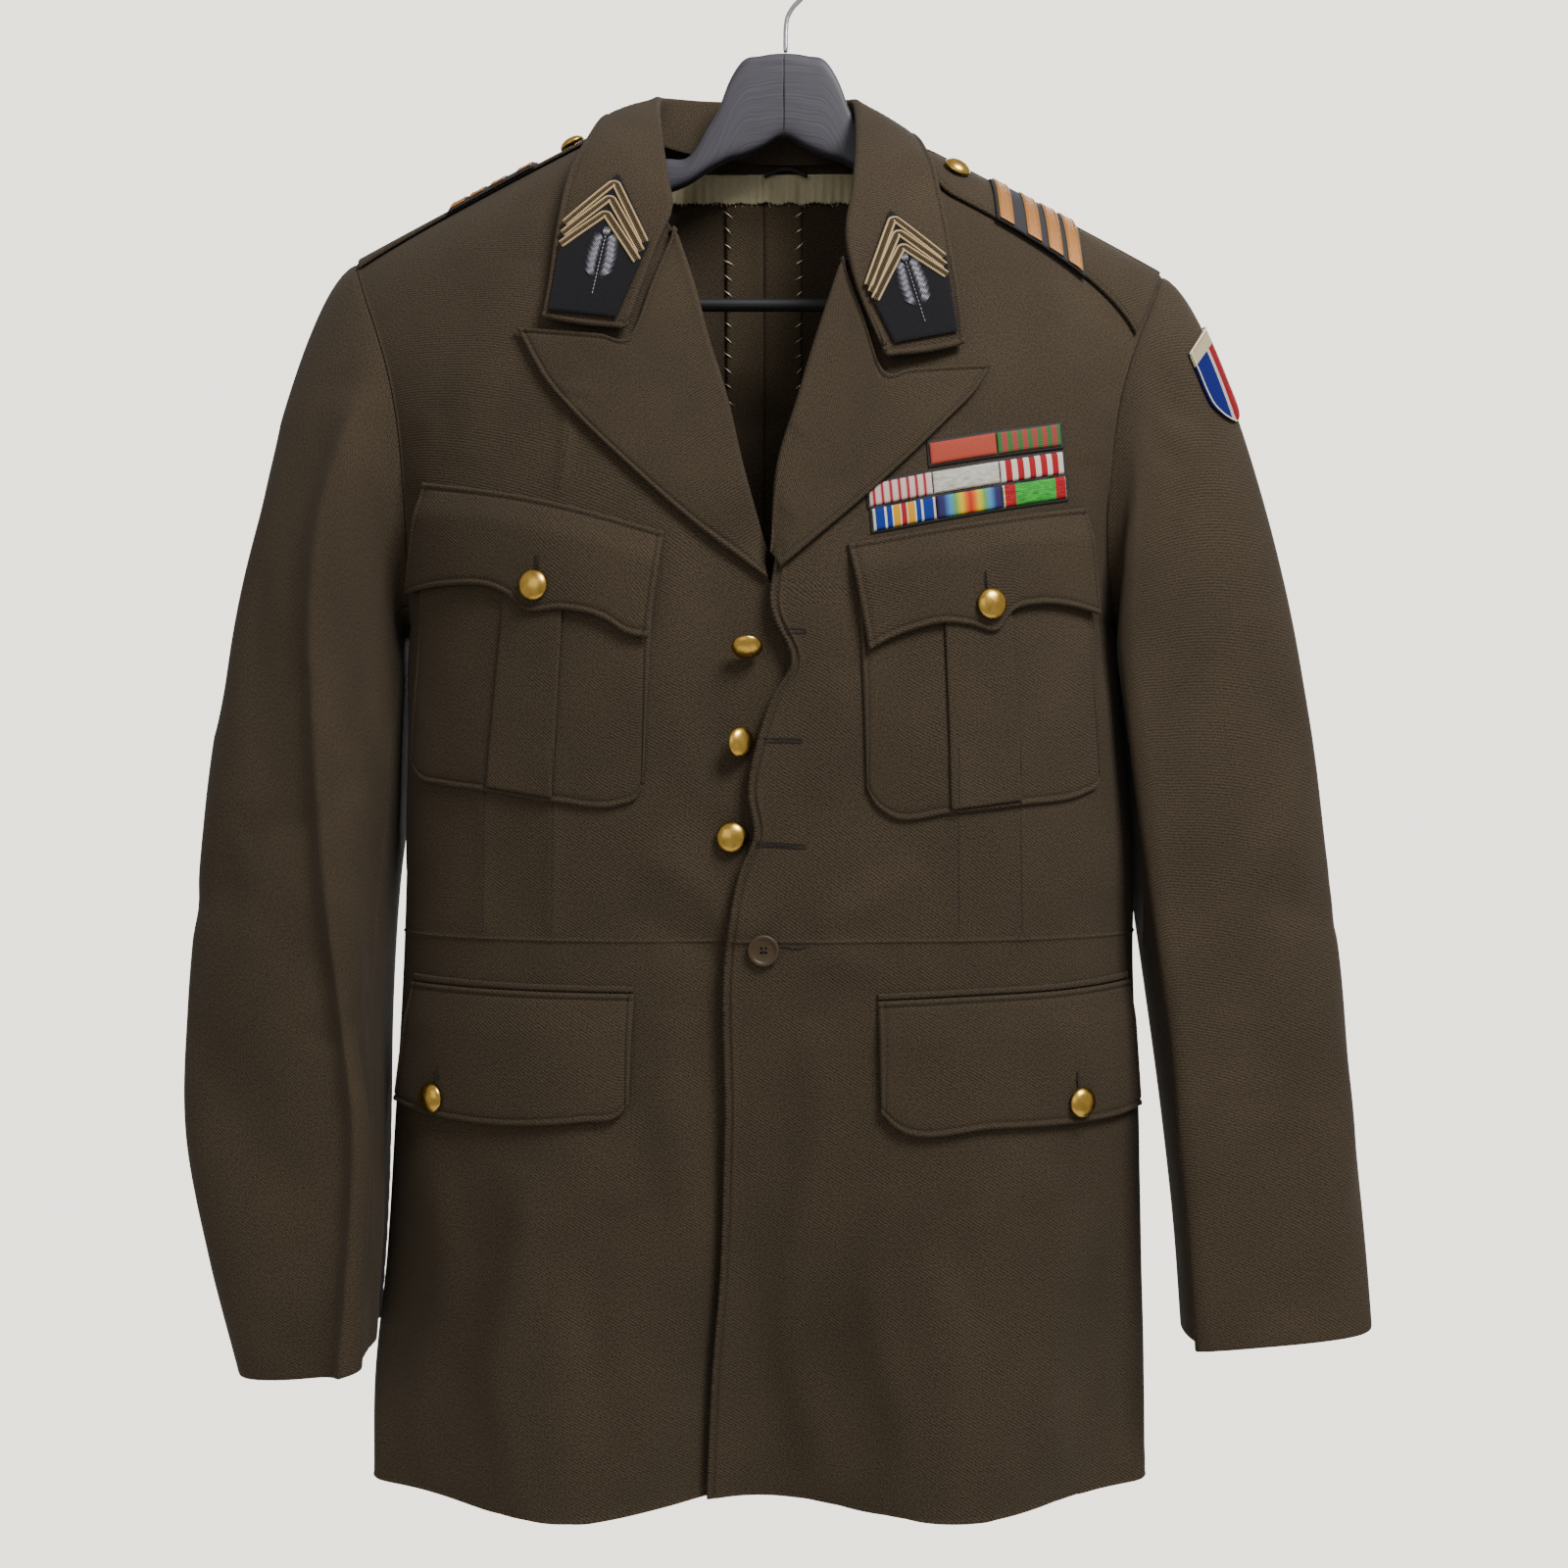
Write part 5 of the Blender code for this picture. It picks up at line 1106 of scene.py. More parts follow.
def ring_point(side, angle, share):
    """A point of the sleeve below the armhole: share runs from the first ring to the cuff."""
    rings = SLEEVES[side]
    z = rings[0].z + share * (rings[-1].z - rings[0].z)
    downward = list(reversed(rings))
    outer, inner, front, back, crease, rise = (
        read(downward, "z", name, z) for name in ("outer", "inner", "front", "back", "crease", "rise")
    )
    turn = np.radians(angle)
    middle = (outer + inner) / 2
    out = np.sign(np.cos(turn)) * np.abs(np.cos(turn)) ** SLEEVE_SQUARE
    forward = np.sign(np.sin(turn)) * np.abs(np.sin(turn)) ** SLEEVE_SQUARE
    x = middle + (outer - inner) / 2 * out
    x = x + np.where(forward > 0, (crease - middle) * np.sin(turn) ** 4, 0)
    y = (front + back) / 2 - (back - front) / 2 * forward
    return np.stack(np.broadcast_arrays(x, y, z - rise * np.cos(turn)), axis=-1)


def cap_row(side, angles, t):
    """A row over the sleeve's cap: t is 0 at the armhole and 1 at the first ring."""
    start = armhole_point(side, angles)
    turn = np.radians(angles)
    leaving = np.stack([0.9 * side + 0 * turn, -0.35 * np.sin(turn), -0.1 - 0.1 * np.cos(turn)], axis=-1)
    start = start + leaving * SEAM
    fullness = (CAP_FULLNESS + UNDERARM_FULLNESS * ((1 - np.cos(turn)) / 2) ** 2)[:, None]
    end = ring_point(side, angles, 0.0)
    step = ring_point(side, angles, 0.03) - end
    reach = np.linalg.norm(end - start, axis=-1, keepdims=True)
    arriving = step / np.linalg.norm(step, axis=-1, keepdims=True)
    leave = (t**3 - 2 * t**2 + t) * leaving * reach * fullness
    arrive = (t**3 - t**2) * arriving * reach
    return (2 * t**3 - 3 * t**2 + 1) * start + leave + (3 * t**2 - 2 * t**3) * end + arrive


def clear_of_body(side, points, t):
    """Moves what would lie in the body out to its side. t runs from the armhole down."""
    x, y, z = points[..., 0], points[..., 1], points[..., 2]
    middle, half = body_line(z)
    side_y = read(LEVELS, "z", "side", z)
    depth = np.where(y < side_y, read(LEVELS, "z", "full", z), read(LEVELS, "z", "back", z))
    reach = 1 - np.clip((y - side_y) / (depth - side_y), 0, 1) ** SQUARENESS
    clearance = SEAM + BODY_CLEARANCE * ease(t / CLEAR_BY)[:, None]
    least = half * reach ** (1 / SQUARENESS) + clearance
    below = ease((UNDERARM_Z + 0.030 - z) / 0.012)
    out = (x - middle) * side
    moved = points.copy()
    moved[..., 0] = middle + side * (out + np.maximum(least - out, 0) * below)
    return moved


def sleeve_grid(side, angles, cap_rows=40, ring_rows=110):
    """Rows from the armhole to the cuff, over the cap and then down the rings."""
    caps = np.linspace(0, 1, cap_rows)[:-1]
    rows = [cap_row(side, angles, t) for t in caps]
    rows += [ring_point(side, angles, share) for share in np.linspace(0, 1, ring_rows)]
    return clear_of_body(side, np.array(rows), np.concatenate([caps, np.ones(ring_rows)]))


# Creases by the angle round the sleeve in degrees, where the others have an x, and the height.
GIRTH = 0.00082  # metres of cloth to a degree round the sleeve
SEAM_HOLDS = 0.045  # the armhole seam holds the cloth this far from it
SLEEVE_CREASES = {
    RIGHT: [Crease(*row) for row in (
        (76, -0.225, 88, -0.935, 0.0260, -0.0125, 0.13, 0.0156),
        (116, -0.640, 124, -0.935, 0.0080, 0.0045, 1),
        (72, -0.300, 66, -0.560, 0.012, 0.0030),
        (112, -0.330, 122, -0.520, 0.010, 0.0026),
        (48, -0.520, 58, -0.790, 0.014, 0.0034),
        (20, -0.300, 12, -0.480, 0.016, 0.0024),
        (118, -0.600, 128, -0.800, 0.010, 0.0026),
        (84, -0.655, 140, -0.632, 0.008, 0.0020),
        (70, -0.268, 92, -0.292, 0.009, 0.0030),
        (128, -0.505, 66, -0.545, 0.010, 0.0018),
        (10, -0.590, 62, -0.560, 0.011, 0.0020),
        (-24, -0.330, -34, -0.640, 0.014, 0.0028),
        (-50, -0.480, -20, -0.560, 0.012, 0.0022),
        (250, -0.380, 236, -0.620, 0.013, 0.0030),
        (262, -0.560, 214, -0.600, 0.010, 0.0024),
        (232, -0.640, 240, -0.800, 0.012, 0.0024),
    )],
    LEFT: [Crease(*row) for row in (
        (96, -0.240, 94, -0.900, 0.0120, -0.0026, 1),
        (60, -0.300, 68, -0.440, 0.010, -0.0024),
        (74, -0.268, 64, -0.306, 0.008, 0.0030),
        (84, -0.300, 70, -0.332, 0.007, 0.0024),
        (40, -0.420, 50, -0.700, 0.015, 0.0036),
        (74, -0.450, 78, -0.640, 0.011, 0.0026),
        (18, -0.560, 30, -0.810, 0.013, 0.0028),
        (70, -0.680, 66, -0.815, 0.012, 0.0026),
        (10, -0.600, 70, -0.566, 0.010, 0.0018),
        (122, -0.380, 128, -0.700, 0.010, 0.0024),
        (-20, -0.340, -32, -0.620, 0.015, 0.0028),
        (-44, -0.470, -12, -0.545, 0.012, 0.0022),
        (246, -0.360, 232, -0.600, 0.013, 0.0030),
        (264, -0.540, 216, -0.585, 0.010, 0.0024),
        (236, -0.640, 230, -0.790, 0.012, 0.0024),
    )],
}
sleeve_grids = {}
for side in (RIGHT, LEFT):
    halves = {
        "top": np.linspace(BACK_SEAM - 360 + SPLIT, FRONT_SEAM - SPLIT, 110),
        "under": np.linspace(FRONT_SEAM + SPLIT, BACK_SEAM - SPLIT, 80),
    }
    creases = [row._replace(x0=row.x0 * GIRTH, x1=row.x1 * GIRTH) for row in SLEEVE_CREASES[side]]
    for part, angles in halves.items():
        name = f"sleeve_{part}_{SIDE_NAMES[side]}"
        raw = sleeve_grid(side, angles % 360)
        seen = np.stack([np.broadcast_to(angles * GIRTH, raw.shape[:2]), raw[..., 2]], axis=-1)
        outward = normals(raw) * side
        settled = creased(raw, creases, seen=seen, straight=outward)
        soft = raw + (settled - raw) * ease(reached(raw) / SEAM_HOLDS)[..., None]
        plain = spaced(raw, 120, 60)
        shaped = spaced(soft, 130, 104 if part == "top" else 60)
        shaped = edged(shaped, normals(shaped) * side)
        sleeve_grids[name] = shaped[:, ::side]
        cloth_piece(name, sleeve_grids[name], cut=plain)
print("sleeves:", [round(area_of(grid), 3) for grid in sleeve_grids.values()], "square metres")

# %% [markdown]
# The collar is one strip folded over: a stand that rises from the neck seam, a round fold
# and a fall that lies back on the tunic. The lapels are the fronts' facings turned out over
# a soft roll. Both have a stitched edge.

# %% Collar and lapels
END_FROM = 0.75  # how far round the collar its ends start to lie on the front


def collar_grid(side, along):
    """Rows round the neck: up the stand, over the fold and down the fall."""
    seam, fold, edge = (
        through([row.along for row in COLLARS[side]], [getattr(row, name) for row in COLLARS[side]], along)
        for name in ("seam", "fold", "edge")
    )
    up = -unit(unit(seam - fold) + unit(edge - fold))
    out = unit(edge - seam)
    out = unit(out - up * (out * up).sum(axis=-1, keepdims=True))
    middle = fold - up * COLLAR_RADIUS
    inside = middle - out * COLLAR_RADIUS
    outside = middle + out * COLLAR_RADIUS
    lean = COLLAR_RADIUS * sin(pi / 4)
    columns = [
        seam,
        (seam + inside) / 2,
        inside,
        middle + (up - out) * lean,
        fold,
        middle + (up + out) * lean,
        outside,
    ]
    columns += [outside + (edge - outside) * t + out * FALL_FULLNESS * sin(pi * t) for t in (0.35, 0.7, 1.0)]
    return np.stack(columns, axis=1)


def laid_over(grid, surface, lifts):
    """Brings what would lie in a surface, or behind it, out in front of it."""
    moved = grid.copy()
    for place in np.ndindex(grid.shape[:2]):
        x, y, z = grid[place]
        hit = surface.ray_cast(Vector((x, -1, z)), Vector((0, 1, 0)))[0]
        if hit is not None:
            moved[place][1] = min(y, hit.y - lifts[place[1]])
    return moved


def folded_piece(name, grid, outer, stitched):
    """A folded sheet, whose outer columns face the front and some of whose edges are stitched."""
    outside = normals(grid) * (1 if normals(grid)[:, outer, 1].mean() < 0 else -1)
    rolled = edged(grid, outside, **dict.fromkeys(stitched, STITCHED_EDGE))
    turned = rolled[:, ::-1] if normals(rolled)[:, outer, 1].mean() > 0 else rolled
    cloth_piece(name, turned, cut=grid)
    return rolled


def make_collar():
    """One collar, whose fall the patches are laid on."""
    along = np.linspace(0, 1, 60)
    right = collar_grid(RIGHT, along[::-1])
    left = collar_grid(LEFT, along[1:])
    grid = np.concatenate([right, left])
    lies = np.array([0.0, 0.0, 0.0, 0.3, 0.5, 0.8, 1.0, 1.0, 0.9, 0.75]) * 2 * COLLAR_RADIUS + LIFT
    count = int((along > END_FROM).sum())
    settled = grid.copy()
    for rows in (slice(None, count), slice(-count, None)):
        settled[rows] = laid_over(grid[rows], front_tree, lies)
    softly = ease(np.minimum(np.arange(len(grid)), np.arange(len(grid))[::-1]) / count)
    grid = settled + (grid - settled) * softly[:, None, None]
    grid = spaced(finer(grid, len(grid), 46), 120, 44)
    return folded_piece("collar", grid, slice(-12, None), ("first_row", "last_row", "last_column"))


OWN_FRONT = NECK_MIDDLE - 0.0005
ROLL_END = 0.78  # how far down the lapel its roll starts to die out
ROLL_LOSS = 0.8  # the share of the roll that is gone at the break


def lapel_points(side, along):
    """Rows from the notch to the break, where the roll dies out over the front's edge."""
    roll = ROLL_RADIUS * (1 - ROLL_LOSS * ease((along - ROLL_END) / (1 - ROLL_END)))
    table = LAPELS[side]
    place = {name: read(table, "along", name, along) for name in Lapel._fields[1:]}
    xs, zs, lifts = [], [], []
    for share in (0.12, 0.5, 1.0):
        xs.append(place["fold_x"] + (place["notch_x"] - place["fold_x"]) * share)
        zs.append(place["fold_z"] + (place["notch_z"] - place["fold_z"]) * share)
        lifts.append(2 * roll - CLOTH + (EDGE_LIFT - 2 * roll + CLOTH) * share * 0.5)
    for share in (0.25, 0.5, 0.75, 0.96, 1.0):
        xs.append(place["notch_x"] + (place["edge_x"] - place["notch_x"]) * share)
        zs.append(place["notch_z"] + (place["edge_z"] - place["notch_z"]) * share)
        lifts.append((2 * roll - CLOTH + EDGE_LIFT) / 2 * (1 - share) + EDGE_LIFT * share)
    xs, zs = np.stack(xs, axis=1), np.stack(zs, axis=1)
    # The right lapel lies on its own front all the way, not on the left one that laps over it.
    laid = seen_from(front_tree, np.minimum(xs, OWN_FRONT) if side == RIGHT else xs, zs)
    laid = np.stack([xs, laid[..., 1] - np.stack(lifts, axis=1), zs], axis=-1)
    edge_x = place["fold_x"] + side * (roll - SEAM)
    behind = seen_from(front_tree, place["fold_x"] + side * (ROLL_RADIUS + 0.004), place["fold_z"])
    ground = np.minimum(behind[..., 1], laid[:, 0, 1] + lifts[0])
    middle = np.stack([edge_x, ground + CLOTH - roll, place["fold_z"]], axis=-1)
    turned = []
    for angle in (0, 8, 60, 100, 140):
        turn = radians(angle)
        turned.append(middle + roll[:, None] * np.array([-side * sin(turn), cos(turn), 0]))
    return np.concatenate([np.stack(turned, axis=1), laid], axis=1)


collar_full = make_collar()
collar_ends = [
    np.stack([end[0] + (end[0] - end[4]) * step for step in np.linspace(0, 1, 5)])
    for end in (collar_full, collar_full[::-1])
]
patch_ground = tree_of([collar_full] + collar_ends)
lapel_grids = {}
for side, side_name in SIDE_NAMES.items():
    grid = spaced(finer(lapel_points(side, np.linspace(0, 1, 46)), 46, 60), 74, 58)
    name = f"lapel_{side_name}"
    lapel_grids[name] = folded_piece(name, grid, slice(20, None), ("first_row", "last_column"))
print("collar and lapels:", collar_full.shape, [grid.shape for grid in lapel_grids.values()])

# %% [markdown]
# Patch pockets are laid on the fronts from their own points, moved out: first the bag, then
# the box pleat down its middle, then the flap, which stands off a little over the pleat.
# Every edge is turned in and top-stitched.

# %% Pockets
FLAT_RISE = LIFT + OVERLAY
PLEAT_RISE = 0.0022  # of a pleat's or a hip flap's face over the pocket
FLAP_RISE = 0.0042  # of a breast flap's foot, over the pleat
PLEAT_THICK = 0.0010
# Each piece by its upper and its lower edge, as x and z.
OUTLINES = {
    "breast_pocket_right": (
        [(-0.204, -0.356), (-0.136, -0.370), (-0.070, -0.388)],
        [(-0.214, -0.497), (-0.207, -0.507), (-0.190, -0.511), (-0.166, -0.514), (-0.126, -0.520),
         (-0.090, -0.522), (-0.080, -0.518), (-0.0765, -0.508)],
    ),
    "breast_pocket_left": (
        [(0.040, -0.395), (0.106, -0.385), (0.172, -0.370)],
        [(0.0445, -0.512), (0.049, -0.521), (0.058, -0.528), (0.092, -0.526), (0.130, -0.522),
         (0.168, -0.516), (0.176, -0.512), (0.1775, -0.503)],
    ),
    "box_pleat_right": (
        [(-0.152, -0.398), (-0.119, -0.403)], [(-0.164, -0.5115), (-0.126, -0.5175)],
    ),
    "box_pleat_left": (
        [(0.086, -0.408), (0.123, -0.403)], [(0.091, -0.524), (0.130, -0.519)],
    ),
    "breast_flap_right": (
        [(-0.204, -0.339), (-0.132, -0.354), (-0.065, -0.373)],
        [(-0.214, -0.400), (-0.184, -0.399), (-0.159, -0.402), (-0.149, -0.407), (-0.141, -0.415),
         (-0.119, -0.4155), (-0.097, -0.421), (-0.083, -0.4295), (-0.073, -0.431)],
    ),
    "breast_flap_left": (
        [(0.034, -0.380), (0.102, -0.367), (0.170, -0.354)],
        [(0.045, -0.438), (0.056, -0.432), (0.069, -0.427), (0.086, -0.423), (0.100, -0.424),
         (0.114, -0.427), (0.124, -0.415), (0.138, -0.411), (0.157, -0.411), (0.176, -0.414)],
    ),
    "hip_welt_right": (
        [(-0.212, -0.6185), (-0.145, -0.620), (-0.082, -0.6205)],
        [(-0.212, -0.6225), (-0.145, -0.6235), (-0.082, -0.624)],
    ),
    "hip_welt_left": (
        [(0.051, -0.6245), (0.103, -0.6225), (0.158, -0.621), (0.198, -0.618)],
        [(0.051, -0.628), (0.103, -0.626), (0.158, -0.6245), (0.198, -0.622)],
    ),
    "hip_flap_right": (
        [(-0.213, -0.6232), (-0.145, -0.6242), (-0.082, -0.6247)],
        [(-0.2235, -0.6935), (-0.207, -0.6965), (-0.191, -0.698), (-0.159, -0.699), (-0.110, -0.695),
         (-0.091, -0.692), (-0.085, -0.685)],
    ),
    "hip_flap_left": (
        [(0.051, -0.6287), (0.103, -0.6267), (0.158, -0.6252), (0.199, -0.6227)],
        [(0.053, -0.690), (0.061, -0.698), (0.115, -0.6995), (0.168, -0.700), (0.190, -0.699),
         (0.2045, -0.6965)],
    ),
}


def smooth_line(points, count):
    """Places along a smooth line through points, evenly by their distance."""
    points = np.array(points, dtype=float)
    run = run_of(points)
    return through(run, points, np.linspace(0, run[-1], count))


def corner_line(points, count):
    """Places along straight runs between points, evenly by their distance."""
    points = np.array(points, dtype=float)
    run = run_of(points)
    return at_run(np.linspace(0, run[-1], count), run, points)


Form = namedtuple("Form", "rise fall thick columns rows stitched swell line", defaults=((), 0.0, smooth_line))
OVERLAY_FORMS = {
    "breast_pocket": Form(FLAT_RISE, FLAT_RISE, OVERLAY, 66, 54, EDGE_NAMES),
    "box_pleat": Form(FLAT_RISE + PLEAT_RISE, FLAT_RISE + PLEAT_RISE, PLEAT_THICK, 24, 54),
    "breast_flap": Form(FLAT_RISE, FLAT_RISE + FLAP_RISE, OVERLAY, 84, 44, EDGE_NAMES, 0.0012),
    "hip_welt": Form(FLAT_RISE, FLAT_RISE, OVERLAY, 84, 8),
    "hip_flap": Form(FLAT_RISE, FLAT_RISE + PLEAT_RISE, OVERLAY, 80, 46, EDGE_NAMES, 0.0010),
}
LEAST_COLUMNS, LEAST_ROWS = 30, 12  # of the points that are laid on the surface below
SHALLOW = 20  # a piece with no more rows is too shallow for close ones at its edges
STANDS_OFF_BY = 0.35  # the share of a flap's depth over which it comes to stand off
SWELL_ROUND = 0.8  # below 1 the swell is full nearly up to the edges
overlay_grids = {}


def overlay_grid(outline, form, surface, columns, rows):
    """Points between two edges, on the surface below and moved out from it."""
    upper, lower = (form.line(edge, columns) for edge in outline)
    down = np.linspace(0, 1, rows)[:, None, None]
    places = upper + (lower - upper) * down
    flat = seen_from(surface, places[..., 0], places[..., 1])
    lift = form.rise + (form.fall - form.rise) * ease(down / STANDS_OFF_BY)
    across = np.linspace(0, 1, columns)[None, :, None]
    lift = lift + form.swell * (np.sin(pi * down) * np.sin(pi * across)) ** SWELL_ROUND
    return flat + pointing(flat, (0, -1, 0)) * lift


def make_overlay(name, outline, form, surface, finish=TWILL, slot="cloth", striped_across=False):
    """A piece of cloth sewn on another, with its stitched edges rolled."""
    grid = overlay_grid(outline, form, surface, max(form.columns, LEAST_COLUMNS),
                        max(form.rows, LEAST_ROWS))
    grid = spaced(grid, form.rows if form.rows > SHALLOW else None, form.columns)
    rolled = edged(grid, pointing(grid, (0, -1, 0)), **dict.fromkeys(form.stitched, STITCHED_EDGE))
    overlay_grids[name] = rolled
    turned = facing(rolled, (0, -1, 0))
    shares = None
    if striped_across:
        along = reached(turned.swapaxes(0, 1)).swapaxes(0, 1)
        along = along / along[:, -1:]
        along = along if turned[0, 0, 0] < turned[0, -1, 0] else 1 - along
        down = reached(turned)
        shares = np.stack([along, 1 - down / down[-1:]], axis=-1)
    return cloth_piece(name, turned, finish, form.thick, slot, cut=grid, shares=shares)


for name, outline in OUTLINES.items():
    make_overlay(name, outline, OVERLAY_FORMS[name.rsplit("_", 1)[0]], front_tree)
print("pockets, flaps and welts:", len(overlay_grids))

# %% [markdown]
# The medal ribbons are pinned on black backing bars, three rows deep. The collar patches
# are felt, cut to a five-sided shape whose point runs up the collar.

# %% Ribbons and collar patches
RIBBON_BARS = [
    [(0.079, -0.3240), (0.1165, -0.3165), (0.154, -0.3090)],
    [(0.0455, -0.3475), (0.0805, -0.3400), (0.118, -0.3325), (0.1555, -0.3245)],
    [(0.0475, -0.3610), (0.0825, -0.3535), (0.1195, -0.3460), (0.157, -0.3380)],
]
RIBBON_HEIGHT = 0.0122
RIBBON_LEAN = 0.001
PATCHES = {
    "collar_patch_right": (
        [(-0.1225, -0.194), (-0.0935, -0.166), (-0.0745, -0.2105)], [(-0.1290, -0.2495), (-0.0915, -0.2550)],
    ),
    "collar_patch_left": (
        [(0.0445, -0.2355), (0.0590, -0.1895), (0.0900, -0.2165)], [(0.0600, -0.2700), (0.0950, -0.2615)],
    ),
}
BACKING_MARGIN = 0.0012
BACKING_THICK = 0.0004
RIBBON_RISE = 1.3 * LIFT + RIBBON
BACKING_RISE = RIBBON_RISE - RIBBON - 0.0001
RIBBON_FORM = Form(RIBBON_RISE, RIBBON_RISE, RIBBON, 34, 14, swell=0.0004)
BACKING_FORM = Form(BACKING_RISE, BACKING_RISE, BACKING_THICK, 60, 14, line=corner_line)
PATCH_RISE = 0.0025
PATCH_FORM = Form(PATCH_RISE, PATCH_RISE, FELT, 64, 60, line=corner_line)


def bar_outline(start, end, margin=0.0):
    """The upper and lower edges of a ribbon from start to end, or of a backing a margin larger."""
    upper = [(start[0] - margin, start[1] + margin), (end[0] + margin, end[1] + margin)]
    return upper, [(x + RIBBON_LEAN, z - RIBBON_HEIGHT - 2 * margin) for x, z in upper]


for bar, ends in enumerate(RIBBON_BARS, start=1):
    backing = overlay_grid(bar_outline(ends[0], ends[-1], BACKING_MARGIN), BACKING_FORM, front_tree, 60, 14)
    cloth_piece(f"ribbon_backing_{bar}", facing(backing, (0, -1, 0)), BLACK_TAPE, BACKING_THICK, "felt",
                replaced=())
    for place, (start, end) in enumerate(zip(ends, ends[1:]), start=1):
        name = f"ribbon_{bar}_{place}"
        make_overlay(name, bar_outline(start, (end[0] - SEAM, end[1])), RIBBON_FORM, front_tree,
                     ribbon_silk(RIBBON_SILKS[name]), "ribbon", striped_across=True)
for name, outline in PATCHES.items():
    make_overlay(name, outline, PATCH_FORM, patch_ground, FELT_BLACK, "felt")
print("ribbon bars:", len(RIBBON_BARS))

# %% [markdown]
# The shoulder straps lie over the shoulder seams from the armhole to a rounded tip by the
# collar. Over each one slides a black loop with four bars of gold lace.

# %% Shoulder straps and rank slides
STRAP_COLUMNS = np.linspace(-1, 1, 41)
STRAP_HALF = 0.020
STRAP_THICK = 0.0017
STRAP_TIP = 0.0920  # from the middle of the body
STRAP_GAP = 0.0015  # before the armhole's seam
TIP_LENGTH = 0.018
STRAP_Y = {RIGHT: 0.001, LEFT: -0.028}
SLIDE_START = 0.1340
SLIDE_LENGTH = 0.0510
SLIDE_THICK = 0.0012
SLIDE_WIDTH = 1.06  # of the strap's
SLIDE_BARS = [(0.03, 0.19), (0.34, 0.50), (0.58, 0.74), (0.80, 0.96)]


def strap_grid(side, out, width, rise):
    """Rows along a shoulder, each across it: out is the distance from its middle."""
    x = body_line(SHOULDER_TOP)[0] + side * out
    places = np.broadcast_arrays(x, STRAP_Y[side] + width * STRAP_COLUMNS, 0.0)
    flat = met(shoulders, np.stack(places, axis=-1), (0, 0, -1))
    return facing(flat + pointing(flat, (0, 0, 1)) * rise, (0, 0, 1))


def slide_grid(side, shares, width, rise):
    """Rows across a rank slide, at shares of its length and a share of its width."""
    out = SLIDE_START + SLIDE_LENGTH * np.asarray(shares)[:, None] + 0 * STRAP_COLUMNS
    return strap_grid(side, out, STRAP_HALF * SLIDE_WIDTH * width, rise)


def arm_ends(side):
    """How far out the strap's columns run before the armhole's seam stops them."""
    edge = armhole_point(side, np.arange(-110, 111, 5) % 360)
    order = np.argsort(edge[:, 1])
    y = STRAP_Y[side] + STRAP_HALF * STRAP_COLUMNS
    out = np.abs(edge[:, 0] - body_line(SHOULDER_TOP)[0])
    return np.interp(y, edge[order, 1], out[order]) - STRAP_GAP


shoulder_surfaces = [front_grids[f"front_{name}"] for name in SIDE_NAMES.values()] + list(back_grids.values())
for side in (RIGHT, LEFT):
    share = np.concatenate([np.linspace(0.2, 0.98, 60), np.linspace(0.985, 1, 16)])[:, None]
    level = UNDERARM_Z + share * (SHOULDER_TOP - UNDERARM_Z)
    shoulder_surfaces += [body(side, np.linspace(low, low + 0.8, 70), level) for low in (0.1, 1.1)]
shoulders = tree_of(shoulder_surfaces)
LACE_THICK = 0.0006
STRAP_FACE = LIFT + STRAP_THICK
SLIDE_FACE = STRAP_FACE + LIFT + SLIDE_THICK
LACE_FACE = SLIDE_FACE + LACE_THICK + 0.0001
STRAP_EDGES = ("first_row", "first_column", "last_column")  # the stitched ones
strap_faces = {}
for side in (RIGHT, LEFT):
    end = SIDE_NAMES[side]
    share = np.concatenate([np.linspace(0, 0.13, 16)[:-1], np.linspace(0.13, 1, 60)])[:, None]
    out = STRAP_TIP + (arm_ends(side) - STRAP_TIP) * share
    tip = np.clip((out - STRAP_TIP) / TIP_LENGTH, 0, 1)
    width = STRAP_HALF * np.clip(np.sqrt(1 - (1 - tip) ** 2), 0.12, 1)
    grid = spaced(strap_grid(side, out, width, STRAP_FACE), 86, 42)
    rolled = edged(grid, pointing(grid, (0, 0, 1)), **dict.fromkeys(STRAP_EDGES, STITCHED_EDGE))
    strap_faces[f"shoulder_strap_{end}"] = rolled
    cloth_piece(f"shoulder_strap_{end}", facing(rolled, (0, 0, 1)), thick=STRAP_THICK, cut=grid)
    grid = slide_grid(side, np.linspace(0, 1, 40), 1, SLIDE_FACE)
    rolled = edged(grid, pointing(grid, (0, 0, 1)))
    cloth_piece(f"rank_slide_{end}", facing(rolled, (0, 0, 1)), BLACK_TAPE, SLIDE_THICK, "slide")
    for number, (low, high) in enumerate(SLIDE_BARS, start=1):
        grid = slide_grid(side, np.linspace(low, high, 12), 0.97, LACE_FACE)
        name = f"rank_bar_{end}_{number}"
        cloth_piece(name, facing(grid, (0, 0, 1)), GOLD_LACE, LACE_THICK, "slide", ())
print("straps:", list(strap_faces))

# %% [markdown]
# The shield is sewn to the left sleeve just below the cap: a straight top, sides that
# draw in slightly and a point below, with a raised rim of thread.

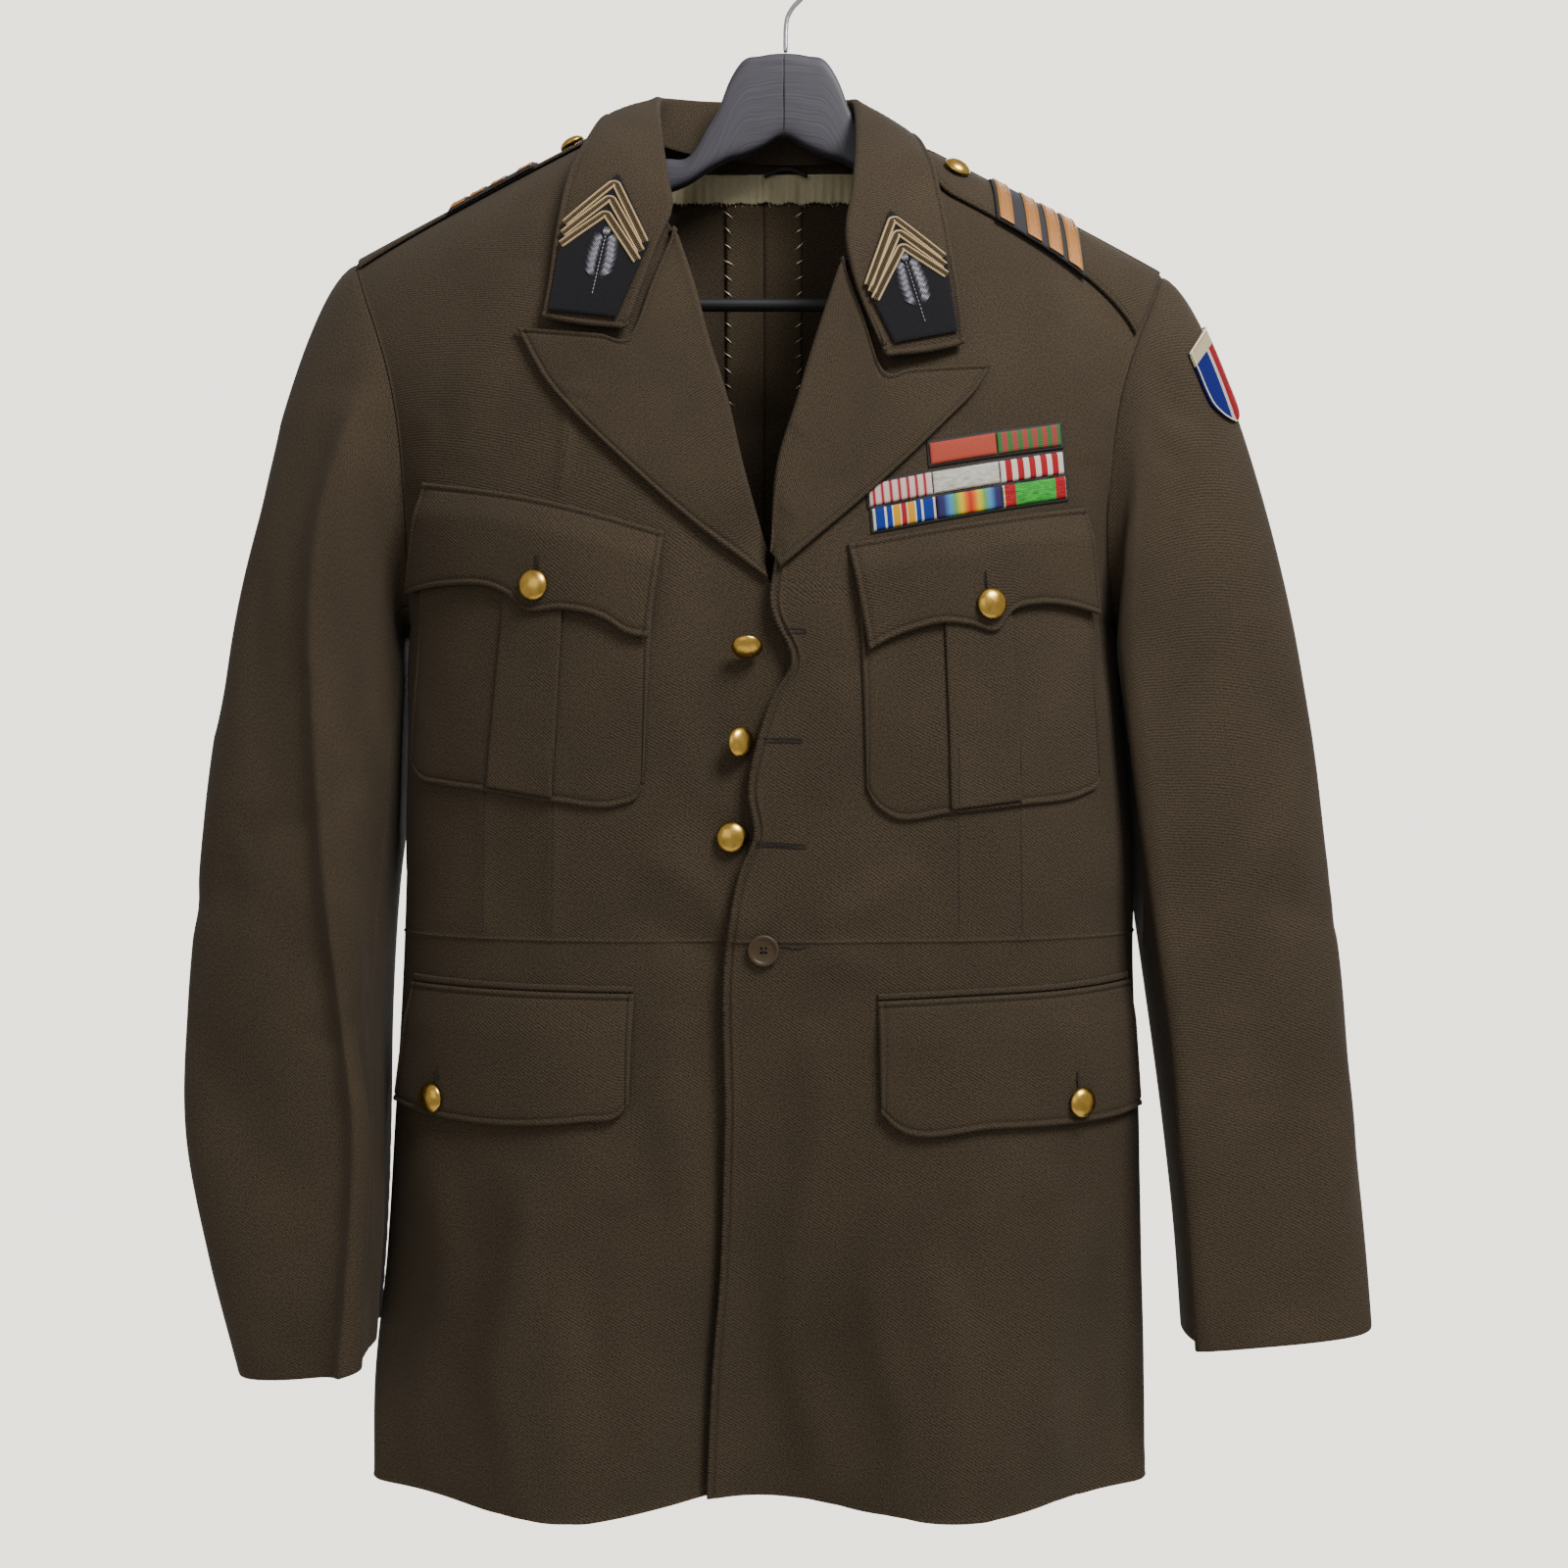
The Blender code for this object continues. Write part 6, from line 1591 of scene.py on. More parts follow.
# %% Sleeve shield
SHIELD_MIDDLE = 29  # degrees round the sleeve from its outer side, by the front
SHIELD_OUTLINE = [(0.270, 19.5), (0.290, 19.7), (0.340, 19.5), (0.390, 19), (0.425, 17.5), (0.450, 14.5),
                  (0.470, 10.5), (0.485, 5.5), (0.492, 1.5)]  # the place on the cap and the half width
SHIELD_RIM = ([0, 0.0004, 0.0011, 0.0020, 0.0029], [-0.0003, 0.0002, 0.0004, 0.0002, 0])
sleeve_tree = tree_of([sleeve_grids["sleeve_top_left"], sleeve_grids["sleeve_under_left"]])
drops = np.linspace(SHIELD_OUTLINE[0][0], SHIELD_OUTLINE[-1][0], 44)
halves = through([row[0] for row in SHIELD_OUTLINE], [row[1] for row in SHIELD_OUTLINE], drops)
across = np.linspace(-1, 1, 40)
grid = np.array([cap_row(LEFT, SHIELD_MIDDLE - half * across, drop) for drop, half in zip(drops, halves)])
outward = pointing(grid, (1, 0, 0))
for place in np.ndindex(grid.shape[:2]):
    start = Vector(grid[place] + outward[place] * 0.02)
    hit = sleeve_tree.ray_cast(start, Vector(-outward[place]), 0.04)[0]
    grid[place] = grid[place] if hit is None else hit
grid = grid + outward * (LIFT + FELT)
rolled = edged(grid, outward, **dict.fromkeys(EDGE_NAMES, SHIELD_RIM))
turned = facing(rolled, (1, 0, 0))
is_turned = not np.allclose(turned[0, 0], rolled[0, 0])
shield_x = 0.5 + 0.5 * across[None, :] * halves[:, None] / halves.max()
shield_y = np.broadcast_to(1 - (drops - drops[0])[:, None] / (drops[-1] - drops[0]), grid.shape[:2])
shares = np.stack([shield_x, shield_y], axis=-1)
shares = shares[:, ::-1] if is_turned else shares
shield_front = rolled
cloth_piece("sleeve_shield_left", turned, SHIELD_CLOTH, FELT, "shield", cut=grid, shares=shares)
print("shield:", round(area_of(grid) * 1e4, 1), "square centimetres")

# %% [markdown]
# Inside the back of the neck a strip of satin is gathered under the collar, with a frayed
# lower edge. Below it the wide allowances of the centre back seam are pressed open.

# %% Inside the back neck
LINING_LEVELS = (-0.1450, -0.1298)
ALLOWANCE = 0.024
ALLOWANCE_LEVELS = (-0.905, -0.146)
FACING = 0.0010
INSIDE_GAP = 0.0010  # between the back's inner face and what lies on it
back_inside = tree_of(list(back_grids.values()))


def inside_back(x, z, lift):
    """Points a lift inside the back panels' outer face, found by looking from behind."""
    places = met(back_inside, np.stack([x, np.full(x.shape, 0.2), z], axis=-1), (0, -1, 0))
    return places + pointing(places, (0, -1, 0)) * lift


INSIDE_LIFT = CLOTH + INSIDE_GAP + FACING
lining_x = np.linspace(-0.080, 0.052, 200) + np.zeros((16, 1))
frayed = 0.0005 * np.sin(lining_x[0] * 410) + 0.0004 * np.sin(lining_x[0] * 2311 + 1.3)
lining_z = LINING_LEVELS[0] - 0.0015 + frayed
lining_z = lining_z + (LINING_LEVELS[1] - lining_z) * np.linspace(0, 1, 16)[:, None]
grid = inside_back(lining_x, lining_z, INSIDE_LIFT)
gathers = 0.0007 * np.sin(lining_x * 260 + 2.1 * np.sin(lining_x * 83)) + 0.0002 * np.sin(lining_x * 1130)
flat_lining = grid.copy()
grid[..., 1] -= (gathers + 0.0008) * np.linspace(1, 0.3, 16)[:, None]
cloth_piece("neck_lining", facing(grid, (0, -1, 0)), SATIN, FACING * 0.6, "lining", cut=flat_lining)
allowance_faces = {}
for side in (RIGHT, LEFT):
    z = np.linspace(*ALLOWANCE_LEVELS, 130)
    middle = body_line(z)[0][:, None]
    x = middle + side * np.linspace(0.0004, ALLOWANCE, 14)
    grid = inside_back(x, np.broadcast_to(z[:, None], x.shape), INSIDE_LIFT)
    rolled = edged(grid, np.array([0, -1.0, 0]) + 0 * grid)
    allowance_faces[side] = rolled
    name = f"seam_allowance_{SIDE_NAMES[side]}"
    cloth_piece(name, facing(rolled, (0, -1, 0)), TWILL_INSIDE, FACING, cut=grid)
print("inside the neck:", [piece.name for piece in pieces_made[-3:]])

# %% [markdown]
# Sewing. A stitch is a little lens of eight faces: two tips sunk in the cloth and a raised
# middle. Thousands of them are joined into a few meshes. Each run follows a line at a set
# distance inside the edge of the piece that it sews.

# %% Stitches
LENS_SIGNS = [(e, s, t) for e in (1, -1) for s in (1, -1) for t in (1, -1)]


def lenses(centres, along, up, length, width, height):
    """The points and faces of lens-shaped stitches, one for each centre."""
    centres = np.asarray(centres, float)
    along = unit(np.asarray(along, float))
    up = unit(np.asarray(up, float))
    across = unit(np.cross(up, along))
    up = unit(np.cross(along, across))
    length, width, height = (np.broadcast_to(np.asarray(v, float), len(centres))[:, None] for v in
                             (length, width, height))
    sunk = up * height * 0.6
    points = np.stack([
        centres + along * length / 2 - sunk, centres - along * length / 2 - sunk,
        centres + across * width / 2, centres - across * width / 2,
        centres + up * height, centres - up * height * 1.2,
    ], axis=1)
    faces = []
    for e, s, t in LENS_SIGNS:
        face = [0 if e > 0 else 1, 2 if s > 0 else 3, 4 if t > 0 else 5]
        faces.append(face if e * s * t > 0 else face[::-1])
    faces = np.array(faces)[None] + 6 * np.arange(len(centres))[:, None, None]
    return points.reshape(-1, 3), faces.reshape(-1, 3)


def joined(parts):
    """Several sets of points and faces as one."""
    points, faces, first = [], [], 0
    for part_points, part_faces in parts:
        points.append(part_points)
        faces.append(part_faces + first)
        first += len(part_points)
    return np.concatenate(points), np.concatenate(faces)


def sewn(name, parts, finish):
    """Stitches joined into one piece."""
    points, faces = joined(parts)
    return on_tunic(mesh_of(name, points, faces.tolist(), finish))


def along_line(points, pitch):
    """Places along a line of points a pitch apart, with the run's direction there."""
    run = run_of(points)
    at = np.arange(pitch / 2, run[-1], pitch)
    ahead = at_run(at + pitch / 4, run, points) - at_run(at - pitch / 4, run, points)
    return at, at_run(at, run, points), ahead


def nearest(line, spots):
    """The rows of a line that evenly spread spots along it lie by."""
    return np.linspace(0, len(line) - 1, len(spots)).astype(int)


def stitch_run(points, up, pitch=0.0024, length=0.0017, width=0.0005, height=0.00016):
    """A run of stitches along a line of points."""
    at, spots, ahead = along_line(points, pitch)
    return lenses(spots, ahead, at_run(at, run_of(points), up), length, width, height)


def line_inside(grid, up, edge, distance):
    """The line a distance inside one edge of a grid, with the way out of the cloth there."""
    turned, turned_up = from_edge(grid, edge), from_edge(up, edge)
    deep = reached(turned)
    within = range(turned.shape[1])[3:-3]
    line, ups = (
        np.array([at_run(distance, deep[:, j], values[:, j]) for j in within])
        for values in (turned, turned_up)
    )
    return line, ups


SEWN_EDGES = {
    "stitches_collar": [(collar_full, (0, -1, 0.2), ("last_column",))],
    "stitches_lapels": [(grid, (0, -1, 0), ("first_row", "last_column")) for grid in lapel_grids.values()],
    "stitches_front_edge": [
        (front_grids["front_left"][:, ::-1], (0, -1, 0), ("last_column",)),
        (front_grids["skirt_left"][:, ::-1], (0, -1, 0), ("last_column",)),
    ],
    "stitches_pockets": [
        (grid, (0, -1, 0), EDGE_NAMES)
        for name, grid in overlay_grids.items() if "pocket" in name or "flap" in name
    ],
    "stitches_straps": [(grid, (0, 0, 1), STRAP_EDGES) for grid in strap_faces.values()],
}
for name, rows in SEWN_EDGES.items():
    runs = []
    for grid, towards, edges in rows:
        up = pointing(grid, towards)
        runs += [stitch_run(*line_inside(grid, up, edge, STITCH_LINE)) for edge in edges]
    piece = sewn(name, runs, BROWN_THREAD)
    print(name, len(piece.data.polygons) // 8, "stitches")


# %% [markdown]
# Buttonholes are keyhole-shaped: a slit with a round eye near the edge, whipped all round
# with close buttonhole stitch. The pockets' are short and upright. The slit itself is
# painted shade: a dark lens let into the cloth.

# %% Buttonholes
Hole = namedtuple("Hole", "x0 z0 x1 z1 eye")
HOLES = [Hole(*row) for row in (
    (-0.0005, -0.4270, 0.0110, -0.4275, 0.0),
    (-0.0105, -0.4862, 0.0090, -0.4866, 0.0),
    (-0.0125, -0.5425, 0.0110, -0.5440, 0.0012),
    (-0.1335, -0.3855, -0.1338, -0.3945, 0.0),
    (0.1085, -0.3950, 0.1095, -0.4045, 0.0),
    (-0.1942, -0.6690, -0.1948, -0.6790, 0.0),
    (0.1632, -0.6710, 0.1636, -0.6800, 0.0),
)]
WHIP_PITCH = 0.00065
WHIP_OUT = 0.00105  # from the slit to the middle of each stitch
outer_tree = tree_of(list(front_grids.values()) + list(overlay_grids.values()))
# Painted shade for the slits and for the darts' folds; the hanger's dark joint line uses it too.
SLIT_DARK = patterned(
    "shadowed_slit", "Object", {"Scale": 900.0}, (colour("#0B0907"), colour("#1A1511")), Roughness=0.95,
)
whips, painted_shade_lenses = [], []
for row in HOLES:
    start, end = np.array([row.x0, row.z0]), np.array([row.x1, row.z1])
    length = np.linalg.norm(end - start)
    count = int(length / WHIP_PITCH)
    aside = np.array([-(end - start)[1], (end - start)[0]]) / length
    spots = [on_surface(outer_tree, *(start + (end - start) * t)) for t in np.linspace(0, 1, count)]
    base = np.array([spot[0] for spot in spots])
    ups = np.array([spot[1] for spot in spots])
    over = np.array([aside[0], 0, aside[1]])
    for way in (1, -1):
        beside = base + way * over * WHIP_OUT + ups * 0.0002
        whips.append(lenses(beside, over + 0 * base, ups, 0.0018, 0.0006, 0.0003))
    run = base[-1] - base[0]
    middle = (base[0] + base[-1]) / 2 + ups[count // 2] * 0.0003
    painted_shade_lenses.append(lenses([middle], [run], [ups[count // 2]], length * 0.98, 0.0009, 0.00025))
    bar = [base[-1] + run / length * 0.0006 + ups[-1] * 0.0002]
    whips.append(lenses(bar, [over], [ups[-1]], 0.0034, 0.0008, 0.0004))
    if row.eye:
        turn = np.radians(np.arange(0, 360, 30))
        ray = np.cos(turn)[:, None] * run / length + np.sin(turn)[:, None] * over
        centre = base[0] + ups[0] * 0.0003
        whips.append(lenses(centre + ray * row.eye * 1.5, ray, ups[0] + 0 * ray, 0.0016, 0.0006, 0.0003))
        painted_shade_lenses.append(lenses([centre] * 2, [run, over], [ups[0]] * 2, 2 * row.eye, 2 * row.eye, 0.0002))
WAIST_SLIT = (-0.0030, -0.5992, 0.0140, -0.5992)
start, up = on_surface(outer_tree, *WAIST_SLIT[:2])
run = on_surface(outer_tree, *WAIST_SLIT[2:])[0] - start
painted_shade_lenses.append(lenses([start + run / 2 + up * 0.0002], [run], [up], run.length, 0.0022, 0.0003))
# Each dart's fold gets a dashed line of the same dark lenses: painted shade in the fold, not thread.
for x0, z0, x1, z1 in DARTS:
    shares = np.linspace(0, 0.94, 40)
    spots, ups = zip(*(on_surface(outer_tree, x0 + (x1 - x0) * t, z0 + (z1 - z0) * t) for t in shares))
    spots, ups = np.array(spots), np.array(ups)
    near = np.abs(spots[:, 1] - np.median(spots[-20:, 1])) < 0.02
    painted_shade_lenses.append(stitch_run(spots[near] + ups[near] * 0.00005, ups[near], 0.0022, 0.0036, 0.0007, 0.00012))
sewn("buttonhole_stitches", whips, BROWN_THREAD)
sewn("buttonhole_and_dart_shade", painted_shade_lenses, SLIT_DARK)
print("buttonholes:", len(HOLES) + 1)

# %% [markdown]
# Inside, the allowances are held down by long catch stitches in undyed cotton, and a few
# frayed threads hang from the satin.

# %% Catch stitches and frayed threads
SEED = 11
CATCH_PITCH = 0.0096
CATCH_LENGTH = 0.0078
steady = np.random.default_rng(SEED)
catches = []
for side, grid in allowance_faces.items():
    edge = grid[:, -2]
    at, spots, ahead = along_line(edge, CATCH_PITCH)
    tilt = np.array([side * 0.9, 0, 0.7]) + steady.normal(0, 0.12, (len(spots), 3)) * np.array([1, 0, 1])
    up = np.array([0, -1.0, 0]) + 0 * spots
    lengths = CATCH_LENGTH + steady.normal(0, 0.0009, len(spots))
    catches.append(lenses(spots + up * 0.0005, tilt, up, lengths, 0.0007, 0.0003))
sewn("catch_stitches", catches, COTTON_THREAD)
fray_x = steady.uniform(-0.078, 0.050, 46)
fray_z = LINING_LEVELS[0] - steady.uniform(0.0005, 0.0035, len(fray_x))
fray = inside_back(np.stack([fray_x, fray_x + 0.0002]), np.stack([fray_z, fray_z - 0.0002]), INSIDE_LIFT)[0]
lean = np.stack([steady.normal(0, 0.5, len(fray_x)), 0 * fray_x, -np.ones(len(fray_x))], axis=-1)
out = np.array([0, -1.0, 0]) + 0 * fray
lengths = steady.uniform(0.001, 0.0035, len(fray_x))
threads = lenses(fray + out * 0.0008, lean, out, lengths, 0.0003, 0.00015)
sewn("lining_fray", [threads], COTTON_THREAD)

# %% [markdown]
# Rods. The hook's wire, the trouser bar, the braids and the hanger loop are all a round
# section carried along a smooth line, closed at both ends.


# %% Rods along a line
def tube(name, rings, uv, finish):
    """Rings of points joined by faces and closed at both ends."""
    count, sides = rings.shape[:2]
    corner = np.arange(count * sides).reshape(count, sides)
    low, high = corner[:-1], corner[1:]
    walls = np.stack([low, high, np.roll(high, -1, axis=1), np.roll(low, -1, axis=1)], axis=-1)
    caps = [corner[0].tolist(), corner[-1, ::-1].tolist()]
    piece = mesh_of(name, rings, walls.reshape(-1, 4).tolist() + caps, finish)
    add_uv(piece.data, "UVMap", uv)
    return piece


def rod(name, line, radius, finish, replaced=None, sides=12, up=(0, -1, 0)):
    """A round rod of a radius along a line."""
    line = np.asarray(line, float)
    ahead = unit(np.gradient(line, axis=0))
    across = unit(np.cross(ahead, np.broadcast_to(np.asarray(up, float), line.shape)))
    up = unit(np.cross(across, ahead))
    turn = np.linspace(0, 2 * pi, sides, endpoint=False)
    radii = np.full(len(line), radius)
    radii[[0, -1]] *= 0.7
    ring = across[:, None] * np.cos(turn)[None, :, None] + up[:, None] * np.sin(turn)[None, :, None]
    uv = np.stack(np.meshgrid(run_of(line), turn * radius, indexing="ij"), axis=-1)
    return on_tunic(tube(name, line[:, None] + ring * radii[:, None, None], uv, finish), replaced)


# %% [markdown]
# On each collar patch, three chevrons of flat braid follow the patch's pointed top: two
# smooth cords with a chain of small links between them. Below them a plain sprig is
# embroidered in silver wire, a stem with leaves in pairs.

# %% Braid chevrons
CHEVRONS = [0.075, 0.190, 0.305]  # the share of the way down the patch
CHEVRON_ENDS = (0.015, 0.985)
CORD_RADIUS = 0.00072
CORD_APART = 0.00185
LINK_PITCH = 0.0011
patch_faces = {}


def patch_line(name, down, shift):
    """A line across a patch at a share of its depth, shifted along the cloth, with its way up."""
    grid = patch_faces[name]
    row = down * (len(grid) - 1)
    low = int(row)
    line = grid[low] + (grid[low + 1] - grid[low]) * (row - low)
    up = pointing(grid, (0, -1, 0))[low]
    first, last = (int(share * (len(line) - 1)) for share in CHEVRON_ENDS)
    line, up = line[first:last], up[first:last]
    ahead = unit(np.gradient(line, axis=0))
    aside = unit(np.cross(up, ahead))
    shifted = line + aside * shift
    blur = np.ones(5) / 5
    padded = np.pad(shifted, ((2, 2), (0, 0)), mode="edge")
    rounded = np.stack([np.convolve(column, blur, "valid") for column in padded.T], axis=-1)
    rounded[[0, -1]] = shifted[[0, -1]]
    return rounded, up


for patch, outline in PATCHES.items():
    patch_faces[patch] = overlay_grid(outline, PATCH_FORM, patch_ground, 90, 121)
    braid = patch.replace("collar_patch", "braid")
    for number, down in enumerate(CHEVRONS, start=1):
        links = []
        for which, shift in (("upper", CORD_APART), ("lower", -CORD_APART)):
            line, up = patch_line(patch, down, shift)
            name = f"{braid}_{number}_{which}"
            rod(name, line + up * 0.0004, CORD_RADIUS, CREAM_BRAID, sides=8, up=up)
        line, up = patch_line(patch, down, 0.0)
        at, spots, ahead = along_line(line, LINK_PITCH)
        ups = up[nearest(line, spots)]
        side_way = unit(np.cross(ups, ahead))
        for slant in (0.8, -0.8):
            centres = spots + ups * 0.00045 + side_way * 0.0005 * np.sign(slant)
            links.append(lenses(centres, unit(ahead) + side_way * slant, ups, 0.0019, 0.0008, 0.0004))
        sewn(f"{braid}_{number}_chain", links, CREAM_BRAID)
print("chevrons:", len(CHEVRONS) * len(PATCHES))

# %% Silver sprigs and the felt's fuzzy edge
Sprig = namedtuple("Sprig", "name x0 z0 x1 z1")
SPRIGS = [Sprig(*row) for row in (
    ("collar_patch_right", -0.1052, -0.2400, -0.0985, -0.2030),
    ("collar_patch_left", 0.0770, -0.2560, 0.0665, -0.2185),
)]
LEAF_PAIRS = 7
LEAF_WIRES = 5
LEAF_LENGTH = 0.0125
LEAF_LEAN = radians(42)  # from the stem
WIRE_PITCH = 0.00062
HAIR_PITCH = 0.0006


def wires(name, places, headings, length, width):
    """Lens-shaped wires at places of a patch, heading in its plane."""
    spots, ups = zip(*(on_surface(patch_trees[name], x, z) for x, z in places))
    spots, ups = np.array(spots), np.array(ups)
    heading = np.insert(np.array(headings), 1, 0, axis=1)
    heading = heading - ups * (heading * ups).sum(-1, keepdims=True)
    return lenses(spots + ups * 0.0005, heading, ups, length, width, 0.00045)


patch_trees = {name: tree_of([grid]) for name, grid in patch_faces.items()}
for row in SPRIGS:
    foot, tip = np.array([row.x0, row.z0]), np.array([row.x1, row.z1])
    run = tip - foot
    length = np.linalg.norm(run)
    way = run / length
    parts = [wires(row.name, [foot + run * t for t in np.linspace(0, 0.9, 16)], [way] * 16, 0.0034, 0.0007)]
    for pair in range(LEAF_PAIRS + 1):
        share = 0.22 + 0.64 * pair / LEAF_PAIRS
        reach = LEAF_LENGTH * (1 - 0.55 * abs(share - 0.40))
        for hand in ((1, -1) if pair < LEAF_PAIRS else (0,)):
            lean = hand * LEAF_LEAN
            heading = way * cos(lean) + np.array([-way[1], way[0]]) * sin(lean)
            aside = np.array([-heading[1], heading[0]])
            middle = foot + run * share + heading * reach * 0.55
            for wire in range(LEAF_WIRES):
                off = (wire - (LEAF_WIRES - 1) / 2) * WIRE_PITCH
                fan = heading + aside * off * 60
                size = reach * (1 - 0.12 * abs(wire - 2))
                parts.append(wires(row.name, [middle + aside * off * 1.3], [fan], size, 0.0008))
    sewn(row.name.replace("collar_patch", "silver_sprig"), parts, SILVER_WIRE)
    grid = patch_faces[row.name]
    up = pointing(grid, (0, -1, 0))
    hairs = []
    for edge in EDGE_NAMES:
        line, out = from_edge(grid, edge)[0], from_edge(up, edge)[0]
        inner = from_edge(grid, edge)[3]
        at, spots, ahead = along_line(line, HAIR_PITCH)
        pick = nearest(line, spots)
        away = unit(line - inner)[pick] + steady.normal(0, 0.5, (len(spots), 3))
        size = steady.uniform(0.0010, 0.0026, len(spots))
        hairs.append(lenses(spots + unit(away) * 0.0002, away, out[pick], size, 0.00022, 0.00012))
    sewn(row.name.replace("collar_patch", "felt_fuzz"), hairs, FELT_BLACK)
print("sprigs:", [row.name for row in SPRIGS])

# %% [markdown]
# The lace on the rank slides has a cord of paler thread along both sides of each bar, and
# the shield a pale overcast rim.

# %% Lace selvedges and the shield's rim
selvedges = []
for side in (RIGHT, LEFT):
    for low, high in SLIDE_BARS:
        for share in (low + 0.022, high - 0.022):
            rows = slide_grid(side, [share, share + 0.001 / SLIDE_LENGTH], 0.95, LACE_FACE + 0.0001)
            up = pointing(rows, (0, 0, 1))[0]
            selvedges.append(stitch_run(rows[0], up, 0.0013, 0.0011, 0.0005, 0.0002))
sewn("slide_selvedges", selvedges, CREAM_BRAID)
rim = []
outward = pointing(shield_front, (1, 0, 0))
for edge in ("first_row", "first_column", "last_column"):
    line, up = from_edge(shield_front, edge)[1], from_edge(outward, edge)[1]
    inner = from_edge(shield_front, edge)[4]
    at, spots, ahead = along_line(line, 0.0007)
    pick = nearest(line, spots)
    slant = (line - inner)[pick] + ahead * 0.5
    rim.append(lenses(spots + up[pick] * 0.0002, slant, up[pick], 0.0022, 0.0007, 0.0003))
sewn("shield_rim", rim, COTTON_THREAD)

# %% [markdown]
# The gilt buttons are domed shells on a wire shank. One is made as by hand: a disc is
# added and its face is extruded and resized ring by ring up the dome, then the shank's
# ring is added. Each button is its own copy of that mesh, turned to its place.

# %% Gilt buttons
Button = namedtuple("Button", "name x z radius lift tilt")
FLAP_FACE = FLAT_RISE + FLAP_RISE
HIP_FACE = FLAT_RISE + PLEAT_RISE
BUTTONS = [Button(*row) for row in (
    # The tilts are in degrees: how far the face hangs down, and turns to the right.
    ("button_breast_right", -0.1340, -0.402, GILT_RADIUS, FLAP_FACE, (0, 0)),
    ("button_breast_left", 0.1105, -0.412, GILT_RADIUS, FLAP_FACE, (0, 0)),
    ("button_hip_right", -0.1960, -0.687, GILT_RADIUS, HIP_FACE, (0, 0)),
    ("button_hip_left", 0.1640, -0.688, GILT_RADIUS, HIP_FACE, (0, 0)),
    ("button_front_1", -0.0200, -0.435, GILT_RADIUS, 0.0, (50, 0)),
    ("button_front_2", -0.0240, -0.487, GILT_RADIUS, 0.0, (0, -42)),
    ("button_front_3", -0.0285, -0.539, GILT_RADIUS, 0.0, (0, 0)),
)]
WAIST_BUTTON_PLACE = (-0.0112, -0.6005)  # x and z
STRAP_BUTTON_OUT = 0.113  # from the middle of the body
GILT_DOME = [(0.90, 0.02), (0.975, 0.05), (1.0, 0.11), (0.99, 0.17), (0.95, 0.25), (0.88, 0.33), (0.77, 0.42),
             (0.63, 0.495), (0.46, 0.55), (0.27, 0.59), (0.10, 0.615)]


def face_out(thing):
    """Turns every face of a closed piece outward."""
    choose(thing)
    bpy.ops.object.mode_set(mode="EDIT")
    bpy.ops.mesh.select_all(action="SELECT")
    bpy.ops.mesh.normals_make_consistent(inside=False)
    bpy.ops.object.mode_set(mode="OBJECT")


def turned_by_hand(name, rings, finish, segments=48):
    """A disc extruded ring by ring up a list of radii and heights for a unit button."""
    bpy.ops.object.select_all(action="DESELECT")
    bpy.ops.mesh.primitive_circle_add(vertices=segments, radius=rings[0][0], fill_type="NGON",
                                      location=(0, 0, rings[0][1]))
    piece = bpy.context.active_object
    piece.name = name
    bpy.ops.object.transform_apply(location=True, rotation=True, scale=True)
    bpy.ops.object.mode_set(mode="EDIT")
    bpy.ops.mesh.select_all(action="SELECT")
    for (radius, height), (next_radius, next_height) in zip(rings, rings[1:]):
        rise = {"value": (0, 0, next_height - height)}
        bpy.ops.mesh.extrude_region_move(TRANSFORM_OT_translate=rise)
        share = next_radius / radius
        bpy.ops.transform.resize(value=(share, share, 1), center_override=(0, 0, next_height))
    bpy.ops.object.mode_set(mode="OBJECT")
    face_out(piece)
    piece.data.materials.append(finish)
    bpy.ops.object.shade_smooth_by_angle(angle=radians(50))
    return piece


def with_shank(button):
    """Adds the wire ring behind a button."""
    bpy.ops.object.select_all(action="DESELECT")
    bpy.ops.mesh.primitive_torus_add(
        major_segments=24, minor_segments=8, major_radius=0.17, minor_radius=0.045,
        location=(0, 0, -0.06), rotation=(pi / 2, 0, 0),
    )
    ring = bpy.context.active_object
    ring.data.materials.append(GILT)
    bpy.ops.object.transform_apply(location=True, rotation=True, scale=True)
    button.select_set(True)
    bpy.context.view_layer.objects.active = button
    bpy.ops.object.join()
    return button


def seated(pattern, name, radius, place, axis, replaced):
    """A copy of a unit button at its size, its place and its tilt."""
    mesh = pattern.data.copy()
    mesh.name = name
    turn = Vector(axis).to_track_quat("Z", "Y").to_matrix().to_4x4()
    mesh.transform(Matrix.Translation(Vector(place)) @ turn @ Matrix.Scale(radius, 4))
    piece = bpy.data.objects.new(name, mesh)
    collection.objects.link(piece)
    return on_tunic(piece, replaced)


gilt_pattern = with_shank(turned_by_hand("gilt_button_pattern", GILT_DOME, GILT))
for row in BUTTONS:
    base, normal = on_surface(front_tree, row.x, row.z)
    down, across = (radians(t) for t in row.tilt)
    lean = abs(down + across)
    below = max(out * sin(lean) - height * cos(lean) for out, height in GILT_DOME + [(0.22, -0.10)])
    place = base + normal * (LIFT + row.lift + row.radius * below)
    axis = (normal.x - tan(across), normal.y, normal.z - tan(down))
    seated(gilt_pattern, f"gilt_{row.name}", row.radius, place, axis, (row.name,))
for side in (RIGHT, LEFT):
    x = body_line(SHOULDER_TOP)[0] + side * STRAP_BUTTON_OUT
    hit, normal, _, _ = shoulders.ray_cast(Vector((x, STRAP_Y[side], 0)), Vector((0, 0, -1)))
    normal = normal if normal.z > 0 else -normal
    place = hit + normal * (LIFT + SEAM + STRAP_THICK + 0.1 * STRAP_BUTTON_RADIUS)
    name = f"button_strap_{SIDE_NAMES[side]}"
    seated(gilt_pattern, f"gilt_{name}", STRAP_BUTTON_RADIUS, place, normal, (name,))
bpy.data.objects.remove(gilt_pattern, do_unlink=True)
print("gilt buttons:", len(BUTTONS) + 2)

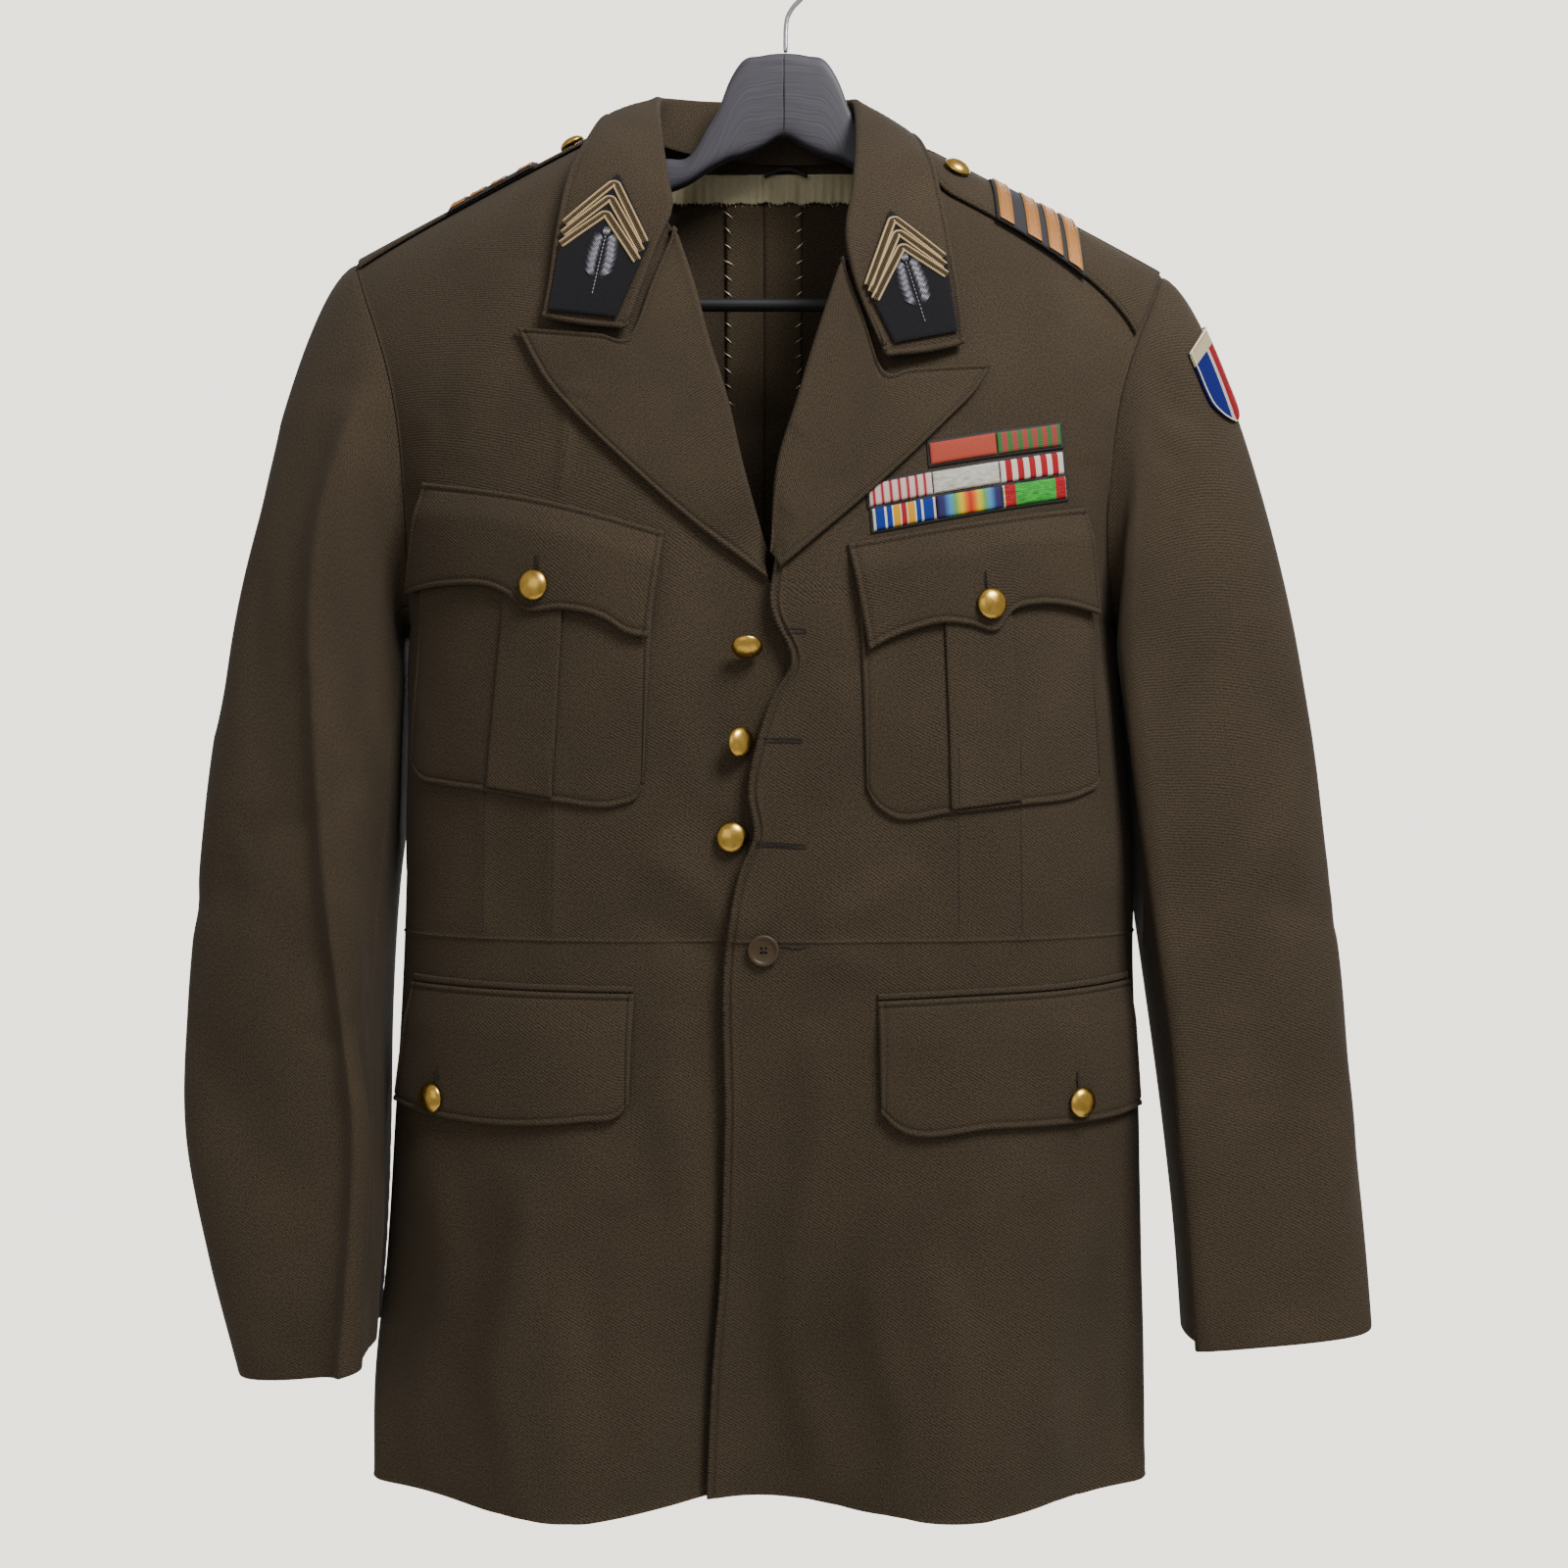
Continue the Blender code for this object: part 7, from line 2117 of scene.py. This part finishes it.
# %% [markdown]
# The waist button is moulded: a rounded rim round a sunk middle, with four holes. The
# holes are cut with rods, and two bars of thread cross between them.

# %% Waist button
HORN_RINGS = [(0.80, 0.0), (0.93, 0.03), (1.0, 0.12), (0.99, 0.20), (0.94, 0.26), (0.86, 0.285), (0.78, 0.26),
              (0.72, 0.20), (0.66, 0.17), (0.30, 0.16), (0.05, 0.16)]
HOLE_OUT = 0.20
horn_pattern = turned_by_hand("horn_button_pattern", HORN_RINGS, HORN)
for turn in range(4):
    bpy.ops.object.select_all(action="DESELECT")
    spot = (HOLE_OUT * cos(pi / 4 + turn * pi / 2), HOLE_OUT * sin(pi / 4 + turn * pi / 2), 0.1)
    bpy.ops.mesh.primitive_cylinder_add(vertices=16, radius=0.085, depth=1.0, location=spot)
    drill = bpy.context.active_object
    cut = horn_pattern.modifiers.new("hole", "BOOLEAN")
    cut.operation = "DIFFERENCE"
    cut.object = drill
    apply_all(horn_pattern)
    bpy.data.objects.remove(drill, do_unlink=True)
base, normal = on_surface(front_tree, *WAIST_BUTTON_PLACE)
waist_place = base + normal * LIFT
seated(horn_pattern, "horn_button_waist", WAIST_BUTTON_RADIUS, waist_place, normal, ("button_waist",))
bpy.data.objects.remove(horn_pattern, do_unlink=True)
reach = HOLE_OUT * WAIST_BUTTON_RADIUS * 1.5
thread_base = np.array(waist_place + normal * (0.19 * WAIST_BUTTON_RADIUS))
crossing = [np.array([1.0, 0, 1.0]), np.array([1.0, 0, -1.0])]
sewn("waist_button_thread", [lenses([thread_base], [way], [np.array(normal)], 2 * reach, 0.0011, 0.0006)
                             for way in crossing], BROWN_THREAD)


# %% [markdown]
# The hanger is two pieces of beech joined in the middle, sawn to a dome over the neck with
# arms that run out under the shoulders. Its edges are rounded over. The bar between the
# arms is a turned rod, and the hook is chromed wire bent round a former.


# %% Hanger
def hanger_sections():
    """Rows of the wood from one arm's end to the other: x, top and bottom."""
    last = HANGER_HEAD[-1]
    middle = body_line(SHOULDER_TOP)[0]
    sections = []
    for side in (RIGHT, LEFT):
        past_neck = abs(side * ARM_END - middle) - NECK_HALF
        end_top = SHOULDER_TOP - side * SHOULDER_LEAN - SHOULDER_SLOPE * past_neck - UNDER_RIDGE
        arm = [(row.out, row.top, row.bottom) for row in HANGER_HEAD[1:]]
        for out in (0.12, LEG_INSIDE - 0.0002, LEG_INSIDE, ARM_END - 0.004, ARM_END):
            top = last.top + (end_top - last.top) * (out - last.out) / (ARM_END - last.out)
            arm.append((out, top, top - ARM_DEPTH if out < LEG_INSIDE else LEG_BOTTOM))
        out, top, bottom = arm[-1]
        arm[-1] = (out, top - 0.003, bottom + 0.004)
        sections.append([(side * out, top, bottom) for out, top, bottom in arm])
    return sections[0][::-1] + [(0.0, HANGER_HEAD[0].top, HANGER_HEAD[0].bottom)] + sections[1]


HEAD_REACH = HANGER_HEAD[-1].out + 1e-9
RING_STEPS = 28
WOOD_ROUND = 0.45  # of the rings' corners, where 1 is an ellipse
GROOVE = 0.0002  # the depth of the joint between the halves
GROOVE_HALF = 0.0003


def wood_ring(x, top, bottom):
    """A rounded rectangle round the wood at a place along it, drawn in at the joint."""
    groove = GROOVE if abs(x) < GROOVE_HALF else 0
    half, top = WOOD_HALF - groove, top - groove
    turn = np.linspace(0, 2 * pi, RING_STEPS, endpoint=False) + pi / RING_STEPS
    y = WOOD_Y + half * np.sign(np.cos(turn)) * np.abs(np.cos(turn)) ** WOOD_ROUND
    height = (top - bottom) / 2
    power = WOOD_ROUND * 2 * half / height + 0.12
    z = (top + bottom) / 2 + height * np.sign(np.sin(turn)) * np.abs(np.sin(turn)) ** power
    return np.stack([x + 0 * y, y, z], axis=-1)


sections = np.array(hanger_sections())
head = sections[np.abs(sections[:, 0]) <= HEAD_REACH]
half_x = np.append(0.0004, np.linspace(0.0009, HANGER_HEAD[-1].out, 60))
head_x = np.concatenate([-half_x[::-1], [0], half_x])
head_rows = np.column_stack([head_x] + [through(head[:, 0], head[:, k], head_x) for k in (1, 2)])
wood_rows = np.concatenate([sections[np.abs(sections[:, 0]) > HEAD_REACH], head_rows])
rings = np.array([wood_ring(*row) for row in wood_rows[np.argsort(wood_rows[:, 0])]])
below_top = rings[:, :, 2].max(axis=1)[:, None] - rings[:, :, 2]
run = run_of(rings[:, :, [0, 2]].mean(axis=1))
wood_uv = np.stack([run[:, None] + 0 * below_top, below_top + rings[:, :, 1]], axis=-1)
hanger = tube("hanger_beech", rings, wood_uv, WOOD)
face_out(hanger)
on_tunic(hanger, ("hanger_wood",))
bar_line = [(x, WOOD_Y, BAR_Z) for x in np.linspace(-BAR_END, BAR_END, 40)]
rod("hanger_bar_beech", bar_line, BAR_RADIUS, BLACK_WOOD, ("hanger_bar",), sides=20)
stem = [(0.001, 0, HANGER_HEAD[0].top + 0.0004), (0.001, 0, -0.060), (0.0012, 0, -0.053),
        (0.0022, 0, -0.0465), (0.0055, 0, -0.0405), (0.0098, 0, -0.0360)]
bend = [(HOOK_RADIUS * cos(radians(a)), 0, WIRE_RADIUS - HOOK_RADIUS + HOOK_RADIUS * sin(radians(a)))
        for a in range(-46, 208, 18)]
wire = np.array(stem + bend)
run = run_of(wire)
rod("hanger_hook_wire", through(run, wire, np.linspace(0, run[-1], 90)), WIRE_RADIUS, CHROME,
    ("hanger_hook",), sides=14)
loop_x = np.linspace(-0.0115, 0.0145, 24)
loop_z = -0.1305 + 0.0045 * np.sin(np.linspace(0, pi, 24))
loop = inside_back(np.stack([loop_x, loop_x]), np.stack([loop_z, loop_z - 0.001]), INSIDE_LIFT + 0.0024)[0]
rod("hanger_loop", loop, 0.0013, BLACK_TAPE, sides=8)
seam_top, seam_foot = HANGER_HEAD[0].top, HANGER_HEAD[0].bottom
seam_at = [np.array([0, WOOD_Y - WOOD_HALF - 0.0001, (seam_top + seam_foot) / 2])]
joint = lenses(seam_at, [(0, 0, 1)], [(0, -1, 0)], (seam_top - seam_foot) * 1.2, 0.0010, 0.00012)
sewn("hanger_joint_line", [joint], SLIT_DARK)
print("hanger:", len(rings), "sections")

# %% [markdown]
# The tunic hangs before a pale, even light, as against a plain wall. A pale floor lies
# below, a large soft light comes from the upper right of the front and a weaker one fills
# from the left. The camera stands a metre off, level with the middle of the tunic.

# %% Floor, light and camera
SOFT_LIGHT = 0.66  # what falls on the tunic from all round
WALL_LIGHT = 3.0  # how bright the wall behind it looks
world = bpy.data.worlds.new("pale_surround")
bpy.context.scene.world = world
world.use_nodes = True
world_tree = world.node_tree
lighting = world_tree.nodes["Background"]
lighting.inputs["Color"].default_value = colour("#F6F2EC")
lighting.inputs["Strength"].default_value = SOFT_LIGHT
wall = add_node(world_tree, "Background", {"Color": colour("#F2ECE0"), "Strength": WALL_LIGHT})
seen = add_node(world_tree, "LightPath").outputs["Is Camera Ray"]
both = add_node(world_tree, "MixShader", {0: seen, 1: lighting.outputs[0], 2: wall.outputs[0]})
world_tree.links.new(both.outputs[0], world_tree.nodes["World Output"].inputs["Surface"])


def soft_light(name, place, aim, size, power):
    """A square area light that faces a point."""
    lamp = bpy.data.lights.new(name, "AREA")
    lamp.size = size
    lamp.energy = power
    thing = bpy.data.objects.new(name, lamp)
    thing.location = place
    thing.rotation_euler = (Vector(aim) - Vector(place)).to_track_quat("-Z", "Y").to_euler()
    collection.objects.link(thing)


soft_light("window", (0.95, -1.30, 1.15), (0, 0, -0.35), 0.8, 86)
soft_light("fill", (-1.0, -2.2, 0.1), (0, 0, -0.4), 1.6, 10)
soft_light("back_fill", (0.6, 2.2, 0.6), (0, 0, -0.5), 1.6, 60)

FLOOR_Z = -1.40
FLOOR_HALF = 0.75
bpy.ops.object.select_all(action="DESELECT")
bpy.ops.mesh.primitive_plane_add(size=2 * FLOOR_HALF, location=(0, 0.1, FLOOR_Z))
floor = bpy.context.active_object
floor.name = "floor"
PALE = patterned(
    "pale_plaster_floor", "Object", {"Scale": 6.0}, (colour("#DEDBD4"), colour("#E8E5DF")), Roughness=0.8,
)
floor.data.materials.append(PALE)

FOCAL_PIXELS = 1738  # in a frame 1600 pixels wide
FRAME_PIXELS = 1600
SENSOR = 36.0
CAMERA_PLACE = (0, -1.03, -0.51)
lens = bpy.data.cameras.new("camera")
lens.sensor_width = SENSOR
lens.lens = SENSOR * FOCAL_PIXELS / FRAME_PIXELS
camera = bpy.data.objects.new("camera", lens)
camera.location = CAMERA_PLACE
camera.rotation_euler = (pi / 2, 0, 0)
collection.objects.link(camera)
bpy.context.scene.camera = camera
